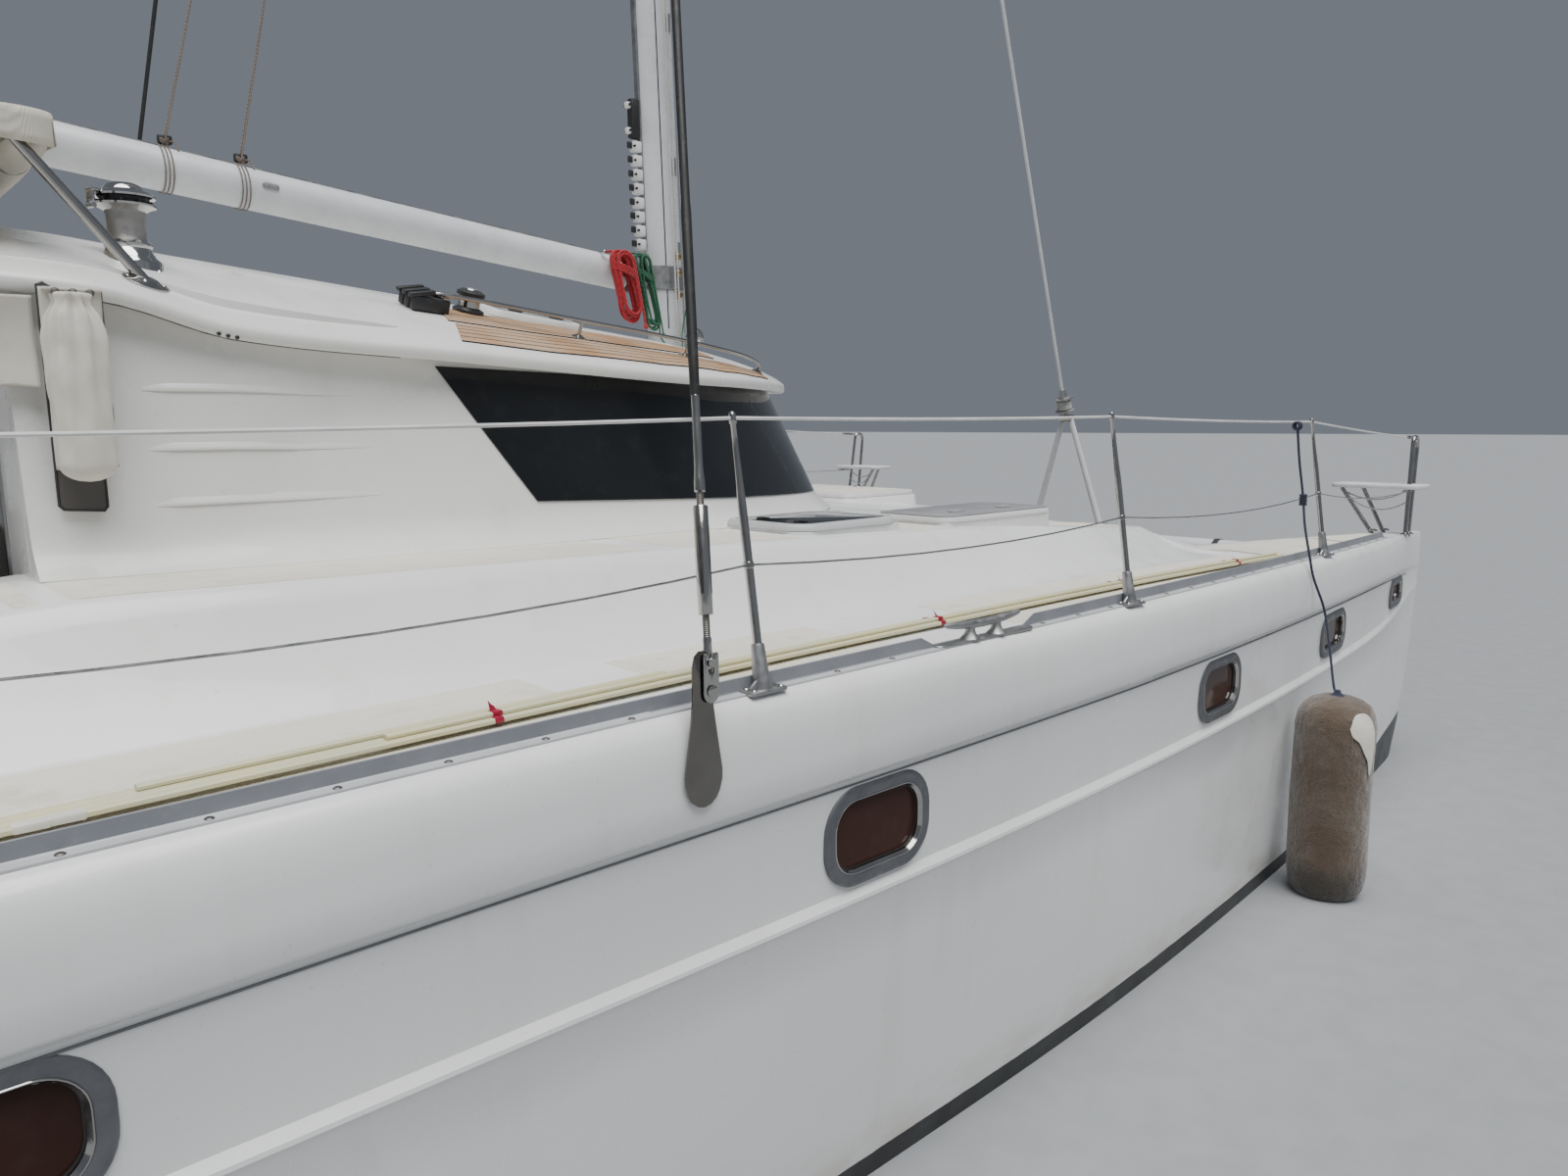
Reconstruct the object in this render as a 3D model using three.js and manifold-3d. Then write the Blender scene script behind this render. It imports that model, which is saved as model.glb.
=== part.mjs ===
// Sailing catamaran, 11.7 m long, afloat with its whole hulls. Millimetres, +X forward, +Y to port, +Z up.
// The origin is on the waterline, on the centreline, amidships.
import * as THREE from 'three';
import * as BufferGeometryUtils from 'three/addons/utils/BufferGeometryUtils.js';
import Module from 'manifold-3d';

const wasm = await Module();
wasm.setup();

// Driving dimensions
const STERN = -5830;
const DECK_EDGE = 2876;            // half breadth at the deck edge, where the edge runs straight
const TOE_IN = 560;                // how far the deck edge comes in over 6 m from there
const STRAIGHT_UNTIL = -345;
const HULL_CENTRE = 2270;          // from the boat's centreline to each hull's
const SHEER = { top: 1522, at: 100, fall: 3.43 };   // highest deck edge, and its fall for a metre squared
const INNER_WALL = 1500;           // inner faces of the hulls in saloon and cockpit
const FLOOR = 860;
const UNDERSIDE = 720;
const NACELLE_FRONT = 3200;
const BULKHEAD = -1500;            // aft face of the saloon
const COCKPIT_AFT = -4600;
const TOUCH = 0.3;                 // gap that touching pieces keep
const MAST = { x: 1600, top: 16200, rakeDeg: 1.5, long: 210, wide: 135 };
const HOUNDS = 14000;
const CHAINPLATE_X = -490;
const BOOM = { heelX: 1385, heelZ: 2872, endX: -3500, endZ: 3400, radius: 78, pivotX: 1455 };
const WIRE = 5;
const WIRE_COVER = 10;
const STANCHION = { height: 650, leanDeg: 8.5, radius: 12.5, stations: [-3800, -2050, -280, 1487, 3559] };

// Finishes
const finish = (color, roughness, metalness = 0) => new THREE.MeshStandardMaterial({ color, roughness, metalness });
const GELCOAT = finish(0xf0efea, 0.25);
const DECK = finish(0xefeade, 0.5);
const GLASS = finish(0x17191c, 0.1);
const STEEL = finish(0xc9ccd0, 0.18, 1);
const ALLOY = finish(0xb4b7ba, 0.4, 0.9);
const SPAR = finish(0xe8e9ea, 0.35, 0.2);
const ANTIFOULING = finish(0x16181b, 0.8);
const CANVAS = finish(0xe6e0cf, 0.9);
const BRONZE = finish(0xa98a4c, 0.35, 1);
const IRON = finish(0x5b6670, 0.6, 0.4);
const RED_ROPE = finish(0xb8232b, 0.85);
const GREEN_ROPE = finish(0x2d6b48, 0.85);
const BATTEN = finish(0xe3dfb0, 0.5);
const FENDER = finish(0x8a7358, 0.9);
const NET = finish(0xdedfdf, 0.8);

const boat = new THREE.Group();

// A closed mesh as a solid, and a solid as a mesh
function solid(geometry) {
  const plain = geometry.clone();
  for (const name of Object.keys(plain.attributes)) {
    if (name !== 'position') plain.deleteAttribute(name);
  }
  const merged = BufferGeometryUtils.mergeVertices(plain, 0.001);
  return new wasm.Manifold(new wasm.Mesh({
    numProp: 3,
    vertProperties: new Float32Array(merged.attributes.position.array),
    triVerts: new Uint32Array(merged.index.array),
  }));
}

function geometryOf(body) {
  const mesh = body.getMesh();
  const geometry = new THREE.BufferGeometry();
  geometry.setAttribute('position', new THREE.BufferAttribute(new Float32Array(mesh.vertProperties), 3));
  geometry.setIndex(new THREE.BufferAttribute(new Uint32Array(mesh.triVerts), 1));
  return geometry;
}

const join = (...bodies) => bodies.reduce((all, body) => all.add(body));
const cut = (body, ...tools) => tools.reduce((rest, tool) => rest.subtract(tool), body);
const raised = (body, by = TOUCH) => body.translate([0, 0, by]);

function addPiece(name, body, material) {
  const mesh = new THREE.Mesh(geometryOf(body), material);
  mesh.name = name;
  boat.add(mesh);
}

// Starboard is -1 and port is +1
const SIDES = [['starboard', -1], ['port', 1]];

// Basic shapes
function block(x0, x1, y0, y1, z0, z1) {
  const geometry = new THREE.BoxGeometry(Math.abs(x1 - x0), Math.abs(y1 - y0), Math.abs(z1 - z0));
  geometry.translate((x0 + x1) / 2, (y0 + y1) / 2, (z0 + z1) / 2);
  return solid(geometry);
}

function rod(from, to, radius, sides = 10, endRadius = radius) {
  const a = new THREE.Vector3(...from);
  const b = new THREE.Vector3(...to);
  const geometry = new THREE.CylinderGeometry(endRadius, radius, a.distanceTo(b), sides);
  geometry.applyQuaternion(new THREE.Quaternion().setFromUnitVectors(
    new THREE.Vector3(0, 1, 0), b.clone().sub(a).normalize()));
  geometry.translate((a.x + b.x) / 2, (a.y + b.y) / 2, (a.z + b.z) / 2);
  return solid(geometry);
}

function ball(at, radius) {
  const geometry = new THREE.SphereGeometry(radius, 8, 6);
  geometry.translate(...at);
  return solid(geometry);
}

// A bent tube is straight rods with a ball at each bend
function pipe(points, radius, sides = 8) {
  const rods = points.slice(1).map((point, i) => rod(points[i], point, radius, sides));
  const bends = points.slice(1, -1).map((point) => ball(point, radius * 1.05));
  return join(...rods, ...bends);
}

// Rings of the same number of points, skinned in order and closed by a fan at each end
function loft(rings) {
  const n = rings[0].length;
  const points = rings.flat();
  const faces = [];
  for (let r = 0; r < rings.length - 1; r += 1) {
    for (let i = 0; i < n; i += 1) {
      const a = r * n + i;
      const b = r * n + ((i + 1) % n);
      faces.push([a, b, b + n], [a, b + n, a + n]);
    }
  }
  const middle = (ring) => [0, 1, 2].map((k) => ring.reduce((sum, p) => sum + p[k], 0) / n);
  const last = (rings.length - 1) * n;
  const firstHeart = points.push(middle(rings[0])) - 1;
  const lastHeart = points.push(middle(rings[rings.length - 1])) - 1;
  for (let i = 0; i < n; i += 1) {
    const next = (i + 1) % n;
    faces.push([firstHeart, next, i], [lastHeart, last + i, last + next]);
  }
  const volume = faces.reduce((sum, [a, b, c]) => {
    const [p, q, s] = [points[a], points[b], points[c]];
    return sum + p[0] * (q[1] * s[2] - q[2] * s[1]) - p[1] * (q[0] * s[2] - q[2] * s[0])
      + p[2] * (q[0] * s[1] - q[1] * s[0]);
  }, 0);
  const outward = volume > 0 ? faces : faces.map(([a, b, c]) => [a, c, b]);
  const geometry = new THREE.BufferGeometry();
  geometry.setAttribute('position', new THREE.Float32BufferAttribute(points.flat(), 3));
  geometry.setIndex(outward.flat());
  return solid(geometry);
}

// A flat outline in x and z, given a thickness from y0 to y1
function sidePlate(outline, y0, y1) {
  return loft([y0, y1].map((y) => outline.map(([x, z]) => [x, y, z])));
}

// Straight-line reading of a table whose first column is x
function read(table, x, column) {
  const rows = table[0][0] < table[table.length - 1][0] ? table : [...table].reverse();
  if (x <= rows[0][0]) return rows[0][column];
  for (let i = 1; i < rows.length; i += 1) {
    if (x <= rows[i][0]) {
      const share = (x - rows[i - 1][0]) / (rows[i][0] - rows[i - 1][0]);
      return rows[i - 1][column] + share * (rows[i][column] - rows[i - 1][column]);
    }
  }
  return rows[rows.length - 1][column];
}

// Hull form. Columns: x, half breadth at the water, height of the bottom
const HULL_FORM = [
  [-5830, 330, 60], [-4400, 450, -300], [-1500, 490, -520], [0, 495, -560], [1500, 475, -540], [3200, 350, -460],
  [4300, 225, -370], [5200, 95, -200], [5560, 45, 20], [5720, 22, 260], [5830, 14, 620],
];
// Side deck moulding. Columns: x, half breadth of the ledge's edge, height of the ledge
const LEDGE = [[-3400, 2110, 1640], [-1500, 2110, 1800], [400, 2100, 1768], [1500, 2060, 1730], [2400, 1950, 1665],
  [3200, 1850, 1600]];
const WALKWAY_INNER = 2290;
// Stations: x, and what the hull carries there
const STATIONS = [
  [-5830, 'stern'], [-5200, 'stern'], [-4610, 'stern'], [-4600, 'cockpit'], [-4000, 'cockpit'], [-3410, 'cockpit'],
  [-3400, 'house'], [-2600, 'house'], [-1500, 'house'], [-900, 'house'], [-300, 'house'], [300, 'house'],
  [900, 'house'], [1500, 'house'], [2000, 'house'], [2600, 'house'], [3200, 'house'], [3210, 'bow'], [3700, 'bow'],
  [4200, 'bow'], [4700, 'bow'], [5100, 'bow'], [5400, 'bow'], [5600, 'bow'], [5720, 'bow'], [5800, 'bow'],
  [5830, 'bow'],
];

const sheer = (x) => SHEER.top - SHEER.fall * ((x - SHEER.at) / 1000) ** 2;
function deckEdge(x) {
  const curved = DECK_EDGE - TOE_IN * (Math.max(x - STRAIGHT_UNTIL, 0) / 6000) ** 2;
  return Math.max(curved, HULL_CENTRE + 30);
}

// Between stations the hull's surface is straight, so what stands on it reads its height the same way
const STATION_LINES = STATIONS.map(([x]) => [x, deckEdge(x), sheer(x)]);
const edgeAt = (x) => read(STATION_LINES, x, 1);
const deckAt = (x) => read(STATION_LINES, x, 2);

function hullSection(x, zone) {
  const c = HULL_CENTRE;
  const edge = deckEdge(x);
  const deck = sheer(x);
  const water = read(HULL_FORM, x, 1);
  const bottom = read(HULL_FORM, x, 2);
  const narrow = Math.min(1, (edge - c) / 220);
  const rib = 940 + 150 * (Math.max(x - 4500, 0) / 1330) ** 2;
  const step = deck - 262 + 45 * Math.min(1, Math.max(x - 1500, 0) / 3700);
  const bilge = bottom + 0.3 * Math.max(-bottom, 60);
  const waterZ = Math.max(0, bottom + 130);
  const outer = [
    [c, bottom], [c + 0.66 * water, bilge], [c + water, waterZ], [edge - 16 * narrow, rib - 26],
    [edge - 26 * narrow, rib], [edge - 14 * narrow, step - 22], [edge + 10 * narrow, step],
    [edge + 14 * narrow, deck - 130], [edge + 4 * narrow, deck - 34], [edge - 30 * narrow, deck],
  ];
  const inner = {
    house: () => [
      [WALKWAY_INNER, deck + 6], [read(LEDGE, x, 1), read(LEDGE, x, 2)], [INNER_WALL, read(LEDGE, x, 2)],
      [INNER_WALL, UNDERSIDE], [c - water - 60, UNDERSIDE]],
    cockpit: () => [
      [WALKWAY_INNER, deck + 6], [2110, deck + 8], [INNER_WALL, deck + 8],
      [INNER_WALL, UNDERSIDE], [c - water - 60, UNDERSIDE]],
    stern: () => [
      [WALKWAY_INNER, deck + 6], [2110, deck + 8], [2 * c - edge + 30, deck],
      [2 * c - edge, deck - 200], [c - water - 20, UNDERSIDE]],
    bow: () => [
      [c + 20 * narrow, deck + 14 * narrow], [c - 60 * narrow, deck + 14 * narrow],
      [2 * c - edge + 30 * narrow, deck], [2 * c - edge - 5 * narrow, deck - 130],
      [2 * c - edge + 26 * narrow, rib]],
  }[zone]();
  const low = [[c - water, waterZ], [c - 0.66 * water, bilge]];
  return [...outer, ...inner, ...low].map(([o, z]) => [o, z]);
}

const hullRings = (side) => STATIONS.map(([x, zone]) => hullSection(x, zone).map(([o, z]) => [x, side * o, z]));

// Transom steps. Columns: from x, height of the tread
const STEPS = [[-4640, 1180], [-5020, 860], [-5420, 540]];
const STEP_SIDE = { outer: 2700, inner: 1560 };
const ENGINE_BAY = { x0: -4250, x1: -3620, y0: 1960, y1: 2560, floor: 60 };
// Deck hatches over the hulls and the lockers ahead of the cabin. Columns: name, x0, x1, inner y, outer y, depth
const HATCHES = [['hatch', 700, 1180, 1560, 1960, 260], ['locker_lid', 1560, 2250, 1560, 1900, 420]];
const RUDDER = { x: -4900, stock: 25, bore: 30 };

// A lid lies level on a rim that stands just proud of the deck at its aft end
const lidHeight = (x0) => read(LEDGE, x0 - 60, 2) + 8;

const bayTop = deckAt(ENGINE_BAY.x1 + 60) + 14;

function hull(side) {
  let body = loft(hullRings(side));
  for (const [from, tread] of STEPS) {
    body = cut(body, block(STERN - 50, from, side * STEP_SIDE.inner, side * STEP_SIDE.outer, tread, 1700));
  }
  const bay = ENGINE_BAY;
  const bayRim = block(bay.x0 - 40, bay.x1 + 40, side * (bay.y0 - 40), side * (bay.y1 + 40), bayTop - 80, bayTop);
  body = cut(join(body, bayRim), block(bay.x0, bay.x1, side * bay.y0, side * bay.y1, bay.floor, 1700));
  for (const [, x0, x1, y0, y1, depth] of HATCHES) {
    const top = lidHeight(x0);
    const rim = block(x0 - 45, x1 + 45, side * (y0 - 45), side * (y1 + 45), top - 120, top);
    body = cut(join(body, rim), block(x0, x1, side * y0, side * y1, top - depth, top + 40));
  }
  const bottom = read(HULL_FORM, RUDDER.x, 2);
  const y = side * HULL_CENTRE;
  return cut(body, rod([RUDDER.x, y, bottom - 60], [RUDDER.x, y, bottom + 130], RUDDER.bore, 12));
}

const hulls = SIDES.map(([, side]) => hull(side));
SIDES.forEach(([word], i) => addPiece(`hull_${word}`, hulls[i], GELCOAT));
const gapFillers = SIDES.map(([, side]) => block(
  STERN, NACELLE_FRONT + 20, side * (INNER_WALL - 2), side * (INNER_WALL + 2), UNDERSIDE, 1700));
const bothHulls = join(...hulls);

// Bridge between the hulls: the floor, and the solid nacelle with the foredeck on it
const WITHIN = INNER_WALL - TOUCH;
addPiece('bridgedeck', block(COCKPIT_AFT, 1560, -WITHIN, WITHIN, UNDERSIDE, FLOOR), GELCOAT);

// Foredeck. Columns: x, height at the hulls, height on the centreline
const FOREDECK = [[1560 + TOUCH, 1727, 1775], [2000, 1695, 1745], [2600, 1650, 1695], [NACELLE_FRONT, 1600, 1640]];
const ANCHOR_WELL = { x0: 2560, x1: 3060, half: 380, depth: 400, top: 1712 };
const foredeckSection = ([x, side, centre]) => [
  [x, -WITHIN, UNDERSIDE], [x, -WITHIN, side], [x, -700, centre - 12], [x, 0, centre], [x, 700, centre - 12],
  [x, WITHIN, side], [x, WITHIN, UNDERSIDE]];
const wellRim = block(ANCHOR_WELL.x0 - 40, ANCHOR_WELL.x1 + 40, -ANCHOR_WELL.half - 40, ANCHOR_WELL.half + 40,
  1600, ANCHOR_WELL.top - TOUCH);
const foredeck = cut(join(loft(FOREDECK.map(foredeckSection)), wellRim), block(ANCHOR_WELL.x0, ANCHOR_WELL.x1,
  -ANCHOR_WELL.half, ANCHOR_WELL.half, ANCHOR_WELL.top - ANCHOR_WELL.depth, 1800));
addPiece('foredeck', foredeck, DECK);
addPiece('anchor_locker_lid', block(ANCHOR_WELL.x0 - 40, ANCHOR_WELL.x1 + 40, -ANCHOR_WELL.half - 40,
  ANCHOR_WELL.half + 40, ANCHOR_WELL.top, ANCHOR_WELL.top + 28), DECK);

// Lids over the hatches, lockers and engine bays
for (const [word, side] of SIDES) {
  for (const [name, x0, x1, y0, y1] of HATCHES) {
    const top = lidHeight(x0);
    const lid = block(x0 - 30, x1 + 30, side * (y0 - 30), side * (y1 + 30), top + TOUCH, top + 28);
    addPiece(`${name}_${word}`, lid, name === 'hatch' ? GLASS : ALLOY);
  }
  const bay = ENGINE_BAY;
  addPiece(`engine_lid_${word}`, block(bay.x0 - 40, bay.x1 + 40, side * (bay.y0 - 40), side * (bay.y1 + 40),
    bayTop + TOUCH, bayTop + 30), DECK);
  addPiece(`engine_${word}`, block(-4180, -3700, side * 2040, side * 2480, bay.floor + TOUCH, 620), IRON);
}

// Keels, and the drive legs with their gearcases, cut to the hulls' bottoms
// Columns: height, leading edge, trailing edge, half thickness
const KEEL = [[-420, 1250, -1150, 95], [-800, 1000, -1050, 90], [-1150, 760, -980, 75]];
const DRIVE = [[-250, -3560, -3900, 55], [-520, -3590, -3860, 45], [-760, -3620, -3840, 40]];
const foil = (lead, trail, half, y, z) => {
  const chord = lead - trail;
  const shares = [[0, 0], [0.1, 0.75], [0.35, 1], [0.7, 0.7], [1, 0.08]];
  const port = shares.map(([s, t]) => [lead - s * chord, y + t * half, z]);
  const back = shares.slice(1).reverse().map(([s, t]) => [lead - s * chord, y - t * half, z]);
  return [...port, ...back];
};
const PROP = { x: -3935, z: -700, hub: 42, radius: 215 };
for (const [i, [word, side]] of SIDES.entries()) {
  const y = side * HULL_CENTRE;
  const under = raised(hulls[i], -TOUCH);
  addPiece(`keel_${word}`, cut(loft(KEEL.map(([z, lead, trail, half]) => foil(lead, trail, half, y, z))), under),
    ANTIFOULING);
  const leg = loft(DRIVE.map(([z, lead, trail, half]) => foil(lead, trail, half, y, z)));
  const gearcase = rod([-3895, y, PROP.z], [-3560, y, PROP.z], 60, 10, 30);
  addPiece(`drive_${word}`, cut(join(leg, gearcase), under), IRON);
  const hub = rod([PROP.x - 45, y, PROP.z], [-3903, y, PROP.z], 30, 12, PROP.hub);
  const blades = [0, 1, 2].map((k) => {
    const blade = new THREE.BoxGeometry(14, 110, PROP.radius - 20);
    blade.translate(0, 0, (PROP.radius - 20) / 2 + 20);
    blade.applyMatrix4(new THREE.Matrix4().makeRotationX((k * 2 * Math.PI) / 3));
    blade.translate(PROP.x, y, PROP.z);
    return solid(blade);
  });
  addPiece(`propeller_${word}`, join(hub, ...blades), BRONZE);
}

// Rudders hang clear of the hulls on a stock that turns in its bore
// Columns: height, leading edge, trailing edge, half thickness
const rudderTop = Math.min(read(HULL_FORM, -4500, 2), read(HULL_FORM, RUDDER.x, 2)) - 18;
const RUDDER_FORM = [[-1080, -4820, -5160, 26], [rudderTop, -4770, -5230, 34]];
for (const [word, side] of SIDES) {
  const y = side * HULL_CENTRE;
  const blade = loft(RUDDER_FORM.map(([z, lead, trail, half]) => foil(lead, trail, half, y, z)));
  const bottom = read(HULL_FORM, RUDDER.x, 2);
  const stock = rod([RUDDER.x, y, rudderTop - 60], [RUDDER.x, y, bottom + 110], RUDDER.stock, 12);
  addPiece(`rudder_${word}`, join(blade, stock), ANTIFOULING);
}

// Roof. Columns: x, half breadth, height of its edge, height on the centreline
const ROOF = [
  [-1560, 1640, 2470, 2760], [-1280, 1640, 2450, 2750], [-1000, 1630, 2375, 2730], [-350, 1600, 2335, 2665],
  [500, 1500, 2290, 2580], [1000, 1340, 2280, 2530], [1450, 1090, 2275, 2470], [1800, 720, 2280, 2400],
  [1980, 380, 2285, 2360], [2040, 140, 2290, 2345],
];
const ROOF_LIP = 35;
const ROOF_THICK = 50;
const ROOF_ACROSS = [-0.97, -0.85, -0.66, -0.4, 0, 0.4, 0.66, 0.85, 0.97];
const roofTopAt = (half, edge, crown, y) => edge + ROOF_LIP
  + (crown - edge - ROOF_LIP) * (1 - Math.abs(y / half) ** 2.6) ** 0.8;
function roofRing([x, half, edge, crown], upTo) {
  const top = ROOF_ACROSS.map((s) => [x, s * half, roofTopAt(half, edge, crown, s * half)]);
  const under = [...top].reverse().map(([, y, z]) => [x, y, Math.max(edge + 2, z - ROOF_THICK)]);
  const lid = upTo ? top.map(([, y]) => [x, y, upTo]) : top;
  return [[x, -half, upTo || edge], ...lid, [x, half, upTo || edge], [x, half - 2, edge], ...under,
    [x, -half + 2, edge]];
}
const roof = loft(ROOF.map((row) => roofRing(row)));
const aboveRoof = loft(ROOF.map((row) => roofRing(row, 3300)));

// Cabin walls. Columns: x and half breadth at the sill, x and half breadth at the top
const WALL = [
  [-1500, 1660, -1500, 1545], [-400, 1640, -420, 1525], [500, 1545, 440, 1430], [1050, 1370, 950, 1250],
  [1500, 1120, 1360, 990], [1850, 780, 1690, 660], [2060, 420, 1890, 330], [2130, 0, 1960, 0],
];
const SILL = 1880;
const WALL_TOP = 2300;
const WALL_THICK = 40;
const WALL_LEVELS = [[1560, -0.06], [SILL, 0], [WALL_TOP, 1], [2640, 1.4]];
function wallRing(level, share, inset, aft = 0) {
  const half = WALL.map(([x0, o0, x1, o1]) => {
    const x = x0 + share * (x1 - x0);
    const o = o0 + share * (o1 - o0);
    return [x - (x > BULKHEAD ? inset * 0.9 : 0), Math.max(o - inset, 0)];
  });
  half[0][0] -= aft;
  const starboard = half.map(([x, o]) => [x, -o, level]);
  const port = half.slice(0, -1).reverse().map(([x, o]) => [x, o, level]);
  return [...starboard, ...port];
}
const wallBody = (inset, aft) => loft(WALL_LEVELS.map(([level, share]) => wallRing(level, share, inset, aft)));
// Window band in side view: its aft edge slants, and its sill falls towards the nose
const BAND = [[-130, 1905], [2600, 1775], [2600, 2180], [600, 2262], [-405, 2325]];
const band = sidePlate(BAND, -2200, 2200);
const glassBand = sidePlate([[-127, 1908], [2600, 1778.5], [2600, 2176.5], [600, 2258.5], [-401, 2321]], -2200, 2200);
const ledgeLevel = join(...gapFillers, bothHulls, foredeck, block(1500, 2300, -WITHIN, WITHIN, 1500, 1690));
const walls = cut(wallBody(0, 0), wallBody(WALL_THICK, 400), band, raised(ledgeLevel), raised(aboveRoof, -TOUCH),
  block(-1600, 1559, -INNER_WALL, INNER_WALL, 1500, 1700));
addPiece('cabin_walls', walls, GELCOAT);

const glass = cut(wallBody(8, 0), wallBody(20, 400)).intersect(glassBand);
addPiece('window_starboard', glass.intersect(block(-1500, 2600, -2200, -452, 1500, 2700)), GLASS);
addPiece('window_port', glass.intersect(block(-1500, 2600, 452, 2200, 1500, 2700)), GLASS);
addPiece('window_front', glass.intersect(block(0, 2600, -448, 448, 1500, 2700)), GLASS);

// Mast: an oval tube, leaning aft, stepped on the roof, with one pair of swept spreaders
const lean = Math.tan(THREE.MathUtils.degToRad(MAST.rakeDeg));
const mastX = (z) => MAST.x - lean * (z - 2700);
const oval = (z, grow = 0) => Array.from({ length: 16 }, (_, k) => {
  const turn = (k * Math.PI) / 8;
  return [mastX(z) + (MAST.long / 2 + grow) * Math.cos(turn), (MAST.wide / 2 + grow) * Math.sin(turn), z];
});
const SPREADER = { z: 7800, reach: 900, sweep: 420 };
const spreaders = SIDES.map(([, side]) => rod([mastX(SPREADER.z), 0, SPREADER.z],
  [mastX(SPREADER.z) - SPREADER.sweep, side * SPREADER.reach, SPREADER.z + 40], 32, 8, 16));
const underRoofTop = loft(ROOF.map(([x, half, edge, crown]) => [[x, -half, 1500],
  ...ROOF_ACROSS.map((s) => [x, s * half, roofTopAt(half, edge, crown, s * half)]), [x, half, 1500]]));
const mast = join(loft([oval(2300), oval(MAST.top)]), loft([oval(2300, 40), oval(2500, 26)]),
  loft([oval(MAST.top - 60, 22), oval(MAST.top + 20, 22)]), ...spreaders);
addPiece('roof', roof, GELCOAT);
addPiece('mast', cut(mast, raised(underRoofTop)), SPAR);

// Boom: a round tube on a gooseneck that the mast's bracket carries
const boomTube = rod([BOOM.heelX, 0, BOOM.heelZ], [BOOM.endX, 0, BOOM.endZ], BOOM.radius, 16, BOOM.radius + 6);
const boomHeel = rod([BOOM.heelX + 30, 0, BOOM.heelZ - 3], [BOOM.heelX - 60, 0, BOOM.heelZ + 7], BOOM.radius + 5, 16);
const boomEnd = rod([BOOM.endX + 60, 0, BOOM.endZ - 7], [BOOM.endX - 30, 0, BOOM.endZ + 3], BOOM.radius + 11, 16);
const tongue = cut(join(block(BOOM.heelX + 10, BOOM.pivotX, -12, 12, BOOM.heelZ - 20, BOOM.heelZ + 20),
  rod([BOOM.pivotX, 0, BOOM.heelZ - 20], [BOOM.pivotX, 0, BOOM.heelZ + 20], 24, 16)),
rod([BOOM.pivotX, 0, BOOM.heelZ - 30], [BOOM.pivotX, 0, BOOM.heelZ + 30], 14.5, 12));
addPiece('boom', join(boomTube, boomHeel, boomEnd, tongue), SPAR);

// Gooseneck: a collar on the mast with two lugs and the pin that the boom's tongue turns on
const lug = (z) => block(BOOM.pivotX - 14, mastX(z) - 90, -16, 16, z - 5, z + 5);
const collar = loft([oval(BOOM.heelZ - 60, 9), oval(BOOM.heelZ + 60, 9)]);
addPiece('gooseneck', cut(join(collar, lug(BOOM.heelZ - 31), lug(BOOM.heelZ + 31),
  rod([BOOM.pivotX, 0, BOOM.heelZ - 40], [BOOM.pivotX, 0, BOOM.heelZ + 40], 9, 12)),
loft([oval(2700, TOUCH), oval(3000, TOUCH)])), STEEL);

// Rope coils hang at the boom's heel, on its starboard side
function hank(x, y, top, bottom, width, thick) {
  const outline = [];
  for (const [centre, start] of [[top - width / 2, 0], [bottom + width / 2, Math.PI]]) {
    for (let k = 0; k <= 6; k += 1) {
      const turn = start + (Math.PI * k) / 6;
      outline.push([x + (width / 2) * Math.cos(turn), centre + (width / 2) * Math.sin(turn)]);
    }
  }
  return sidePlate(outline, y - thick / 2, y + thick / 2);
}
addPiece('rope_coil_red', hank(1270, -128, 2971, 2608, 150, 60), RED_ROPE);
addPiece('rope_coil_green', hank(1400, -128, 2972, 2565, 86, 50), GREEN_ROPE);

// Main stays: a strap on the hull's side, a turnbuckle and the wire up to the mast
const HOUNDS_X = mastX(HOUNDS);
for (const [word, side] of SIDES) {
  const foot = [CHAINPLATE_X, side * 2902, 1610];
  const head = [HOUNDS_X, side * (MAST.wide / 2 + 14), HOUNDS];
  const length = Math.hypot(...foot.map((v, k) => head[k] - v));
  const along = (distance) => foot.map((v, k) => v + ((head[k] - v) * distance) / length);
  const strap = sidePlate([[CHAINPLATE_X - 50, 1370], [CHAINPLATE_X - 30, 1325], [CHAINPLATE_X, 1312],
    [CHAINPLATE_X + 30, 1325], [CHAINPLATE_X + 50, 1370], [CHAINPLATE_X + 22, 1650],
    [CHAINPLATE_X - 22, 1650]], side * 2899, side * 2905);
  const fork = block(CHAINPLATE_X - 16, CHAINPLATE_X + 16, side * 2886, side * 2918, 1592, 1668);
  const screw = rod(along(20), along(420), 8, 8);
  const body = rod(along(120), along(370), 15, 10);
  const swage = rod(along(400), along(520), 9, 8, 7);
  const wire = rod(along(500), head, WIRE_COVER, 8, WIRE);
  addPiece(`shroud_${word}`, join(strap, fork, screw, body, swage, wire), STEEL);
}

// Forward beam with the frame that carries the forestay, cut to the hulls' inner sides
const BEAM = { x: 5350, z: 1240, radius: 75, apex: 2130 };
const beamTube = rod([BEAM.x, -HULL_CENTRE, BEAM.z], [BEAM.x, HULL_CENTRE, BEAM.z], BEAM.radius, 16);
const beamLegs = SIDES.map(([, side]) => rod([BEAM.x, side * 305, BEAM.z + 40],
  [BEAM.x - 45, side * 35, BEAM.apex], 24, 8, 20));
const apexPlate = block(BEAM.x - 80, BEAM.x - 15, -50, 50, BEAM.apex - 20, BEAM.apex + 40);
const forwardBeam = cut(join(beamTube, ...beamLegs, apexPlate),
  ...hulls.map((body, i) => body.translate([0, -SIDES[i][1] * TOUCH, 0])));
addPiece('forward_beam', forwardBeam, ALLOY);
const stayFoot = [BEAM.x - 60, 0, BEAM.apex + 30];
const stayHead = [HOUNDS_X + MAST.long / 2 + 16, 0, HOUNDS];
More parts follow.
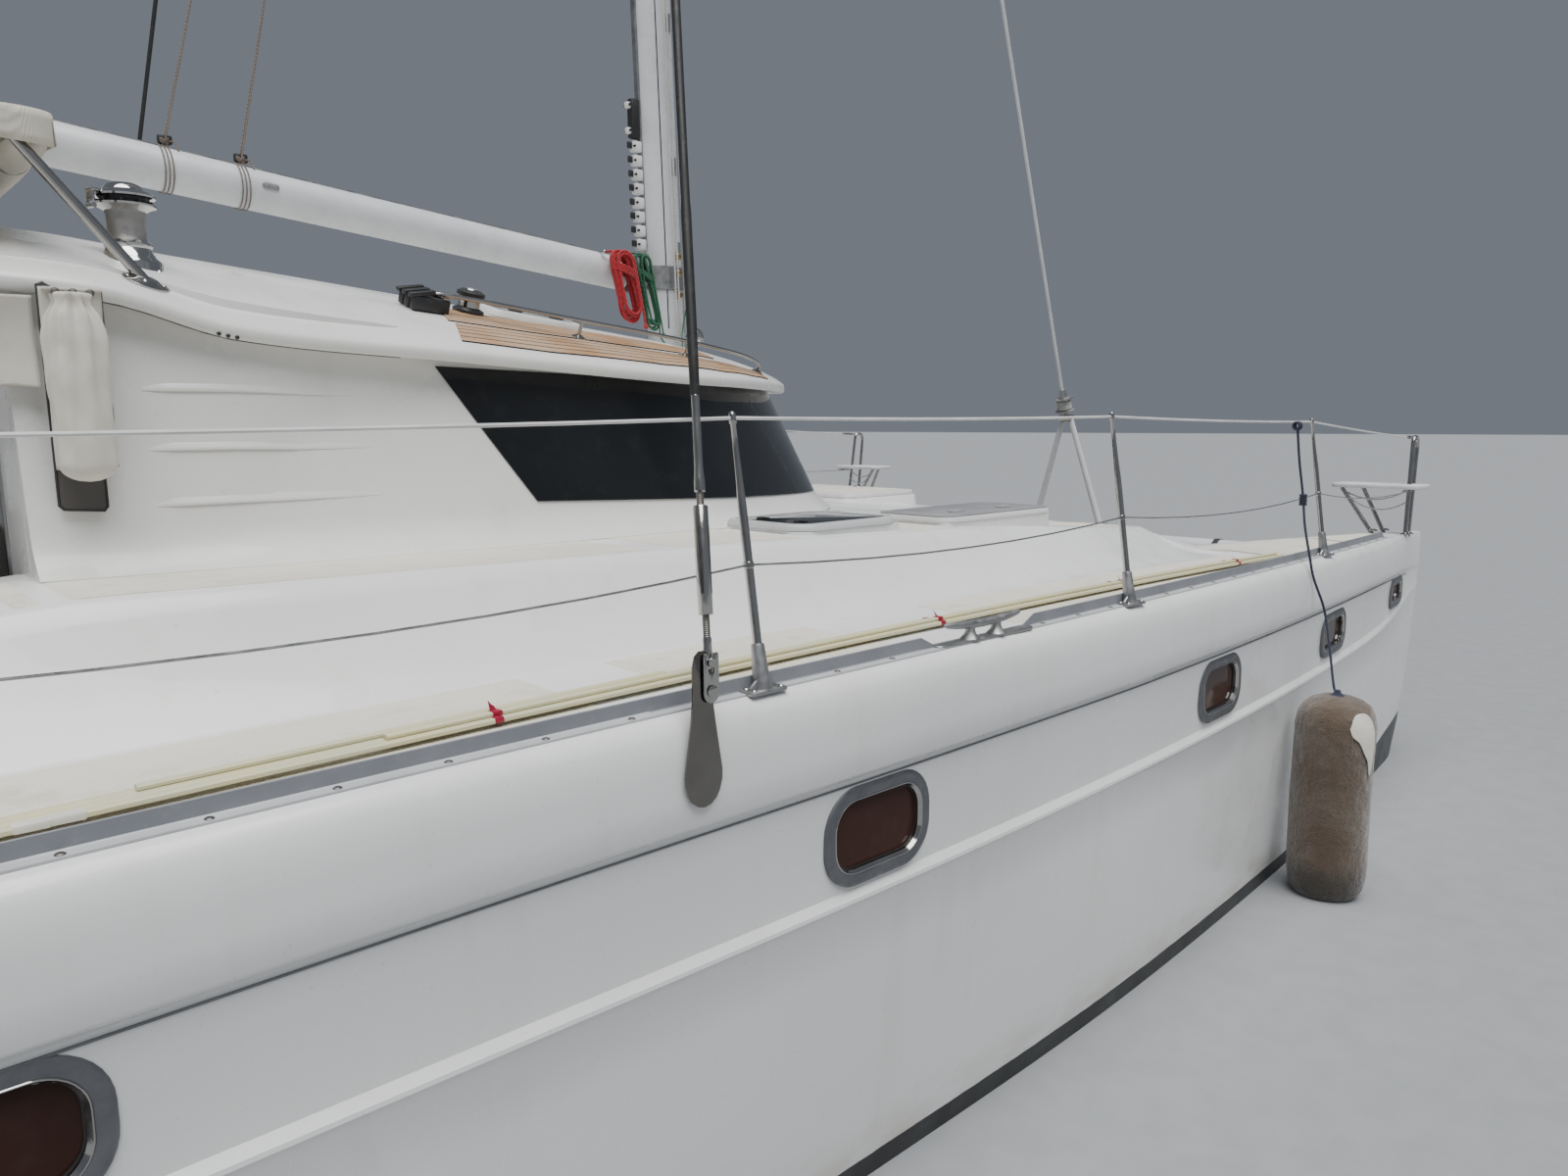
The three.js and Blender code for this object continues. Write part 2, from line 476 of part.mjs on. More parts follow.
const furler = rod([stayFoot[0] - 20, 0, stayFoot[2] + 60], [stayFoot[0] - 72, 0, stayFoot[2] + 210], 70, 16);
addPiece('forestay', cut(join(rod(stayFoot, stayHead, 15, 8), furler), raised(forwardBeam)), STEEL);

// Net between the hulls, aft of the beam. Columns: x, half breadth
const NET_EDGES = [[NACELLE_FRONT + 60, 1780], [BEAM.x - 110, 2060]];
addPiece('trampoline', loft(NET_EDGES.map(([x, half]) => [
  [x, -half, 1262], [x, half, 1262], [x, half, 1268], [x, -half, 1268]])), NET);

// Toe rail, cleat and stanchions of each side in one piece
const RAIL = { from: -4300, to: 5000, gap: [420, 830], outer: 34, inner: 66, height: 39, thick: 4, lift: 1 };
const CLEAT = { x0: 441, x1: 802, posts: [560, 683], z: 1575, plate: [400, 850] };
function strip(x0, x1, side, near, far, low, high) {
  const places = [x0, ...STATIONS.map(([x]) => x).filter((x) => x > x0 + 1 && x < x1 - 1), x1];
  return loft(places.map((x) => [[near, low], [far, low], [far, high], [near, high]].map(([inset, rise]) => [
    x, side * (edgeAt(x) - inset), deckAt(x) + RAIL.lift + rise])));
}
function stanchion(x, side) {
  const foot = [x, side * (edgeAt(x) - 42), deckAt(x) + 12];
  const tilt = THREE.MathUtils.degToRad(STANCHION.leanDeg);
  const upTo = (length) => [x, foot[1] - side * length * Math.sin(tilt), foot[2] + length * Math.cos(tilt)];
  return join(strip(x - 58, x + 58, side, 14, 84, 0, 12), rod(foot, upTo(80), 20, 12, 17),
    rod(foot, upTo(STANCHION.height), STANCHION.radius, 10));
}
for (const [i, [word, side]] of SIDES.entries()) {
  const lengths = [[RAIL.from, RAIL.gap[0]], [RAIL.gap[1], RAIL.to]].flatMap(([x0, x1]) => [
    strip(x0, x1, side, RAIL.outer, RAIL.inner, 0, RAIL.thick),
    strip(x0, x1, side, RAIL.inner - RAIL.thick, RAIL.inner, 0, RAIL.height)]);
  const y = side * (edgeAt(620) - 52);
  const cleat = [
    strip(...CLEAT.plate, side, 30, 74, 0, 10),
    ...CLEAT.posts.map((x) => rod([x, y, deckAt(x) + 4], [x, y, CLEAT.z], 17, 10)),
    rod([CLEAT.x0, y, CLEAT.z], [CLEAT.x1, y, CLEAT.z], 14, 10)];
  const posts = STANCHION.stations.map((x) => stanchion(x, side));
  addPiece(`toe_rail_${word}`, cut(join(...lengths, ...cleat, ...posts), raised(hulls[i])), ALLOY);
}

// Bow rails with their seats, and the stern rails, standing on the hulls
const TUBE = 12.5;
for (const [i, [word, side]] of SIDES.entries()) {
  const above = raised(hulls[i]);
  const at = (x, o, z) => [x, side * o, z];
  const legs = [
    [at(5393, 2352, 1380), at(5470, 2335, 2015)], [at(5500, 2335, 1380), at(5560, 2330, 1995)],
    [at(5330, 2190, 1380), at(5330, 1985, 1712)], [at(5480, 2205, 1380), at(5480, 2060, 1712)]];
  const seat = block(5300, 5520, side * 1930, side * 2440, 1705, 1730);
  addPiece(`bow_rail_${word}`, cut(join(...legs.map(([a, b]) => rod(a, b, TUBE)),
    rod(legs[0][1], legs[1][1], TUBE), seat), above), STEEL);
  const sternTop = [at(-5620, 2640, 2020), at(-5560, 2760, 2030), at(-4400, 2790, 2070)];
  const sternLegs = [[-5560, 2760], [-5000, 2775], [-4400, 2790]].map(([x, o]) => rod(at(x, o, 1380),
    at(x, o, 2030 + (x + 5560) * 0.0345), TUBE));
  addPiece(`stern_rail_${word}`, cut(join(pipe(sternTop, TUBE), rod(at(-5560, 2760, 1740), at(-4400, 2790, 1760), 10),
    ...sternLegs), above), STEEL);
}

// Aft bulkhead with its doorway and window, and the door that slides to port behind it
const DOORWAY = { y0: 0, y1: 700, z0: 900, z1: 2440 };
const AFT_WINDOW = { y0: -1350, y1: -200, z0: 1380, z1: 2300 };
const bulkhead = join(block(BULKHEAD, BULKHEAD + 40, -WITHIN, WITHIN, FLOOR + TOUCH, 1720),
  block(BULKHEAD, BULKHEAD + 40, -1700, 1700, 1700, 2760).intersect(wallBody(WALL_THICK + TOUCH, 400)));
const doorTrack = block(BULKHEAD - 52, BULKHEAD + 5, -30, 1462, DOORWAY.z1 + 18, DOORWAY.z1 + 40);
addPiece('aft_bulkhead', cut(join(bulkhead, doorTrack), raised(bothHulls), raised(aboveRoof, -TOUCH),
  block(BULKHEAD - 10, BULKHEAD + 50, DOORWAY.y0, DOORWAY.y1, DOORWAY.z0, DOORWAY.z1),
  block(BULKHEAD - 10, BULKHEAD + 50, AFT_WINDOW.y0, AFT_WINDOW.y1, AFT_WINDOW.z0, AFT_WINDOW.z1)), GELCOAT);
addPiece('window_aft', block(BULKHEAD + 14, BULKHEAD + 26, AFT_WINDOW.y0 + TOUCH, AFT_WINDOW.y1 - TOUCH,
  AFT_WINDOW.z0 + TOUCH, AFT_WINDOW.z1 - TOUCH), GLASS);
addPiece('saloon_door', block(BULKHEAD - 45, BULKHEAD - 15, DOORWAY.y0 - 20, DOORWAY.y1 + 20, DOORWAY.z0 - 30,
  DOORWAY.z1 + 10), GLASS);

// Cockpit and saloon furniture
const onFloor = FLOOR + TOUCH;
addPiece('helm_console', join(block(-1940, -1640, -1430, -790, onFloor, 1640),
  sidePlate([[-1940, 1640], [-1640, 1640], [-1640, 1830], [-1720, 1850]], -1430, -790)), GELCOAT);
const WHEEL = { x: -2035, y: -1110, z: 1590, radius: 340 };
const rim = new THREE.TorusGeometry(WHEEL.radius, 13, 8, 32);
rim.rotateY(Math.PI / 2);
rim.translate(WHEEL.x, WHEEL.y, WHEEL.z);
const wheelSpokes = [0, 1, 2, 3, 4].map((k) => {
  const turn = (k * 2 * Math.PI) / 5;
  return rod([WHEEL.x, WHEEL.y, WHEEL.z], [WHEEL.x, WHEEL.y + (WHEEL.radius - 4) * Math.sin(turn),
    WHEEL.z + (WHEEL.radius - 4) * Math.cos(turn)], 9, 8);
});
addPiece('wheel', join(solid(rim), ...wheelSpokes,
  rod([WHEEL.x - 30, WHEEL.y, WHEEL.z], [-1947, WHEEL.y, WHEEL.z], 38, 14)), STEEL);
addPiece('helm_seat', join(block(-2950, -2560, -1480, -740, onFloor, 1420), block(-2950, -2900, -1480, -740, 1400, 1800)),
  GELCOAT);
addPiece('cockpit_seat', block(-3950, -1720, 800, 1480, onFloor, 1290), GELCOAT);
addPiece('aft_bench', join(block(-4580, -4080, -1480, 1480, onFloor, 1290), block(-4580, -4520, -1480, 1480, 1280, 1640)),
  GELCOAT);
addPiece('cockpit_table', join(rod([-2900, 150, onFloor], [-2900, 150, 1545], 45, 12),
  block(-3350, -2450, -250, 550, 1540, 1570)), GELCOAT);
addPiece('saloon_settee', join(block(-200, 1300, -1480, 1480, onFloor, 1290), block(1180, 1300, -1480, 1480, 1280, 1640)),
  CANVAS);

// Bimini: struts up from the roof and posts aft, and the canopy over them
const BIMINI = { front: -1440, aft: -4250, half: 1520, z: 2850, footX: -1180, footY: 1560 };
const frameBars = SIDES.flatMap(([, side]) => [
  rod([BIMINI.footX, side * BIMINI.footY, 2440], [BIMINI.front, side * BIMINI.half, BIMINI.z], 14, 8),
  rod([BIMINI.footX - 4, side * BIMINI.footY, 2500], [BIMINI.footX + 2, side * BIMINI.footY, 2526], 44, 12),
  rod([BIMINI.front, side * BIMINI.half, BIMINI.z], [BIMINI.aft, side * BIMINI.half, BIMINI.z], 14, 8),
  rod([BIMINI.aft, side * 1600, 1400], [BIMINI.aft, side * BIMINI.half, BIMINI.z], 16, 8)]);
const frameBows = [BIMINI.front, -2380, -3320, BIMINI.aft].map((x) => rod(
  [x, -BIMINI.half, BIMINI.z], [x, BIMINI.half, BIMINI.z], 13, 8));
const biminiFrame = cut(join(...frameBars, ...frameBows), raised(underRoofTop), raised(bothHulls));
addPiece('bimini_frame', biminiFrame, STEEL);
const canopyRing = (x) => {
  const across = [-1, -0.7, -0.35, 0, 0.35, 0.7, 1];
  const low = BIMINI.z + 16 + TOUCH;
  const top = across.map((s) => [x, s * (BIMINI.half + 40), low + 30 + 70 * (1 - s * s)]);
  const under = [...top].reverse().map(([, y, z]) => [x, y, z - 28]);
  return [...top, ...under];
};
addPiece('bimini_canopy', loft([-1340, -2380, -3320, -4320].map(canopyRing)), CANVAS);

// A turned body on an upright axis. Rows: height, radius
const turned = (x, y, rows, sides = 20) => loft(rows.map(([z, radius]) => Array.from({ length: sides }, (_, k) => [
  x + radius * Math.cos((k * 2 * Math.PI) / sides), y + radius * Math.sin((k * 2 * Math.PI) / sides), z])));
const WINCH = { x: -1175, y: 1390, z: 2560 };
for (const [word, side] of SIDES) {
  const rows = [[-40, 78], [35, 78], [45, 55], [140, 50], [160, 74], [205, 74], [225, 58], [240, 30]];
  addPiece(`winch_${word}`, cut(turned(WINCH.x, side * WINCH.y, rows.map(([z, r]) => [WINCH.z + z, r])),
    raised(underRoofTop)), STEEL);
}

// Soft gear on the starboard side: the rolled curtain, and the fender on its lanyard
const ROLL = { x: -1375, y: -1728, z0: 2040, z1: 2470, radius: 62 };
addPiece('curtain_roll', join(turned(ROLL.x, ROLL.y, [[ROLL.z0, 50], [ROLL.z0 + 20, ROLL.radius],
  [ROLL.z1 - 20, ROLL.radius], [ROLL.z1, 50]], 14), block(ROLL.x - 30, ROLL.x + 30, ROLL.y, -1645, 2452, 2464)), CANVAS);
const FENDER_AT = { x: 3115, y: -2872, z0: -40, z1: 925, radius: 172 };
const fenderRows = [[0, 60], [35, 118], [90, 155], [160, 172], [800, 172], [875, 155], [930, 118], [965, 60]];
addPiece('fender', join(turned(FENDER_AT.x, FENDER_AT.y, fenderRows.map(([z, r]) => [FENDER_AT.z0 + z, r])),
  pipe([[FENDER_AT.x, FENDER_AT.y, 915], [3150, -2738, 1490], [3200, -2590, 2090]], 7)), FENDER);

// Spare battens, taped together, along the starboard toe rail
const BATTEN_LINE = [[-2400, -2695], [-1500, -2665], [-300, -2628], [900, -2590], [2000, -2550], [3250, -2512]];
const bundle = loft(BATTEN_LINE.map(([x, y]) => [[-31, -7], [31, -7], [31, 7], [-31, 7]].map(([across, up]) => [
  x, y + across, deckAt(x) + 20 + up])));
const TAPES = [-900, 640, 1800, 2900];
const tapes = TAPES.map((x) => {
  const y = read(BATTEN_LINE, x, 1);
  const z = deckAt(x) + 20;
  return block(x - 25, x + 25, y - 33, y + 33, z - 9, z + 9);
});
addPiece('sail_battens', join(bundle, ...tapes), BATTEN);

export default boat;
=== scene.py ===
"""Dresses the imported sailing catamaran: hulls, decks, cabin, rig, rails and cockpit, on a pale floor.

The frame is the boat's own, in metres: +X to the bows, +Y to port, +Z up, with the origin on the
waterline amidships.
"""

import math

import bmesh
import bpy
from bpy.props import FloatProperty, FloatVectorProperty, PointerProperty
from mathutils import Matrix, Vector, noise


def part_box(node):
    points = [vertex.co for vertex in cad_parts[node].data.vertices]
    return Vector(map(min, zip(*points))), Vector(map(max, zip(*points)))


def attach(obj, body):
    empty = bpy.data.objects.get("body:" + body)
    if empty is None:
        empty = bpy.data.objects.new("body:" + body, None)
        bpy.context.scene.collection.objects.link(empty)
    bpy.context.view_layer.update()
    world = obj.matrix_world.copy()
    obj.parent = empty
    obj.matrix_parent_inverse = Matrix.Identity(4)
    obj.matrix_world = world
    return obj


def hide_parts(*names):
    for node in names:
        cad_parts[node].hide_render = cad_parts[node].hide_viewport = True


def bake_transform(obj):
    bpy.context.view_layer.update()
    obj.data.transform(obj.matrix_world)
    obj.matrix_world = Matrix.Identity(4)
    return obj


bl_info = {
    "name": "Sailing catamaran",
    "version": (1, 0, 0),
    "blender": (4, 5, 0),
    "location": "3D View > Sidebar > Catamaran",
    "description": "Builds the visible boat around its packed solids",
    "category": "Object",
}

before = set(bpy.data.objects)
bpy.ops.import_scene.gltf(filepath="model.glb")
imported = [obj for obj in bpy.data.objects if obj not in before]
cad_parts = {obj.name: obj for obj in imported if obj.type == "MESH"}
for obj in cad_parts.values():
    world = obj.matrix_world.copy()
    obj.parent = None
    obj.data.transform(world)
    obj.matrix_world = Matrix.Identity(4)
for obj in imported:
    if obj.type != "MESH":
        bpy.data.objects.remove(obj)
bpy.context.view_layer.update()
HULL = "platform"
SIDES = (("starboard", -1), ("port", 1))

# Sizes shared with the boat's solids, in metres
HULL_CENTRE = 2.27
DECK_EDGE = 2.876
TOE_IN = 0.56
STRAIGHT_UNTIL = -0.345
WALKWAY_INNER = 2.29
INNER_WALL = 1.5
UNDERSIDE = 0.72
COCKPIT_FLOOR = 0.8605
# Columns: height over the rib's lower edge, how far it stands out
RIB_PROFILE = ((0.034, -0.003), (0.02, 0.001), (0.005, 0.006), (0.0, 0.0065), (-0.0025, 0.0055),
               (-0.0045, -0.003))
# Columns: name, direction the light comes from, strength, spread in degrees
DAYLIGHT = (("key", (-0.15, -0.3, 1.0), 4.7, 55), ("side", (0.2, -1, 0.25), 0.12, 90))
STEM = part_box("hull_starboard")[1].x
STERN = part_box("hull_starboard")[0].x
MAST = {"x": 1.6, "foot": 2.7, "top": 16.2, "rake": math.radians(1.5), "long": 0.105, "wide": 0.0675}
HOUNDS = 14.0
CHAINPLATE_X = -0.49
BOOM = {"heel": Vector((1.385, 0, 2.872)), "end": Vector((-3.5, 0, 3.4)), "radius": 0.078}
LASHINGS = (1.839, 2.106, 3.15, 4.1)
STANCHIONS = (-3.8, -2.05, -0.26, 1.475, 3.57)
STANCHION_HEIGHT = 0.65
STANCHION_LEAN = math.radians(8.5)

# Columns: x, half breadth at the water, height of the bottom
HULL_FORM = (
    (-5.83, 0.33, 0.06), (-4.4, 0.45, -0.3), (-1.5, 0.49, -0.52), (0, 0.495, -0.56), (1.5, 0.475, -0.54),
    (3.2, 0.35, -0.46), (4.3, 0.225, -0.37), (5.2, 0.095, -0.2), (5.56, 0.045, 0.02), (5.72, 0.022, 0.26),
    (5.83, 0.014, 0.62),
)
# Columns: x, half breadth of the ledge's edge, height of the ledge
LEDGE = ((-3.4, 2.11, 1.64), (-1.5, 2.11, 1.8), (0.4, 2.1, 1.768), (1.5, 2.06, 1.73), (2.4, 1.95, 1.665),
         (3.2, 1.85, 1.6))
# Columns: x, half breadth, height of the edge, height on the centreline
ROOF = (
    (-1.56, 1.64, 2.47, 2.76), (-1.28, 1.64, 2.45, 2.75), (-1.0, 1.63, 2.375, 2.73), (-0.35, 1.6, 2.335, 2.665),
    (0.5, 1.5, 2.29, 2.58), (1.0, 1.34, 2.28, 2.53), (1.45, 1.045, 2.275, 2.47), (1.8, 0.665, 2.28, 2.4),
    (1.95, 0.4, 2.285, 2.365), (2.01, 0.2, 2.29, 2.345),
)
# Columns: x and half breadth at the sill, x and half breadth at the top
WALL = (
    (-1.5, 1.66, -1.5, 1.545), (-0.4, 1.64, -0.42, 1.525), (0.5, 1.545, 0.44, 1.43), (1.05, 1.37, 0.95, 1.25),
    (1.5, 1.12, 1.36, 0.99), (1.85, 0.78, 1.69, 0.66), (2.06, 0.42, 1.89, 0.33), (2.13, 0.0, 1.96, 0.0),
)
SILL = 1.88
WALL_TOP = 2.3


class CatamaranSizes(bpy.types.PropertyGroup):
    """Sizes of the finer work"""
    hull_step: FloatProperty(name="Hull station spacing", description="Distance between hull sections",
                             default=0.16, min=0.05, max=0.5, unit="LENGTH")
    tread_grain: FloatProperty(name="Non-skid grain",
                               description="Size of the grains moulded into the walkways",
                               default=0.004, min=0.001, max=0.02, unit="LENGTH")
    plank: FloatProperty(name="Teak plank", description="Width of one plank with its caulking",
                         default=0.028, min=0.01, max=0.1, unit="LENGTH")
    red_rope: FloatProperty(name="Red rope", description="Diameter of the coiled rope at the boom's heel",
                            default=0.012, min=0.004, max=0.02, unit="LENGTH")
    green_rope: FloatProperty(name="Green rope", description="Diameter of the coiled halyard tail",
                              default=0.008, min=0.004, max=0.02, unit="LENGTH")


def colour_setting(name, about, rgb):
    """Property for one of the boat's colours."""
    return FloatVectorProperty(name=name, description=about, subtype="COLOR", size=3, min=0, max=1, default=rgb)


class CatamaranColours(bpy.types.PropertyGroup):
    """Colours of the boat's finishes"""
    gelcoat: colour_setting("Gelcoat", "Hulls, decks and cabin", (0.80, 0.80, 0.785))
    tread: colour_setting("Non-skid", "Walkway and ledge panels", (0.80, 0.76, 0.66))
    teak: colour_setting("Teak", "Planked bands on the roof", (0.47, 0.26, 0.12))
    canvas: colour_setting("Canvas", "Canopy and rolled curtain", (0.70, 0.66, 0.56))
    bottom_paint: colour_setting("Bottom paint", "Antifouling and boot-top", (0.012, 0.013, 0.015))
    red_rope: colour_setting("Red rope", "Coil at the boom's heel", (0.48, 0.012, 0.02))
    green_rope: colour_setting("Green rope", "Coil beside the mast", (0.02, 0.13, 0.06))


def sizes():
    return bpy.context.scene.catamaran_sizes


def colours():
    return bpy.context.scene.catamaran_colours


# Shape of the boat

def read(table, x, column):
    """Straight-line reading of a table whose first column is x."""
    if x <= table[0][0]:
        return table[0][column]
    for low, high in zip(table, table[1:]):
        if x <= high[0]:
            return low[column] + (x - low[0]) / (high[0] - low[0]) * (high[column] - low[column])
    return table[-1][column]


def fair(table, x, column):
    """Smooth reading of the same kind of table, through every row."""
    if x <= table[0][0]:
        return table[0][column]
    if x >= table[-1][0]:
        return table[-1][column]
    i = next(k for k in range(len(table) - 1) if x <= table[k + 1][0])

    def slope(k):
        before, after = table[max(k - 1, 0)], table[min(k + 1, len(table) - 1)]
        return (after[column] - before[column]) / (after[0] - before[0])

    low, high = table[i], table[i + 1]
    span = high[0] - low[0]
    t = (x - low[0]) / span
    a = low[column] * (2 * t**3 - 3 * t**2 + 1) + high[column] * (3 * t**2 - 2 * t**3)
    return a + span * (slope(i) * (t**3 - 2 * t**2 + t) + slope(i + 1) * (t**3 - t**2))


def curve_through(points, steps):
    """Points on a smooth curve through the given ones, with so many steps between each two."""
    made = []
    for i in range(len(points) - 1):
        a, b, c, d = (Vector(points[max(0, min(len(points) - 1, i + k))]) for k in (-1, 0, 1, 2))
        for s in range(steps):
            t = s / steps
            made.append(0.5 * (2 * b + (c - a) * t + (2 * a - 5 * b + 4 * c - d) * t * t
                               + (3 * b - a - 3 * c + d) * t**3))
    made.append(Vector(points[-1]))
    return made


def sheer(x):
    return 1.522 - 0.00343 * (x - 0.1) ** 2


def deck_edge(x):
    return max(DECK_EDGE - TOE_IN * (max(x - STRAIGHT_UNTIL, 0) / 6) ** 2, HULL_CENTRE + 0.03)


def hull_marks(x):
    """Edge, deck, narrowing, rib height and step height of a hull at x."""
    edge, deck = deck_edge(x), sheer(x)
    narrow = min(1, (edge - HULL_CENTRE) / 0.22)
    rib = 0.94 + 0.15 * (max(x - 4.5, 0) / 1.33) ** 2
    step = deck - 0.262 + 0.045 * min(1, max(x - 1.5, 0) / 3.7)
    return edge, deck, narrow, rib, step


def topside(x):
    """Outer side of a hull above its rib, as rows of height and breadth."""
    edge, deck, n, rib, step = hull_marks(x)
    return ((rib + 0.004, edge - 0.0275 * n), (step - 0.03, edge - 0.017 * n), (step, edge + 0.006 * n),
            (deck - 0.19, edge + 0.0145 * n))


def side_breadth(x, z):
    return read(topside(x), z, 1)


def deck_height(x, o):
    """Height of the side deck at breadth o, between the edge and the fold."""
    edge, deck = deck_edge(x), sheer(x)
    inner = WALKWAY_INNER if x <= 3.2 else HULL_CENTRE + 0.02
    rise = 0.006 if x <= 3.2 else 0.014
    return deck + rise * min(1, max(0, (edge - 0.03 - o) / (edge - 0.03 - inner)))


def hull_section(x, zone):
    c = HULL_CENTRE
    edge, deck, n, rib, step = hull_marks(x)
    water, bottom = fair(HULL_FORM, x, 1), fair(HULL_FORM, x, 2)
    bilge = bottom + 0.3 * max(-bottom, 0.06)
    water_z = max(0, bottom + 0.13)
    low = curve_through(((c, bottom), (c + 0.66 * water, bilge), (c + water, water_z),
                         (edge - 0.0165 * n, rib - 0.04)), 4)
    outer = [tuple(p) for p in low] + [
        (edge - 0.0085 * n, rib - 0.026), (edge - 0.0095 * n, rib - 0.016), (edge - 0.0185 * n, rib - 0.006),
        (edge - 0.0275 * n, rib + 0.004), (edge - 0.017 * n, step - 0.032), (edge - 0.0135 * n, step - 0.016),
        (edge - 0.005 * n, step - 0.006), (edge + 0.006 * n, step), (edge + 0.0115 * n, step + 0.01),
        (edge + 0.0142 * n, deck - 0.185), (edge + 0.0142 * n, deck - 0.125), (edge + 0.0115 * n, deck - 0.078),
        (edge + 0.004 * n, deck - 0.04), (edge - 0.009 * n, deck - 0.014), (edge - 0.03 * n, deck)]
    if zone == "house":
        ledge, height = read(LEDGE, x, 1), read(LEDGE, x, 2)
        face = [(WALKWAY_INNER + (ledge - WALKWAY_INNER) * t,
                 deck + 0.006 + (height - 0.008 - deck - 0.006) * t
                 - 0.03 * math.sin(math.pi * t) * (1 - 0.3 * t))
                for t in (0, 0.12, 0.3, 0.5, 0.7, 0.88, 1)]
        inner = face + [(ledge - 0.014, height), (INNER_WALL, height), (INNER_WALL, UNDERSIDE)]
        last = (c - water - 0.06, UNDERSIDE)
    elif zone == "bow":
        inner = [(c + (0.02 - 0.08 * t) * n, deck + 0.014 * n) for t in (0, 0.2, 0.4, 0.6, 0.8, 1)]
        inner += [(2 * c - edge + 0.13 * n, deck + 0.004 * n), (2 * c - edge + 0.03 * n, deck),
                  (2 * c - edge, deck - 0.02), (2 * c - edge - 0.005 * n, deck - 0.13)]
        last = (2 * c - edge + 0.026 * n, rib)
    else:
        across = 2.11 if zone == "cockpit" else 2.0
        inner = [(WALKWAY_INNER + (across - WALKWAY_INNER) * t, deck + 0.006 + 0.002 * t)
                 for t in (0, 0.12, 0.3, 0.5, 0.7, 0.88, 1)]
        if zone == "cockpit":
            inner += [(1.9, deck + 0.008), (INNER_WALL, deck + 0.008), (INNER_WALL, UNDERSIDE)]
            last = (c - water - 0.06, UNDERSIDE)
        else:
            inner += [(2 * c - edge + 0.03, deck), (2 * c - edge + 0.008, deck - 0.012),
                      (2 * c - edge, deck - 0.2)]
            last = (c - water - 0.02, UNDERSIDE)
    back = curve_through((last, (c - water, water_z), (c - 0.66 * water, bilge), (c, bottom)), 4)[:-1]
    return outer + inner + [tuple(p) for p in back]


ZONES = ((STERN, -4.61, "stern"), (-4.6, -3.41, "cockpit"), (-3.4, 3.2, "house"), (3.21, STEM, "bow"))


def spread(ends, count=24):
    return [ends[0].lerp(ends[1], k / count) for k in range(count + 1)]


def spaced(low, high, step):
    count = max(1, math.ceil((high - low) / step))
    return [low + (high - low) * k / count for k in range(count + 1)]


def roof_top(x, y):
    half, edge, crown = (fair(ROOF, x, k) for k in (1, 2, 3))
    share = min(1, abs(y) / half)
    return edge + 0.035 + (crown - edge - 0.035) * (1 - share**2.6) ** 0.8


def mast_x(z):
    return MAST["x"] - math.tan(MAST["rake"]) * (z - MAST["foot"])


def sided(side, x, o, z):
    return Vector((x, side * o, z))


# Mesh work

def keep(bm, made, place=None):
    """Adds a finished bmesh to another one."""
    if place is not None:
        bmesh.ops.transform(made, matrix=place, verts=made.verts)
    mesh = bpy.data.meshes.new("part")
    made.to_mesh(mesh)
    made.free()
    bm.from_mesh(mesh)
    bpy.data.meshes.remove(mesh)


def loft(bm, rings):
    """Closed solid through rings of equal length, by pushing one face from ring to ring."""
    made = bmesh.new()
    line = bmesh.ops.create_circle(made, cap_ends=True, segments=len(rings[0]), radius=1)["verts"]
    for vert, place in zip(line, rings[0]):
        vert.co = place
    first = cap = made.faces[:][0]
    for ring in rings[1:]:
        pushed = bmesh.ops.extrude_face_region(made, geom=[cap])["geom"]
        fresh = {g for g in pushed if isinstance(g, bmesh.types.BMVert)}
        line = [next(e.other_vert(v) for e in v.link_edges if e.other_vert(v) in fresh) for v in line]
        if cap is not first:
            bmesh.ops.delete(made, geom=[cap], context="FACES_ONLY")
        cap = next(g for g in pushed if isinstance(g, bmesh.types.BMFace))
        for vert, place in zip(line, ring):
            vert.co = place
    bmesh.ops.recalc_face_normals(made, faces=made.faces)
    keep(bm, made)


def grid(bm, count_u, count_v, place):
    """Open sheet whose points are place(u, v) for u and v from 0 to 1."""
    made = bmesh.new()
    bmesh.ops.create_grid(made, x_segments=count_u, y_segments=count_v, size=0.5)
    for vert in made.verts:
        vert.co = place(vert.co.x + 0.5, vert.co.y + 0.5)
    keep(bm, made)


def thicken(bm, thickness):
    """Gives an open sheet its thickness, away from its faces."""
    bmesh.ops.recalc_face_normals(bm, faces=bm.faces)
    bmesh.ops.solidify(bm, geom=bm.faces[:], thickness=thickness)


def tube(bm, points, radius, sides=8, closed=False):
    """Round bar along a line of points."""
    curve = bpy.data.curves.new("line", "CURVE")
    curve.dimensions = "3D"
    spline = curve.splines.new("POLY")
    spline.points.add(len(points) - 1)
    for point, place in zip(spline.points, points):
        point.co = (*place, 1)
    spline.use_cyclic_u = closed
    curve.bevel_depth = radius
    curve.bevel_resolution = max(0, (sides - 4) // 2)
    curve.use_fill_caps = not closed
    carrier = bpy.data.objects.new("line", curve)
    mesh = bpy.data.meshes.new_from_object(carrier)
    bm.from_mesh(mesh)
    bpy.data.meshes.remove(mesh)
    bpy.data.objects.remove(carrier)
    bpy.data.curves.remove(curve)


def along(start, end):
    """Placing that turns +Z into the line from start to end, with its middle between them."""
    start, end = Vector(start), Vector(end)
    turn = Vector((0, 0, 1)).rotation_difference(end - start).to_matrix().to_4x4()
    return Matrix.Translation((start + end) / 2) @ turn


def rod(bm, start, end, radius, other=None, sides=16):
    bmesh.ops.create_cone(bm, cap_ends=True, segments=sides, radius1=radius,
                          radius2=radius if other is None else other,
                          depth=(Vector(end) - Vector(start)).length, matrix=along(start, end))


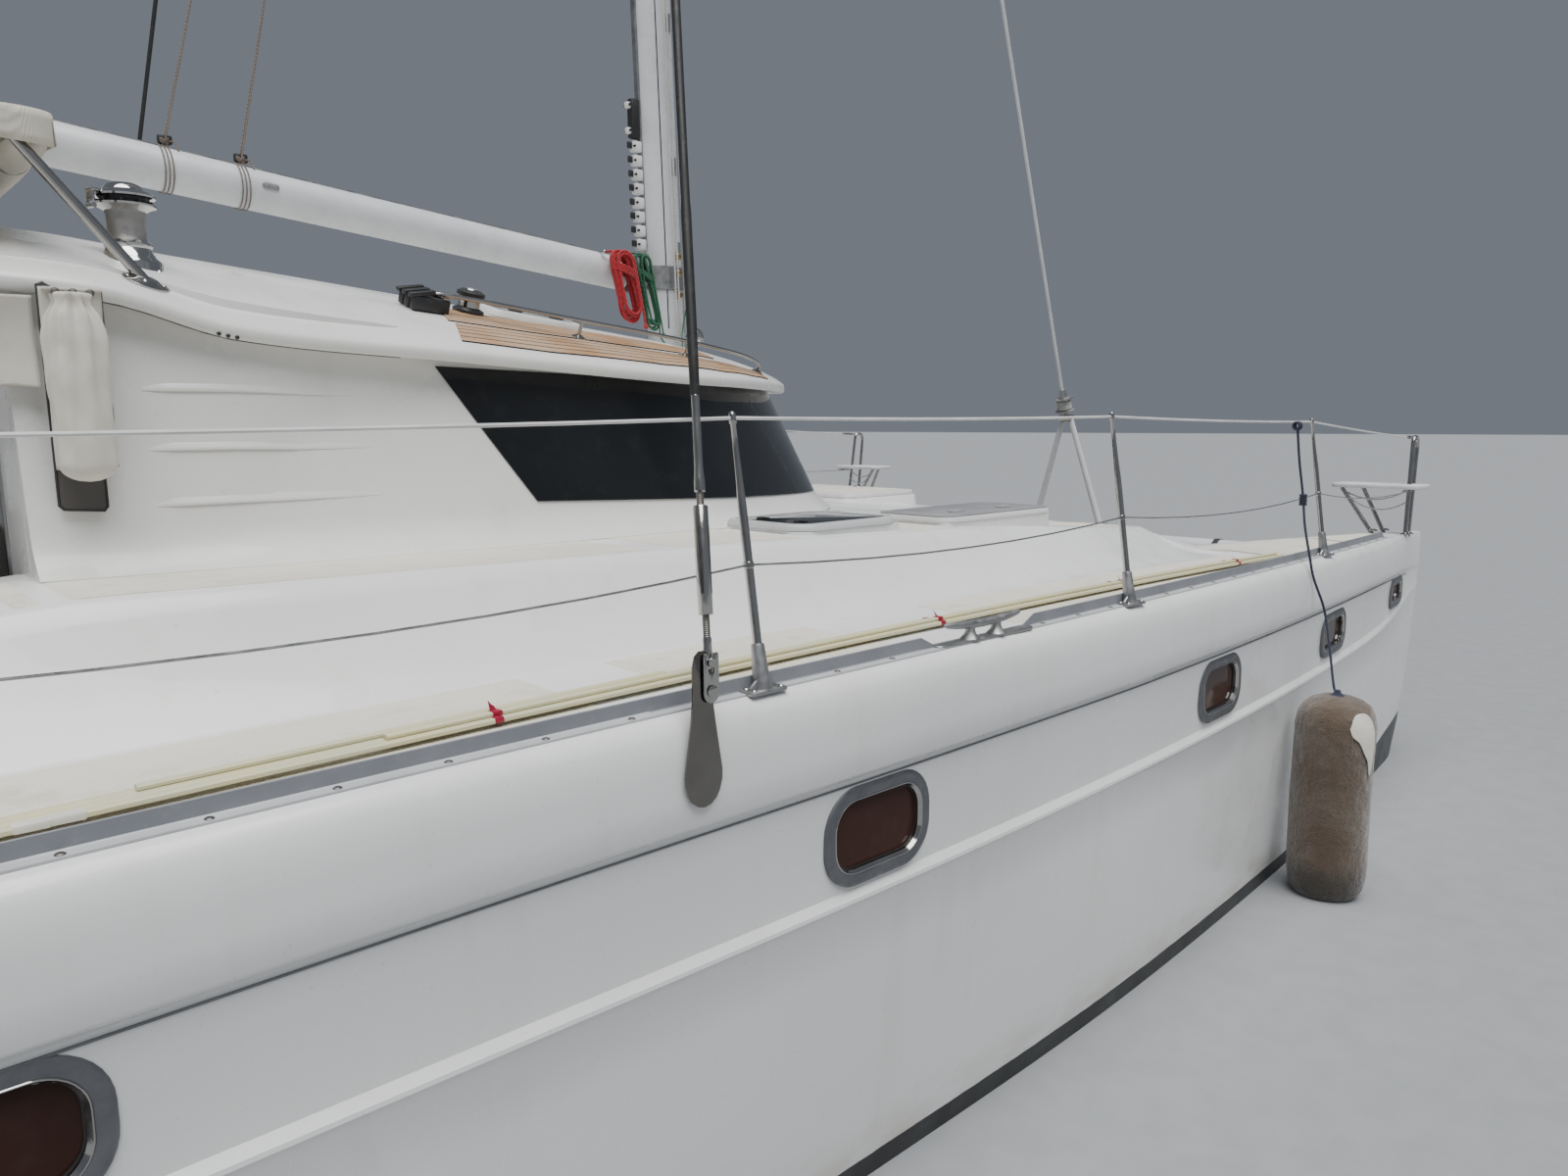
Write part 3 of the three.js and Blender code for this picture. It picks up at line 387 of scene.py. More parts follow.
def slab(bm, centre, size, round_by=0.0, turn=None, steps=2):
    made = bmesh.new()
    bmesh.ops.create_cube(made, size=1)
    bmesh.ops.scale(made, vec=size, verts=made.verts)
    if round_by:
        bmesh.ops.bevel(made, geom=made.edges[:], offset=round_by, segments=steps, profile=0.5, affect="EDGES",
                        material=-1)
    keep(bm, made, Matrix.Translation(centre) @ (turn or Matrix()))


def ball(bm, centre, radius, squeeze=(1, 1, 1), sides=16):
    made = bmesh.new()
    bmesh.ops.create_uvsphere(made, u_segments=sides, v_segments=max(6, sides // 2), radius=radius)
    keep(bm, made, Matrix.Translation(centre) @ Matrix.Diagonal((*squeeze, 1)))


def turned(bm, profile, place=None, steps=32):
    """Profile of radius and height, spun round Z and then placed."""
    made = bmesh.new()
    last = bmesh.ops.create_vert(made, co=(profile[0][0], 0, profile[0][1]))["vert"][0]
    for radius, height in profile[1:]:
        last = next(v for v in bmesh.ops.extrude_vert_indiv(made, verts=[last])["verts"])
        last.co = (radius, 0, height)
    bmesh.ops.spin(made, geom=made.verts[:] + made.edges[:], cent=(0, 0, 0), axis=(0, 0, 1), angle=math.tau,
                   steps=steps, use_merge=True, use_duplicate=False)
    bmesh.ops.remove_doubles(made, verts=made.verts, dist=1e-6)
    bmesh.ops.recalc_face_normals(made, faces=made.faces)
    keep(bm, made, place)


def plate(bm, outline, thickness, place=None, round_by=0.0):
    """Flat outline in x and y, raised by its thickness and then placed."""
    made = bmesh.new()
    line = bmesh.ops.create_circle(made, cap_ends=True, segments=len(outline), radius=1)["verts"]
    for vert, (x, y) in zip(line, outline):
        vert.co = (x, y, 0)
    pushed = bmesh.ops.extrude_face_region(made, geom=made.faces[:])
    bmesh.ops.translate(made, vec=(0, 0, thickness),
                        verts=[g for g in pushed["geom"] if isinstance(g, bmesh.types.BMVert)])
    bmesh.ops.recalc_face_normals(made, faces=made.faces)
    if round_by:
        bmesh.ops.bevel(made, geom=made.edges[:], offset=round_by, segments=2, profile=0.5, affect="EDGES",
                        material=-1)
    keep(bm, made, place)


def rounded_outline(length, width, radius, steps=5):
    """Rectangle with round corners, centred, as points in x and y."""
    points = []
    for corner in range(4):
        sx, sy = ((1, 1), (-1, 1), (-1, -1), (1, -1))[corner]
        for step in range(steps + 1):
            angle = (corner + step / steps) * math.pi / 2
            points.append((sx * (length / 2 - radius) + radius * math.cos(angle),
                           sy * (width / 2 - radius) + radius * math.sin(angle)))
    return points


def edge_band(bm, length, width, corner, section, place, steps=9):
    """Band that follows a rounded rectangle; the section gives inset and height of each line."""
    rows = [[place @ Vector((x, y, out)) for x, y in
             rounded_outline(length - 2 * inset, width - 2 * inset, max(0.001, corner - inset), steps)]
            for inset, out in section]
    count = len(rows[0])
    made = bmesh.new()
    grid(made, count, len(rows) - 1, lambda u, v: rows[round(v * (len(rows) - 1))][round(u * count) % count])
    bmesh.ops.remove_doubles(made, verts=made.verts, dist=1e-6)
    keep(bm, made)


def piece(name, bm, looks, body=HULL, replaces=(), angle=35, merge=1e-5):
    """Finishes a mesh as one named piece riding on a body, or on none."""
    if merge:
        bmesh.ops.remove_doubles(bm, verts=bm.verts, dist=merge)
    bmesh.ops.recalc_face_normals(bm, faces=bm.faces)
    if not bm.faces:
        raise RuntimeError(f"{name} came out empty")
    mesh = bpy.data.meshes.new(name)
    bm.to_mesh(mesh)
    bm.free()
    mesh.shade_smooth()
    mesh.set_sharp_from_angle(angle=math.radians(angle))
    obj = bpy.data.objects.new(name, mesh)
    bpy.context.scene.collection.objects.link(obj)
    for look in (looks,) if isinstance(looks, str) else looks:
        mesh.materials.append(finish(look))
    if body:
        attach(obj, body)
    if replaces:
        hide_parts(*((replaces,) if isinstance(replaces, str) else replaces))
    return obj


def cut(obj, bm):
    """Takes a cutter's shape out of a piece."""
    mesh = bpy.data.meshes.new("cutter")
    bmesh.ops.recalc_face_normals(bm, faces=bm.faces)
    bm.to_mesh(mesh)
    bm.free()
    for slot in obj.data.materials:
        mesh.materials.append(slot)
    cutter = bpy.data.objects.new("cutter", mesh)
    bpy.context.scene.collection.objects.link(cutter)
    modifier = obj.modifiers.new("cut", "BOOLEAN")
    modifier.operation, modifier.solver, modifier.object = "DIFFERENCE", "EXACT", cutter
    bpy.context.view_layer.update()
    shaped = bpy.data.meshes.new_from_object(obj.evaluated_get(bpy.context.evaluated_depsgraph_get()))
    obj.modifiers.remove(modifier)
    obj.data = shaped
    shaped.shade_smooth()
    shaped.set_sharp_from_angle(angle=math.radians(35))
    bpy.data.objects.remove(cutter)
    bpy.data.meshes.remove(mesh)


# Finishes

class Finish:
    """Node tree of one procedural material, laid out on the piece's own coordinates."""

    def __init__(self, name, roughness=0.5, metallic=0.0, coat=0.0):
        self.material = bpy.data.materials.new(name)
        self.material.use_nodes = True
        self.tree = self.material.node_tree
        self.shader = self.tree.nodes["Principled BSDF"]
        self.place = self.add("ShaderNodeTexCoord").outputs["Object"]
        self.shader.inputs["Roughness"].default_value = roughness
        self.shader.inputs["Metallic"].default_value = metallic
        self.shader.inputs["Coat Weight"].default_value = coat
        self.relief = None

    def add(self, kind, **settings):
        node = self.tree.nodes.new(kind)
        for key, value in settings.items():
            setattr(node, key, value)
        return node

    def join(self, source, target):
        if isinstance(source, bpy.types.NodeSocket):
            self.tree.links.new(source, target)
        elif target.type == "RGBA":
            target.default_value = (*source, 1)
        else:
            target.default_value = source

    def spread(self, stretch=(1, 1, 1), turn=(0, 0, 0)):
        node = self.add("ShaderNodeMapping")
        self.join(self.place, node.inputs["Vector"])
        node.inputs["Scale"].default_value = stretch
        node.inputs["Rotation"].default_value = turn
        return node.outputs["Vector"]

    def axis(self, name):
        node = self.add("ShaderNodeSeparateXYZ")
        self.join(self.place, node.inputs[0])
        return node.outputs[name]

    def maths(self, what, a, b=0.0):
        node = self.add("ShaderNodeMath", operation=what)
        self.join(a, node.inputs[0])
        self.join(b, node.inputs[1])
        return node.outputs[0]

    def noise(self, scale, detail=3.0, stretch=(1, 1, 1), turn=(0, 0, 0)):
        node = self.add("ShaderNodeTexNoise")
        self.join(self.spread(stretch, turn), node.inputs["Vector"])
        node.inputs["Scale"].default_value = scale
        node.inputs["Detail"].default_value = detail
        return node.outputs[0]

    def cells(self, scale, feature="F1", stretch=(1, 1, 1)):
        node = self.add("ShaderNodeTexVoronoi", feature=feature)
        self.join(self.spread(stretch), node.inputs["Vector"])
        node.inputs["Scale"].default_value = scale
        return node.outputs["Distance"]

    def bands(self, scale, direction, distortion=0.0, turn=(0, 0, 0)):
        node = self.add("ShaderNodeTexWave", wave_type="BANDS", bands_direction=direction)
        self.join(self.spread(turn=turn), node.inputs["Vector"])
        node.inputs["Scale"].default_value = scale
        node.inputs["Distortion"].default_value = distortion
        return node.outputs["Fac"]

    def level(self, source, low, high, out_low=0.0, out_high=1.0):
        node = self.add("ShaderNodeMapRange")
        self.join(source, node.inputs["Value"])
        for key, value in (("From Min", low), ("From Max", high), ("To Min", out_low), ("To Max", out_high)):
            node.inputs[key].default_value = value
        return node.outputs["Result"]

    def mixed(self, share, a, b):
        node = self.add("ShaderNodeMix", data_type="RGBA")
        self.join(share, node.inputs[0])
        self.join(a, node.inputs[6])
        self.join(b, node.inputs[7])
        return node.outputs[2]

    def raised(self, height, depth):
        """Relief of that depth in metres."""
        node = self.add("ShaderNodeBump")
        self.join(height, node.inputs["Height"])
        node.inputs["Distance"].default_value = depth
        if self.relief:
            self.tree.links.new(self.relief, node.inputs["Normal"])
        self.relief = node.outputs["Normal"]

    def done(self, colour=None, roughness=None, metallic=None):
        for key, source in (("Base Color", colour), ("Roughness", roughness), ("Metallic", metallic)):
            if source is not None:
                self.join(source, self.shader.inputs[key])
        if self.relief:
            self.tree.links.new(self.relief, self.shader.inputs["Normal"])
        return self.material


def shade(rgb, by):
    return tuple(max(0.0, c * by) for c in rgb)


def gelcoat(name, bottom=False, rgb=None):
    f = Finish(name, 0.28, coat=0.25)
    white = tuple(rgb or colours().gelcoat)
    cloud = f.level(f.noise(1.1, 4), 0.35, 0.7)
    colour = f.mixed(cloud, white, shade(white, 0.93))
    runs = f.level(f.noise(9, 5, (1, 1, 0.12)), 0.55, 0.72)
    colour = f.mixed(f.maths("MULTIPLY", runs, 0.13), colour, (0.52, 0.49, 0.42))
    specks = f.level(f.noise(95, 2), 0.70, 0.76)
    colour = f.mixed(f.maths("MULTIPLY", specks, 0.22), colour, (0.30, 0.28, 0.25))
    rough = f.level(f.noise(6, 4), 0.3, 0.75, 0.2, 0.46)
    if bottom:
        height, length = f.axis("Z"), f.axis("X")
        rise = f.maths("MULTIPLY", f.maths("MAXIMUM", f.maths("SUBTRACT", length, 3.9), 0.0), 0.105)
        edge = f.maths("ADD", rise, 0.075)
        wobble = f.maths("MULTIPLY", f.maths("SUBTRACT", f.noise(14, 2), 0.5), 0.006)
        below = f.level(f.maths("SUBTRACT", f.maths("ADD", edge, wobble), height), -0.0015, 0.0015)
        scum = f.level(f.maths("SUBTRACT", height, edge), 0.16, 0.0)
        stain = f.maths("MULTIPLY", scum, f.level(f.noise(5, 5, (1, 1, 3)), 0.35, 0.75))
        colour = f.mixed(f.maths("MULTIPLY", stain, 0.55), colour, (0.46, 0.40, 0.27))
        paint = f.mixed(f.level(f.noise(7, 6), 0.45, 0.75), tuple(colours().bottom_paint), (0.035, 0.04, 0.036))
        colour = f.mixed(below, colour, paint)
        rough = f.maths("ADD", rough, f.maths("MULTIPLY", below, 0.35))
        f.raised(f.maths("MULTIPLY", f.noise(60, 4), below), 0.0012)
    f.raised(f.noise(2.4, 2), 0.0012)
    return f.done(colour, rough)


def tread(name):
    f = Finish(name, 0.72)
    grain = sizes().tread_grain
    cream = tuple(colours().tread)
    bumps = f.cells(1 / grain)
    colour = f.mixed(f.level(f.noise(2.2, 5), 0.4, 0.7), cream, shade(cream, 0.9))
    worn = f.level(f.noise(11, 6), 0.56, 0.74)
    colour = f.mixed(f.maths("MULTIPLY", worn, 0.4), colour, (0.47, 0.42, 0.33))
    colour = f.mixed(f.maths("MULTIPLY", f.level(bumps, 0.25, 0.7), 0.25), colour, (0.42, 0.39, 0.32))
    f.raised(f.level(bumps, 0.7, 0.1), 0.0009)
    return f.done(colour, f.level(f.noise(25, 3), 0.3, 0.7, 0.62, 0.85))


def metal(name, rgb, roughness, brushed=0.0, stain=(0.30, 0.24, 0.17), amount=0.15):
    f = Finish(name, roughness, metallic=1.0)
    drift = f.noise(9, 4)
    colour = f.mixed(f.level(drift, 0.35, 0.7), rgb, shade(rgb, 0.84))
    spots = f.level(f.noise(42, 5), 0.6, 0.75)
    colour = f.mixed(f.maths("MULTIPLY", spots, amount), colour, stain)
    rough = f.level(f.noise(30, 4), 0.3, 0.75, roughness * 0.7, min(1, roughness * 1.6))
    if brushed:
        f.raised(f.noise(180, 2, (0.02, 1, 1)), brushed)
    f.raised(f.noise(70, 3), 0.0002)
    return f.done(colour, rough)


def plastic(name, rgb, roughness, second=None, relief=0.0003, scale=120.0, worn=0.2):
    f = Finish(name, roughness)
    colour = f.mixed(f.level(f.noise(7, 5), 0.38, 0.68), rgb, second or shade(rgb, 0.8))
    scuffs = f.level(f.noise(34, 6), 0.6, 0.74)
    grey = sum(rgb) / 3 * 0.6 + 0.16
    colour = f.mixed(f.maths("MULTIPLY", scuffs, worn), colour, (grey, grey * 0.97, grey * 0.92))
    f.raised(f.noise(scale, 3), relief)
    return f.done(colour, f.level(f.noise(22, 4), 0.3, 0.75, roughness * 0.8, min(1, roughness * 1.3)))


def woven(name, rgb, pitch=0.0016, roughness=0.85, stained=0.25, direction=("X", "Y")):
    f = Finish(name, roughness)
    f.shader.inputs["Sheen Weight"].default_value = 0.15
    weave = f.maths("MULTIPLY", f.bands(0.314 / pitch, direction[0]), f.bands(0.314 / pitch, direction[1]))
    colour = f.mixed(f.level(f.noise(1.6, 5), 0.35, 0.7), rgb, shade(rgb, 0.86))
    marks = f.level(f.noise(6, 6), 0.55, 0.75)
    colour = f.mixed(f.maths("MULTIPLY", marks, stained), colour, shade((0.42, 0.37, 0.29), 1.0))
    colour = f.mixed(f.maths("MULTIPLY", weave, 0.3), colour, shade(rgb, 0.72))
    f.raised(weave, pitch * 0.35)
    f.raised(f.noise(14, 4), 0.004)
    return f.done(colour)


def rope(name, rgb, pitch=0.011, groove_shade=None):
    f = Finish(name, 0.8)
    f.shader.inputs["Sheen Weight"].default_value = 0.2
    one = f.bands(0.314 / pitch, "DIAGONAL", 1.5)
    two = f.bands(0.314 / pitch, "DIAGONAL", 1.5, (0, 0, math.pi / 2))
    braid = f.maths("MAXIMUM", one, two)
    colour = f.mixed(f.level(f.noise(5, 4), 0.35, 0.7), rgb, shade(rgb, 0.75))
    # Darker colour in the braid's grooves: painted shade between the strands
    colour = f.mixed(f.level(braid, 0.75, 0.2, 0.0, 0.7), colour, groove_shade or shade(rgb, 0.4))
    f.raised(braid, 0.0009)
    return f.done(colour)


def glass(name, rgb=(0.012, 0.013, 0.014), mirror=0.5):
    f = Finish(name, 0.06, coat=0.2 * mirror)
    f.shader.inputs["Specular IOR Level"].default_value = mirror
    # Lighter clouds, 2.6 times the glass's colour: painted reflection
    colour = f.mixed(f.level(f.noise(1.3, 3), 0.3, 0.8), rgb, shade(rgb, 2.6))
    dust = f.level(f.noise(16, 6), 0.55, 0.85)
    colour = f.mixed(f.maths("MULTIPLY", dust, 0.03), colour, (0.24, 0.23, 0.21))
    f.raised(f.noise(3, 2), 0.0015)
    return f.done(colour, f.level(f.noise(8, 5), 0.4, 0.8, 0.04, 0.16))


def teak(name):
    f = Finish(name, 0.7)
    wood = tuple(colours().teak)
    plank = sizes().plank
    split = f.add("ShaderNodeSeparateXYZ")
    f.join(f.add("ShaderNodeTexCoord").outputs["UV"], split.inputs[0])
    across = f.maths("FRACT", f.maths("DIVIDE", split.outputs["Y"], plank))
    seam = f.level(f.maths("ABSOLUTE", f.maths("SUBTRACT", across, 0.5)), 0.405, 0.43)
    grain = f.noise(60, 6, (0.05, 1, 1))
    colour = f.mixed(f.level(grain, 0.3, 0.7), wood, shade(wood, 0.62))
    colour = f.mixed(f.level(f.noise(4, 4), 0.4, 0.7, 0.0, 0.5), colour, (0.50, 0.42, 0.33))
    colour = f.mixed(seam, colour, (0.018, 0.017, 0.016))
    f.raised(f.maths("SUBTRACT", grain, seam), 0.0008)
    return f.done(colour)


def net_weave(name):
    f = Finish(name, 0.8)
    weave = f.maths("MAXIMUM", f.bands(0.314 / 0.02, "X"), f.bands(0.314 / 0.02, "Y"))
    # Near-black between the strands: painted shade seen through the mesh's holes
    colour = f.mixed(f.level(weave, 0.5, 0.95), (0.03, 0.03, 0.03), (0.30, 0.30, 0.285))
    colour = f.mixed(f.level(f.noise(3, 4), 0.4, 0.7, 0.0, 0.3), colour, (0.22, 0.20, 0.17))
    f.raised(weave, 0.0025)
    return f.done(colour)


def fleece(name):
    """Brown cover, stained at the waterline; the bare torn patch high up on its outboard side is a piece of its
    own.
    """
    f = Finish(name, 0.95)
    f.shader.inputs["Sheen Weight"].default_value = 0.5
    pile = f.noise(140, 5)
    brown, grey = (0.105, 0.068, 0.042), (0.15, 0.118, 0.085)
    colour = f.mixed(f.level(f.noise(6, 5), 0.35, 0.7), brown, grey)
    colour = f.mixed(f.level(pile, 0.35, 0.75, 0.0, 0.6), colour, shade(brown, 0.45))
    wet = f.level(f.maths("ADD", f.axis("Z"), f.maths("MULTIPLY", f.noise(9, 4), 0.08)), 0.24, 0.14)
    colour = f.mixed(f.maths("MULTIPLY", wet, 0.75), colour, (0.02, 0.017, 0.011))
    f.raised(pile, 0.006)
    f.raised(f.noise(22, 4), 0.012)
    return f.done(colour)


FINISHES = {
    "gelcoat": lambda n: gelcoat(n),
    "hull_gelcoat": lambda n: gelcoat(n, bottom=True),
    "cabin_white": lambda n: gelcoat(n, rgb=(0.77, 0.765, 0.74)),
    "non_skid": tread,
    "inner_grey": lambda n: plastic(n, (0.42, 0.42, 0.41), 0.6),
    "bottom_paint": lambda n: plastic(n, tuple(colours().bottom_paint), 0.7, (0.05, 0.055, 0.05), 0.0008, 60),
    "stainless": lambda n: metal(n, (0.44, 0.43, 0.41), 0.14),
    "polished": lambda n: metal(n, (0.56, 0.555, 0.54), 0.08, amount=0.05),
    "dark_steel": lambda n: metal(n, (0.20, 0.19, 0.18), 0.45),
    "port_flange": lambda n: metal(n, (0.21, 0.215, 0.225), 0.5, stain=(0.14, 0.14, 0.14)),
    # Dark grey of the line under the moulding's lip: painted shadow over the joint
    "joint_grey": lambda n: plastic(n, (0.16, 0.165, 0.17), 0.6),
    # Base colour darkened to stand for the dark surroundings the strap mirrors: painted reflection
    "strap_mirror": lambda n: metal(n, (0.20, 0.19, 0.175), 0.09, amount=0.3),
    "hatch_frame": lambda n: plastic(n, (0.52, 0.53, 0.53), 0.4),
    "rail_base": lambda n: plastic(n, (0.50, 0.51, 0.52), 0.42, (0.44, 0.45, 0.46), 0.0002, 200, 0.3),
    "rail_upright": lambda n: plastic(n, (0.235, 0.245, 0.265), 0.42, (0.20, 0.21, 0.23), 0.0002, 200, 0.3),
    "lens_grey": lambda n: glass(n, (0.16, 0.18, 0.18)),
    "lid_grey": lambda n: plastic(n, (0.27, 0.27, 0.28), 0.5, relief=0.0002, scale=60),
    "drum_grip": lambda n: metal(n, (0.42, 0.41, 0.39), 0.45, 0.0004),
    "seam_thread": lambda n: plastic(n, (0.55, 0.52, 0.45), 0.8),
    "wheel_cover": lambda n: plastic(n, (0.09, 0.085, 0.08), 0.6, relief=0.0008, scale=220),
    "engine_grey": lambda n: plastic(n, (0.17, 0.19, 0.21), 0.4, relief=0.0006),
    "torn_patch": lambda n: plastic(n, (0.76, 0.74, 0.66), 0.6, (0.64, 0.60, 0.50), 0.002, 30, 0.3),
    "cast_grey": lambda n: metal(n, (0.40, 0.40, 0.40), 0.42, stain=(0.2, 0.18, 0.15)),
    "alloy": lambda n: metal(n, (0.36, 0.365, 0.37), 0.4, 0.0003),
    "spar": lambda n: plastic(n, (0.66, 0.665, 0.67), 0.3, (0.58, 0.59, 0.60), 0.00015, 90, 0.12),
    "bronze": lambda n: metal(n, (0.50, 0.33, 0.16), 0.35, stain=(0.10, 0.16, 0.12), amount=0.4),
    "engine_red": lambda n: plastic(n, (0.32, 0.05, 0.04), 0.45, relief=0.0006),
    "black_plastic": lambda n: plastic(n, (0.022, 0.022, 0.023), 0.45),
    "grey_plastic": lambda n: plastic(n, (0.36, 0.36, 0.36), 0.5),
    "white_plastic": lambda n: plastic(n, (0.78, 0.78, 0.76), 0.45),
    "seat_plastic": lambda n: plastic(n, (0.74, 0.75, 0.76), 0.4),
    "lamp_lens": lambda n: plastic(n, (0.60, 0.62, 0.60), 0.15, worn=0.05),
    "dark_glass": lambda n: glass(n, (0.007, 0.008, 0.009), 0.3),
    "smoked_panel": lambda n: glass(n, (0.05, 0.045, 0.04)),
    "port_glass": lambda n: glass(n, (0.028, 0.012, 0.009), 0.12),
    "teak": teak,
    "canvas": lambda n: woven(n, tuple(colours().canvas)),
    "cushion": lambda n: woven(n, (0.60, 0.55, 0.46), 0.002, stained=0.15),
    "curtain_cloth": lambda n: woven(n, (0.74, 0.71, 0.63), 0.0018, stained=0.4, direction=("X", "Z")),
    "red_rope": lambda n: rope(n, tuple(colours().red_rope)),
    "green_rope": lambda n: rope(n, tuple(colours().green_rope), 0.008),
    # Its grey is the painted shade in the braid's grooves
    "white_line": lambda n: rope(n, (0.62, 0.61, 0.58), 0.008, (0.3, 0.3, 0.28)),
    "navy_line": lambda n: rope(n, (0.015, 0.02, 0.05), 0.009),
    "brown_line": lambda n: rope(n, (0.19, 0.15, 0.12), 0.009),
    "wire": lambda n: metal(n, (0.45, 0.45, 0.44), 0.3),
    "black_wire": lambda n: plastic(n, (0.02, 0.02, 0.02), 0.5),
    "white_wire": lambda n: plastic(n, (0.72, 0.72, 0.70), 0.4),
    "net": net_weave,
    "fleece": fleece,
    "batten_cream": lambda n: plastic(n, (0.60, 0.585, 0.40), 0.5, (0.66, 0.60, 0.36), 0.0005, 90, 0.35),
    "batten_white": lambda n: plastic(n, (0.74, 0.73, 0.66), 0.5),
    "red_tape": lambda n: plastic(n, (0.30, 0.008, 0.035), 0.35, relief=0.0006),
    "green_tape": lambda n: plastic(n, (0.03, 0.12, 0.07), 0.4),
    "caulk": lambda n: plastic(n, (0.10, 0.10, 0.10), 0.7),
    "wood": lambda n: plastic(n, (0.42, 0.24, 0.12), 0.4, (0.30, 0.16, 0.08), 0.0004, 60, 0.1),
    "studio": lambda n: plastic(n, (0.29, 0.30, 0.31), 0.8, (0.27, 0.28, 0.29), 0.0002, 40, 0.02),
}


def finish(name):
    """The named finish; its material's name differs from that of the solids' plain material."""
    return bpy.data.materials.get(name + "_finish") or FINISHES[name](name + "_finish")


# Hulls and decks

# Columns: x of the middle, height, length, height of the opening
PORTS = ((-1.85, 1.09, 0.41, 0.27), (0.129, 1.09, 0.412, 0.27), (2.241, 1.087, 0.413, 0.25),
         (3.75, 1.08, 0.44, 0.22), (5.2, 1.1, 0.36, 0.18))
# Columns: x of the riser, height of the tread
STEPS = ((-4.64, 1.18), (-5.02, 0.86), (-5.42, 0.54))
ENGINE_BAY = {"x": (-4.25, -3.62), "y": (1.96, 2.56), "floor": 0.06, "top": 1.49}
# Columns: name, x, y, depth, height of the rim
WELLS = (("hatch", (0.7, 1.18), (1.56, 1.96), 0.26, 1.7677),
         ("locker_lid", (1.56, 2.25), (1.56, 1.9), 0.42, 1.738))
ANCHOR_WELL = {"x": (2.56, 3.06), "half": 0.38, "depth": 0.4, "top": 1.712}
UPRIGHT = Matrix.Rotation(math.pi / 2, 4, "X")


def foredeck_height(x, y):
    side = read(LEDGE, x, 2)
    return side + 0.046 * (1 - min(1, abs(y) / 1.5) ** 2)


def hull_station_rows():
    return [(x, zone) for low, high, zone in ZONES for x in spaced(low, high, sizes().hull_step)]


def side_place(side, x, z, out=0.0):
    """Placing on a hull's outer side: local x along the hull aft or forward, y up, z outward."""
    slope = (side_breadth(x + 0.05, z) - side_breadth(x - 0.05, z)) / 0.1
    ahead = Vector((1, side * slope, 0)).normalized()
    up = Vector((0, 0, 1))
    outward = ahead.cross(up) if side < 0 else up.cross(ahead)
    turn = Matrix((ahead, up, ahead.cross(up))).transposed().to_4x4()
    place = Matrix.Translation(sided(side, x, side_breadth(x, z), z) + outward * out) @ turn
    return place if side < 0 else place @ Matrix.Rotation(math.pi, 4, "Y")


def box_cutter(bm, xs, ys, zs):
    slab(bm, [(a + b) / 2 for a, b in (xs, ys, zs)], [abs(b - a) for a, b in (xs, ys, zs)])


def build_hull(name, side):
    bm = bmesh.new()
    loft(bm, [[sided(side, x, o, z) for o, z in hull_section(x, zone)] for x, zone in hull_station_rows()])
    obj = piece("hull_shell_" + name, bm, ("hull_gelcoat", "inner_grey"), replaces="hull_" + name, merge=0)
    for x, tread_z in STEPS:
        bm = bmesh.new()
        box_cutter(bm, (STERN - 0.2, x), (side * 1.56, side * 2.7), (tread_z, 2.5))
        bmesh.ops.bevel(bm, geom=[e for e in bm.edges if abs(e.verts[0].co.z - e.verts[1].co.z) > 0.5
                                  or all(v.co.z < tread_z + 0.01 for v in e.verts)], offset=0.03, segments=3,
                        profile=0.5, affect="EDGES", material=-1)
        cut(obj, bm)
    bm = bmesh.new()
    box_cutter(bm, ENGINE_BAY["x"], [side * y for y in ENGINE_BAY["y"]], (ENGINE_BAY["floor"], 2.0))
    cut(obj, bm)
    for _, xs, ys, depth, top in WELLS:
        bm = bmesh.new()
        box_cutter(bm, xs, [side * y for y in ys], (top - depth, top + 0.2))
        cut(obj, bm)
    for x, z, length, height in PORTS:
        bm = bmesh.new()
        plate(bm, rounded_outline(length - 0.084, height - 0.084, height * 0.42 - 0.042), 0.05,
              side_place(side, x, z) @ Matrix.Translation((0, 0, -0.025)))
        cut(obj, bm)


def build_ports(name, side):
    flanges, bezels, panes, gaskets = (bmesh.new() for _ in range(4))
    # Columns: which mesh, then inset and height of each line of the section, from the hull inwards
    parts = ((flanges, ((0.0, -0.001), (0.0, 0.005), (0.004, 0.0085), (0.012, 0.0105), (0.031, 0.0105),
                        (0.0335, 0.009))),
             (bezels, ((0.0335, 0.0092), (0.035, 0.0105), (0.037, 0.0102), (0.0445, 0.001), (0.0447, -0.012))),
             (gaskets, ((0.0446, -0.008), (0.047, -0.0085), (0.047, -0.022))))
    for x, z, length, height in PORTS:
        place = side_place(side, x, z)
        for bm, section in parts:
            edge_band(bm, length, height, height * 0.42, section, place)
        plate(panes, rounded_outline(length - 0.092, height - 0.092, height * 0.42 - 0.046, 9), 0.006,
              place @ Matrix.Translation((0, 0, -0.018)))
    piece("port_flanges_" + name, flanges, "port_flange")
    piece("port_bezels_" + name, bezels, "stainless")
    piece("port_gaskets_" + name, gaskets, "black_plastic")
    piece("port_panes_" + name, panes, "port_glass")


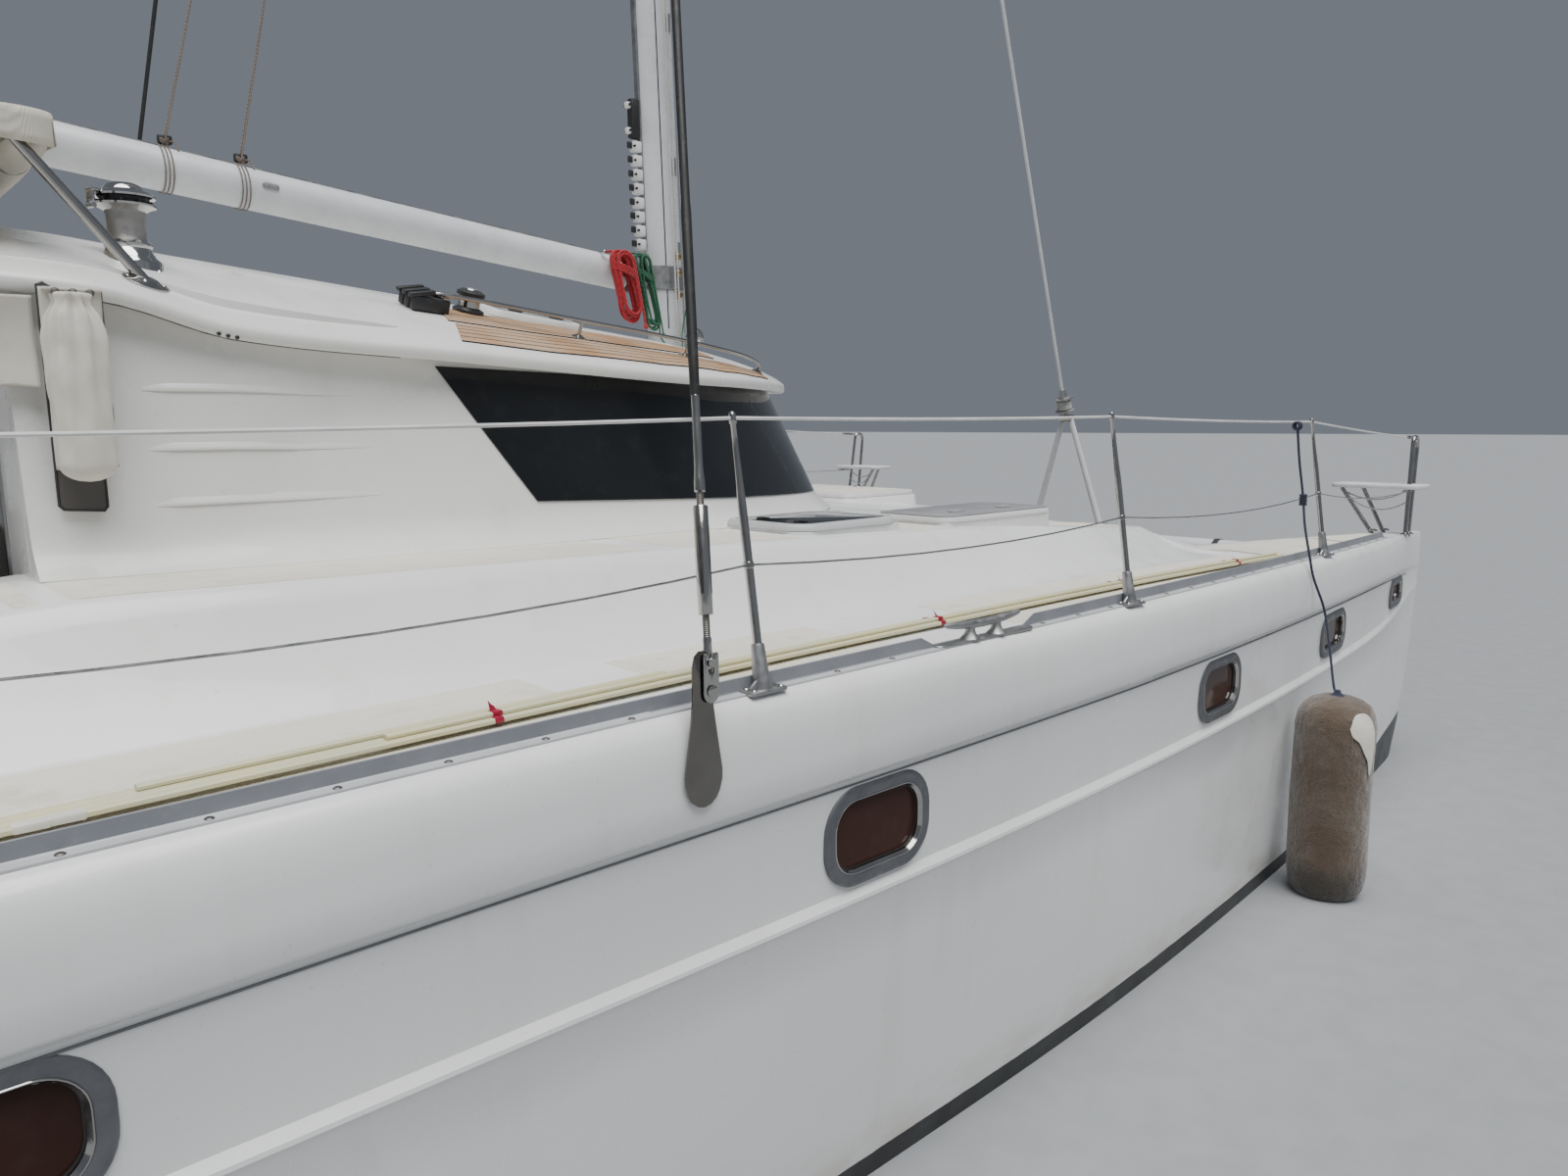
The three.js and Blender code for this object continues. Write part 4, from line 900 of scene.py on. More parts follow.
def walkway_panels(name, side):
    bm = bmesh.new()
    for low, high in ((-4.42, -3.42), (-3.38, -0.62), (-0.36, 0.36), (0.9, 3.15)):
        made = bmesh.new()
        grid(made, max(4, int((high - low) / 0.12)), 6, lambda u, v, low=low, high=high: sided(
            side, low + (high - low) * u, WALKWAY_INNER + 0.03 + (deck_edge(low + (high - low) * u) - 0.125
                                                                  - WALKWAY_INNER - 0.03) * v,
            deck_height(low + (high - low) * u, WALKWAY_INNER + (deck_edge(low + (high - low) * u) - 0.1
                                                                 - WALKWAY_INNER) * v) + 0.0012))
        keep(bm, made)
    for low, high in ((3.3, 4.3), (4.36, 5.0)):
        made = bmesh.new()

        def place(u, v, low=low, high=high):
            x = low + (high - low) * u
            reach = (deck_edge(x) - HULL_CENTRE) - 0.12
            return sided(side, x, HULL_CENTRE + (2 * v - 1) * reach, deck_height(x, HULL_CENTRE + abs(2 * v - 1)
                                                                                 * reach) + 0.004)
        grid(made, 16, 12, place)
        keep(bm, made)
    for low, high in ((-3.3, -1.75), (-1.6, -0.02), (0.1, 0.62), (1.26, 1.5), (2.33, 3.1)):
        made = bmesh.new()

        def ledge_place(u, v, low=low, high=high):
            x = low + (high - low) * u
            outer = read(LEDGE, x, 1) - 0.05
            inner = max(foot_breadth(x) + 0.075, 1.53) if x < 2.1 else 1.53
            if x < -1.5:
                inner = 1.54
            return sided(side, x, inner + (outer - inner) * v, read(LEDGE, x, 2) + 0.0012)
        grid(made, 12, 6, ledge_place)
        keep(bm, made)
    thicken(bm, 0.002)
    piece("non_skid_" + name, bm, "non_skid", merge=0)


def build_treads(name, side):
    """Non-skid panels on the transom's steps."""
    bm = bmesh.new()
    ends = [x for x, _ in STEPS[1:]] + [STERN]
    for (high, z), low in zip(STEPS, ends):
        inner, outer = 2 * HULL_CENTRE - deck_edge(low) + 0.1, side_breadth(low, z) - 0.13
        centre = sided(side, (low + high) / 2 + 0.01, (inner + outer) / 2, z)
        plate(bm, rounded_outline(high - low - 0.06, outer - inner, 0.03, 5), 0.002,
              Matrix.Translation(centre), 0.0006)
    piece("step_treads_" + name, bm, "non_skid", merge=0)


def foot_breadth(x):
    """Breadth of the cabin wall at the sill at x."""
    return read([(row[0], row[1]) for row in WALL], x, 1)


def build_joint_shadow(name, side):
    """Dark line under the lip of the deck moulding: the moulding's joint, darkened to stand as the lip's
    painted shadow.
    """
    bm = bmesh.new()
    line = []
    for x in spaced(-4.4, 5.5, 0.12):
        z = hull_marks(x)[4] - 0.0275
        line.append(sided(side, x, side_breadth(x, z) + 0.0004, z))
    tube(bm, line, 0.0028, 6)
    piece("moulding_joint_shadow_" + name, bm, "joint_grey", merge=0)


class CATAMARAN_OT_hulls(bpy.types.Operator):
    """Lofts both hulls, cuts their steps, bays and wells, and sets the ports in their sides"""
    bl_idname = "catamaran.hulls"
    bl_label = "Hulls"

    def execute(self, context):
        for name, side in SIDES:
            build_hull(name, side)
            build_ports(name, side)
            build_joint_shadow(name, side)
        return {"FINISHED"}


class CATAMARAN_OT_decks(bpy.types.Operator):
    """Lays the foredeck between the hulls and the non-skid panels"""
    bl_idname = "catamaran.decks"
    bl_label = "Decks"

    def execute(self, context):
        for name, side in SIDES:
            walkway_panels(name, side)
            build_treads(name, side)
        bm = bmesh.new()
        rows = spaced(0.4, 3.2, 0.2)
        shares = [k / 10 for k in range(-10, 11)]
        loft(bm, [[Vector((x, -1.4997, UNDERSIDE + max(0, x - 2.9) * 0.9))]
                  + [Vector((x, 1.4997 * s, foredeck_height(x, 1.5 * s) - (0.02 if x > 3.19 else 0)))
                     for s in shares]
                  + [Vector((x, 1.4997, UNDERSIDE + max(0, x - 2.9) * 0.9))] for x in rows])
        obj = piece("foredeck_shell", bm, ("gelcoat",), replaces="foredeck", merge=0)
        bm = bmesh.new()
        box_cutter(bm, ANCHOR_WELL["x"], (-ANCHOR_WELL["half"], ANCHOR_WELL["half"]),
                   (ANCHOR_WELL["top"] - ANCHOR_WELL["depth"], 2))
        cut(obj, bm)
        bm = bmesh.new()
        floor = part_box("bridgedeck")[1].z
        for x in (-3.16, -2.2):
            for y in (-0.46, 0.46):
                plate(bm, rounded_outline(0.9, 0.86, 0.04, 5), 0.002, Matrix.Translation((x, y, floor)), 0.0006)
        piece("cockpit_treads", bm, "non_skid", merge=0)
        return {"FINISHED"}


# Cabin

BAND = ((-0.13, 1.905), (2.6, 1.775), (2.6, 2.285), (0.6, 2.30), (-0.405, 2.325))


def wall_point(u, z):
    """Point on the starboard cabin wall: u runs from the aft end at 0 to the centreline at 7."""
    share = (z - SILL) / (WALL_TOP - SILL)
    k = min(len(WALL) - 1, max(0, u))
    rows = [(i, *row) for i, row in enumerate(WALL)]
    xs, hs, xt, ht = (fair(rows, k, c) for c in (1, 2, 3, 4))
    return Vector((xs + (xt - xs) * share, -(hs + (ht - hs) * share), z))


def wall_out(u, z):
    """Outward direction of the starboard cabin wall."""
    ahead = wall_point(u + 0.02, z) - wall_point(u - 0.02, z)
    up = wall_point(u, z + 0.02) - wall_point(u, z - 0.02)
    return ahead.cross(up).normalized()


def band_edges(u):
    """Heights of the lower and upper edge of the window band at u."""
    x = wall_point(u, 2.0).x
    return read(BAND[:2], x, 1), read((BAND[4], BAND[3], BAND[2]), x, 1)


def wall_foot(u):
    place = wall_point(u, 1.75)
    if abs(place.y) > 1.5:
        return read(LEDGE, place.x, 2)
    return foredeck_height(place.x, place.y)


def wall_head(u):
    place = wall_point(u, 2.36)
    return roof_top(min(place.x, 2.0), place.y) - 0.02


# Columns: x, how far the wall's top flares out to the roof's lip, height where the flare starts
BROW = ((-1.5, 0.07, 1.75), (-1.0, 0.07, 1.9), (-0.8, 0.062, 2.16), (-0.55, 0.05, 2.2), (-0.42, 0.0, 2.24),
        (2.2, 0.0, 2.24))


def build_walls():
    bm = bmesh.new()
    for side in (-1, 1):
        def place(u, v, side=side):
            k = 7 * u
            low, high = wall_foot(k) - 0.01, wall_head(k)
            z = low + (high - low) * v
            x = wall_point(k, z).x
            start = read(BROW, x, 2)
            brow = read(BROW, x, 1) * max(0, (z - start) / (high - start)) ** 1.15
            flare = 0.045 * max(0, 1 - (z - low) / 0.12) ** 2
            point = wall_point(k, z) + wall_out(k, z) * (flare + brow)
            if u > 0.999:
                point.y = 0
            return Vector((point.x, -side * point.y, point.z))
        grid(bm, 110, 90, place)
    bmesh.ops.remove_doubles(bm, verts=bm.verts, dist=1e-4)
    thicken(bm, 0.035)
    piece("cabin_sides", bm, "cabin_white", replaces="cabin_walls")

    ribs = bmesh.new()
    for side in (-1, 1):
        for z in (1.955, 2.09, 2.235):
            rings = []
            for x in spaced(-1.25, -0.46, 0.045):
                near = min(1, (x + 1.25) / 0.08, (-0.46 - x) / 0.55)
                k = window_outline_u(x, z)
                start = read(BROW, x, 2)
                brow = read(BROW, x, 1) * max(0, (z - start) / (wall_head(k) - start)) ** 1.15
                ring = []
                for up, out in RIB_PROFILE:
                    proud = brow - 0.003 + (out + 0.003) * max(0.03, near)
                    point = wall_point(k, z + up) + wall_out(k, z) * proud
                    ring.append(Vector((point.x, -side * point.y, point.z)))
                rings.append(ring)
            loft(ribs, rings)
    piece("cabin_ribs", ribs, "cabin_white", merge=0, angle=50)
    seam, snaps = bmesh.new(), bmesh.new()
    for side in (-1, 1):
        line = []
        for x in spaced(-1.3, -0.55, 0.06):
            half, edge = fair(ROOF, x, 1), fair(ROOF, x, 2)
            line.append(Vector((x, side * (half - 0.012), edge - 0.0005)))
        tube(seam, line, 0.0022, 6)
        for k in (-1, 0, 1):
            x = -1.02 + 0.022 * k
            at = Vector((x, side * (fair(ROOF, x, 1) + 0.001), fair(ROOF, x, 2) + 0.006))
            turned(snaps, [(0, 0.003), (0.003, 0.0028), (0.005, 0.0014), (0.006, 0)],
                   Matrix.Translation(at) @ Matrix.Rotation(-side * math.pi / 2, 4, "X"), 14)
    piece("brow_seam", seam, "caulk", merge=0)
    piece("brow_snaps", snaps, "black_plastic", merge=0)


def window_outline_u(x, z):
    """The wall's u where the wall at height z has that x."""
    low, high = 0.0, 7.0
    for _ in range(30):
        middle = (low + high) / 2
        if wall_point(middle, z).x < x:
            low = middle
        else:
            high = middle
    return low


def build_windows():
    def pane(name, start, end, side, node, out=0.006):
        """One dark pane over the wall; start and end give u at the lower and upper edge."""
        bm = bmesh.new()

        def place(u, v):
            lower = start[0] + (end[0] - start[0]) * u
            upper = start[1] + (end[1] - start[1]) * u
            k = lower + (upper - lower) * v
            low, high = band_edges(k)
            point = wall_point(k, low + (high - low) * v) + wall_out(k, low + (high - low) * v) * out
            return Vector((point.x, -side * point.y, point.z))
        grid(bm, 60, 12, place)
        bmesh.ops.recalc_face_normals(bm, faces=bm.faces)
        bmesh.ops.solidify(bm, geom=bm.faces[:], thickness=0.005)
        piece(name, bm, "dark_glass", replaces=node, merge=0)

    aft = (window_outline_u(-0.13, 1.905), window_outline_u(-0.405, 2.325))
    corner = (5.45, 5.45)
    for name, side in SIDES:
        pane("window_" + name + "_pane", aft, corner, side, "window_" + name)
        pane("front_pane_" + name, (5.5, 5.5), (7.0, 7.0), side, "window_front" if side < 0 else ())


def roof_ring(x):
    """Closed section of the roof shell, top from port to starboard and back underneath."""
    half, edge, _ = (fair(ROOF, x, k) for k in (1, 2, 3))
    shares = [math.sin(k / 16 * math.pi / 2) for k in range(-16, 17)]
    top = [Vector((x, half * s, roof_top(x, half * s))) for s in shares]
    lip = [Vector((x, half + 0.003, edge + 0.026)), Vector((x, half + 0.002, edge + 0.008)),
           Vector((x, half - 0.006, edge)), Vector((x, half - 0.025, edge + 0.002))]
    under = [Vector((x, (half - 0.05) * s, max(edge + 0.004, roof_top(x, half * s) - 0.05)))
             for s in reversed(shares)]
    return top + lip + under + [Vector((p.x, -p.y, p.z)) for p in reversed(lip)]


def build_roof():
    bm = bmesh.new()
    rows = spaced(-1.56, 1.4, 0.06) + spaced(1.44, 1.95, 0.03) + [1.975, 1.995, 2.008]
    loft(bm, [roof_ring(x) for x in rows])
    piece("roof_shell", bm, "cabin_white", replaces="roof", merge=0, angle=50)


class CATAMARAN_OT_cabin(bpy.types.Operator):
    """Builds the cabin's walls, windows and roof"""
    bl_idname = "catamaran.cabin"
    bl_label = "Cabin"

    def execute(self, context):
        build_walls()
        build_windows()
        build_roof()
        return {"FINISHED"}


# Rig

# Columns: shift of a layer of loops, its lean, and how far it hangs lower than the first
LAYERS = ((0.0, 0.26, 0.0), (0.012, 0.10, 0.016), (-0.010, 0.22, -0.012), (0.008, 0.14, 0.026),
          (-0.006, 0.30, 0.004),
          (0.004, 0.18, -0.006))


def loop_point(share, wide, tall):
    """Point of a tall rounded loop, from its top round to its top again."""
    arc, straight = math.pi / 2 * wide, 2 * (tall - wide)
    along = share * (4 * arc + 2 * straight)
    for length, centre, start in ((arc, tall - wide, 0.25), (straight, 0, None), (2 * arc, wide - tall, 0.0),
                                  (straight, 0, None), (arc, tall - wide, 0.5)):
        if along <= length + 1e-9:
            break
        along -= length
    if start is None:
        down = share < 0.5
        return (wide if down else -wide), (straight / 2 - along) * (1 if down else -1)
    angle = math.tau * start - along / wide
    return wide * math.cos(angle), centre + wide * math.sin(angle)


def hank_path(centre, half_wide, half_tall, pitch, turns):
    """Line of a hanging coil: loops in pairs, each pair behind the last and leaning its own way."""
    points, count = [], 40
    for step in range(int(turns * count)):
        along, k = step / count, step % count
        layer, part = int(along // 2), along % 2
        ring = min(part, 1) if layer % 2 == 0 else 1 - min(part, 1)
        mix = max(0, part - 1.5) * 2
        mix = mix * mix * (3 - 2 * mix)
        here, following = LAYERS[layer % len(LAYERS)], LAYERS[(layer + 1) % len(LAYERS)]
        shift, lean, drop = (a + (b - a) * mix for a, b in zip(here, following))
        x, z = loop_point(k / count, half_wide - ring * pitch, half_tall - ring * pitch)
        down = (half_tall - z) / (2 * half_tall)
        swell = 0.98 + 0.06 * math.sin(math.pi * min(1, down * 1.1))
        x = x * swell + shift + lean * (down - 0.5) * 2 * half_tall
        y = (turns / 4 - 0.5 - layer - mix) * pitch
        points.append(Vector((centre.x + x, centre.y + y, centre.z + z - drop * down)))
    return points


def along_length(points):
    return sum((b - a).length for a, b in zip(points, points[1:]))


def coil(name, centre, size, pitch, diameter, turns, colour, solid):
    """A coiled line that starts at a fitting, winds into a hank and ends in a knot below it."""
    half_wide, half_tall = size
    loops = hank_path(centre, half_wide, half_tall, pitch, turns)
    bottom = centre.z - half_tall
    back = (loops[0] - loops[1]).normalized()
    lead = [loops[0] + back * (0.04 - 0.004 * k) + Vector((0, 14.3, -6)) * (0.04 - 0.004 * k) ** 2
            for k in range(10)]
    fall, reach = loops[-1], bottom - 0.045 - loops[-1].z
    onward = (loops[-1] - loops[-2]).normalized()
    tail = [fall + onward * (abs(reach) * k / 24) for k in range(1, 25)]
    path = lead + loops + tail
    bm = bmesh.new()
    ball(bm, path[0] + back * 0.004, diameter * 0.9)
    rod(bm, path[0], path[0] + Vector((0, 0.05, 0.004)), 0.004, sides=12)
    piece(name + "_eye", bm, "stainless", body="boom", angle=50)
    bm = bmesh.new()
    tube(bm, path, diameter / 2, 10)
    rope_piece = piece(name, bm, colour, body="boom", replaces=solid, angle=60, merge=0)
    bm = bmesh.new()
    ball(bm, path[-1] - Vector((0, 0, diameter * 0.4)), diameter * 0.95, (1, 1, 1.15))
    knot = piece(name + "_knot", bm, colour, body="boom", angle=60)
    bm = bmesh.new()
    around = turns / 4 * pitch + diameter * 0.55
    for k in range(3):
        high = centre.z + half_tall * 0.36 + k * diameter * 1.02
        tube(bm, [Vector((centre.x - 0.012 + (half_wide * 1.12 + diameter * 0.9) * math.cos(a),
                          centre.y + around * math.sin(a), high + 0.004 * math.sin(a) - 0.022 * math.cos(a)))
                  for a in (math.tau * j / 24 for j in range(24))], diameter / 2, 8, closed=True)
    tie = piece(name + "_tie", bm, colour, body="boom", angle=60)
    tuple(path[0])
    along_length(path)
    [tuple(p) for p in path]


class CATAMARAN_OT_coils(bpy.types.Operator):
    """Hangs the two coiled lines at the boom's heel"""
    bl_idname = "catamaran.coils"
    bl_label = "Coiled lines"

    def execute(self, context):
        red, green = sizes().red_rope, sizes().green_rope
        coil("red_coil", Vector((1.27, -0.128, 2.812)), (0.048, 0.153), red * 1.03, red, 11.27,
             "red_rope", "rope_coil_red")
        coil("green_coil", Vector((1.4, -0.128, 2.795)), (0.033, 0.169), green * 1.03, green, 10.27,
             "green_rope", "rope_coil_green")
        return {"FINISHED"}


def oval(z, long, wide, count=40):
    return [Vector((mast_x(z) + long * math.cos(a), wide * math.sin(a), z))
            for a in (math.tau * k / count for k in range(count))]


def build_mast():
    bm = bmesh.new()
    loft(bm, [oval(z, MAST["long"], MAST["wide"]) for z in spaced(2.40, MAST["top"], 0.6)])
    for side in (-1, 1):
        rod(bm, (mast_x(7.8), 0, 7.8), (mast_x(7.8) - 0.42, side * 0.9, 7.84), 0.032, 0.02, sides=20)
        ball(bm, Vector((mast_x(7.8) - 0.42, side * 0.9, 7.84)), 0.024)
    loft(bm, [oval(z, MAST["long"] + 0.022, MAST["wide"] + 0.022)
              for z in (MAST["top"] - 0.06, MAST["top"] + 0.02)])
    piece("mast_tube", bm, "spar", replaces="mast", angle=50, merge=0)

    bm = bmesh.new()
    loft(bm, [oval(z, MAST["long"] + g, MAST["wide"] + g)
              for z, g in ((2.35, 0.05), (2.425, 0.045), (2.44, 0.02), (2.50, 0.014), (2.505, 0.004))])
    piece("mast_step", bm, "cast_grey", angle=40)

    track, dark, cars = bmesh.new(), bmesh.new(), bmesh.new()
    loft(track, [[Vector((mast_x(z) - MAST["long"] - 0.012 + dx, dy, z)) for dx, dy in
                  ((0, -0.014), (0.016, -0.014), (0.016, 0.014), (0, 0.014))]
                 for z in (3.02, MAST["top"] - 0.1)])
    for side in (-1, 1):
        loft(dark, [[Vector((mast_x(z) - 0.028 + dx, side * (MAST["wide"] * 0.963 + dy), z)) for dx, dy in
                     ((-0.003, -0.004), (0.003, -0.004), (0.003, 0.0016), (-0.003, 0.0016))]
                    for z in (2.62, 13.8)])
    for k in range(8):
        z = 3.03 + k * 0.067
        at = Vector((mast_x(z) - MAST["long"] - 0.03, 0, z))
        slab(cars, at, (0.052, 0.04, 0.054), 0.008)
        slab(dark, at + Vector((-0.034, 0, 0.004)), (0.032, 0.014, 0.032), 0.005)
        rod(dark, at + Vector((-0.02, -0.024, 0)), at + Vector((-0.02, 0.024, 0)), 0.006)
    head = 3.63
    at = Vector((mast_x(head) - MAST["long"] - 0.034, 0, head))
    slab(dark, at, (0.054, 0.046, 0.19), 0.012)
    for k in (-1, 1):
        slab(cars, at + Vector((-0.03, 0, 0.06 * k)), (0.036, 0.03, 0.03), 0.008)
        rod(dark, at + Vector((-0.034, -0.026, 0.06 * k)), at + Vector((-0.034, 0.026, 0.06 * k)), 0.007)
    piece("luff_track", track, "alloy")
    piece("luff_cars", cars, "white_plastic")
    piece("mast_dark_trim", dark, "black_plastic")

    bm, rust, lines = bmesh.new(), bmesh.new(), bmesh.new()
    for z, x, tall in ((3.42, 0.05, 0.09), (3.02, 0.055, 0.07), (2.86, -0.01, 0.05), (4.1, 0.05, 0.09)):
        for side in (-1, 1):
            slab(bm, Vector((mast_x(z) + x,
                             side * (MAST["wide"] * (1 - (x / MAST["long"]) ** 2) ** 0.5 + 0.002), z)),
                 (0.028, 0.01, tall), 0.003)
    for z in (2.98, 2.9, 2.79):
        turned(rust, [(0, 0.014), (0.012, 0.014), (0.018, 0.008), (0.02, 0), (0.02, -0.012)],
               along((mast_x(z) + 0.045, -0.055, z), (mast_x(z) + 0.045, -0.085, z)), 16)
    piece("mast_fittings", bm, "cast_grey")
    piece("mast_eyes", rust, "bronze")
    for x, y, low, high in ((1.6, -0.1, 2.56, 13.6), (1.63, -0.085, 2.5, 13.7), (1.66, -0.098, 2.5, 13.65),
                            (1.55, 0.1, 2.52, 13.6)):
        tube(lines, [Vector((x + mast_x(low) - mast_x(2.7), y, low)),
                     Vector((mast_x(8) + x - 1.6, y * 0.96, 8)),
                     Vector((mast_x(high) + (x - 1.6) * 0.7, y * 0.66, high))], 0.0045, 6)
    piece("halyards", lines, "white_line", merge=0)
    lines = bmesh.new()
    tube(lines, curve_through([Vector((1.69, -0.075, 2.95)), Vector((1.68, -0.1, 2.8)),
                               Vector((1.62, -0.12, 2.62)),
                               Vector((1.55, -0.2, 2.485)), Vector((1.42, -0.3, 2.478))], 6), 0.004, 6)
    tube(lines, curve_through([Vector((1.5, -0.09, 2.7)), Vector((1.47, -0.14, 2.56)),
                               Vector((1.53, -0.2, 2.482)),
                               Vector((1.4, -0.26, 2.487)), Vector((1.2, -0.3, 2.502))], 6), 0.004, 6)
    piece("mast_foot_lines", lines, "green_rope", merge=0)

    bm = bmesh.new()
    for k, (x, y) in enumerate(((1.43, -0.14), (1.47, -0.2), (1.56, -0.23), (1.43, 0.14), (1.47, 0.2),
                                (1.56, 0.23))):
        z = roof_top(x, y)
        turned(bm, [(0, 0.045), (0.022, 0.045), (0.03, 0.038), (0.03, 0.03), (0.02, 0.026), (0.02, 0.018),
                    (0.03, 0.014), (0.03, 0), (0, 0)], Matrix.Translation((x, y, z - 0.002)), 20)
    piece("turning_blocks", bm, "black_plastic")
    bm = bmesh.new()
    at = Vector((1.63, -0.2, 2.57))
    ball(bm, at, 0.05, (1, 1, 1), 32)
    piece("deck_lamp_ball", bm, "polished")
    bm = bmesh.new()
    turned(bm, [(0.012, 0.03), (0.016, 0.02), (0.03, 0.008), (0.034, 0), (0.034, -0.02)],
           Matrix.Translation((at.x, at.y, roof_top(at.x, at.y) + 0.012)), 24)
    rod(bm, (at.x, at.y, roof_top(at.x, at.y)), at, 0.012)
    piece("deck_lamp_foot", bm, "black_plastic")


def boom_frame():
    """Placing whose x runs along the boom from its heel and whose z is up across it."""
    ahead = (BOOM["end"] - BOOM["heel"]).normalized()
    up = Vector((0, 0, 1))
    up = (up - ahead * up.dot(ahead)).normalized()
    side = up.cross(ahead)
    return Matrix.Translation(BOOM["heel"]) @ Matrix((ahead, side, up)).transposed().to_4x4()


def boom_ring(radius, place, distance, count=36):
    """Round section of the boom at a distance from its heel."""
    return [place @ Vector((distance, radius * math.cos(a), radius * math.sin(a)))
            for a in (math.tau * k / count for k in range(count))]


def build_boom():
    place = boom_frame()
    length = (BOOM["end"] - BOOM["heel"]).length
    bm = bmesh.new()
    r = BOOM["radius"]
    loft(bm, [boom_ring(r + 0.004 * t, place, 0.03 + (length - 0.06) * t)
              for t in (k / 24 for k in range(25))])
    piece("boom_tube", bm, "spar", body="boom", replaces="boom", angle=50, merge=0)
    bm = bmesh.new()
    loft(bm, [boom_ring(radius, place, d) for d, radius in
              ((-0.03, 0.05), (-0.028, 0.07), (-0.02, 0.08), (0.0, 0.083), (0.045, 0.083), (0.052, 0.079))])
    loft(bm, [boom_ring(radius, place, length + d) for d, radius in
              ((-0.06, 0.083), (-0.05, 0.088), (0.01, 0.088), (0.024, 0.08), (0.028, 0.05))])
    pivot = Vector((1.455, 0, 2.872))
    made = bmesh.new()
    turned(made, [(0.0148, -0.02), (0.024, -0.02), (0.024, 0.02), (0.0148, 0.02), (0.0148, -0.02)],
           Matrix.Translation(pivot), 24)
    keep(bm, made)
    slab(bm, Vector((1.412, 0, 2.872)), (0.04, 0.024, 0.04), 0.004)
    piece("boom_caps", bm, "black_plastic", body="boom", merge=0)

    bm, brown, black = bmesh.new(), bmesh.new(), bmesh.new()
    loft(bm, [[place @ Vector((d, dy, r + 0.002 + dz)) for dy, dz in
               ((-0.012, -0.012), (0.012, -0.012), (0.012, 0.004), (-0.012, 0.004))]
              for d in (0.3, length - 0.2)])
    for d in LASHINGS:
        for k in range(3):
            lean = 0.02 * (k - 1)
            tube(brown, [place @ Vector((d + lean * 0.7 + 0.012 * math.sin(a), (r + 0.007) * math.cos(a),
                                         (r + 0.007) * math.sin(a))) for a in
                         (math.tau * j / 28 for j in range(28))], 0.0024, 6, closed=True)
        top = place @ Vector((d, -0.008, r + 0.022))
        for k in range(3):
            tube(brown, [top + Vector((0.016 * math.cos(a), 0.016 * math.sin(a),
                                       0.012 * math.sin(2 * a + k) + k * 0.003))
                         for a in (math.tau * j / 16 for j in range(16))], 0.0036, 6, closed=True)
        tube(brown, curve_through([top, top + Vector((0.03, -0.03, 0.0)), top + Vector((0.035, -0.05, -0.04)),
                                   top + Vector((0.03, -0.052, -0.075))], 4), 0.0034, 6)
        slab(black, top + Vector((0.004, 0, 0.01)), (0.05, 0.02, 0.034), 0.006)
    piece("boom_lashings", brown, "brown_line", body="boom", merge=0)
    piece("boom_blocks", black, "black_plastic", body="boom")
    for d, half in ((1.749, 0.032), (4.42, 0.03)):
        for side in (-1, 1):
            around = math.radians(8)
            at = place @ Vector((d, side * (r + 0.001) * math.cos(around), (r + 0.001) * math.sin(around)))
            made = bmesh.new()
            plate(made, rounded_outline(2 * half, 0.026, 0.0129, 6), 0.006, round_by=0.0015)
            for k in (-1, 1):
                turned(made, [(0, 0.009), (0.004, 0.009), (0.006, 0.006), (0.006, 0.004)],
                       Matrix.Translation((k * 0.014, 0, 0)), 12)
            turn = place.to_3x3().to_4x4() @ Matrix.Rotation(side * -math.pi / 2, 4, "X")
            keep(bm, made, Matrix.Translation(at) @ turn)
    piece("boom_fittings", bm, "cast_grey", body="boom")


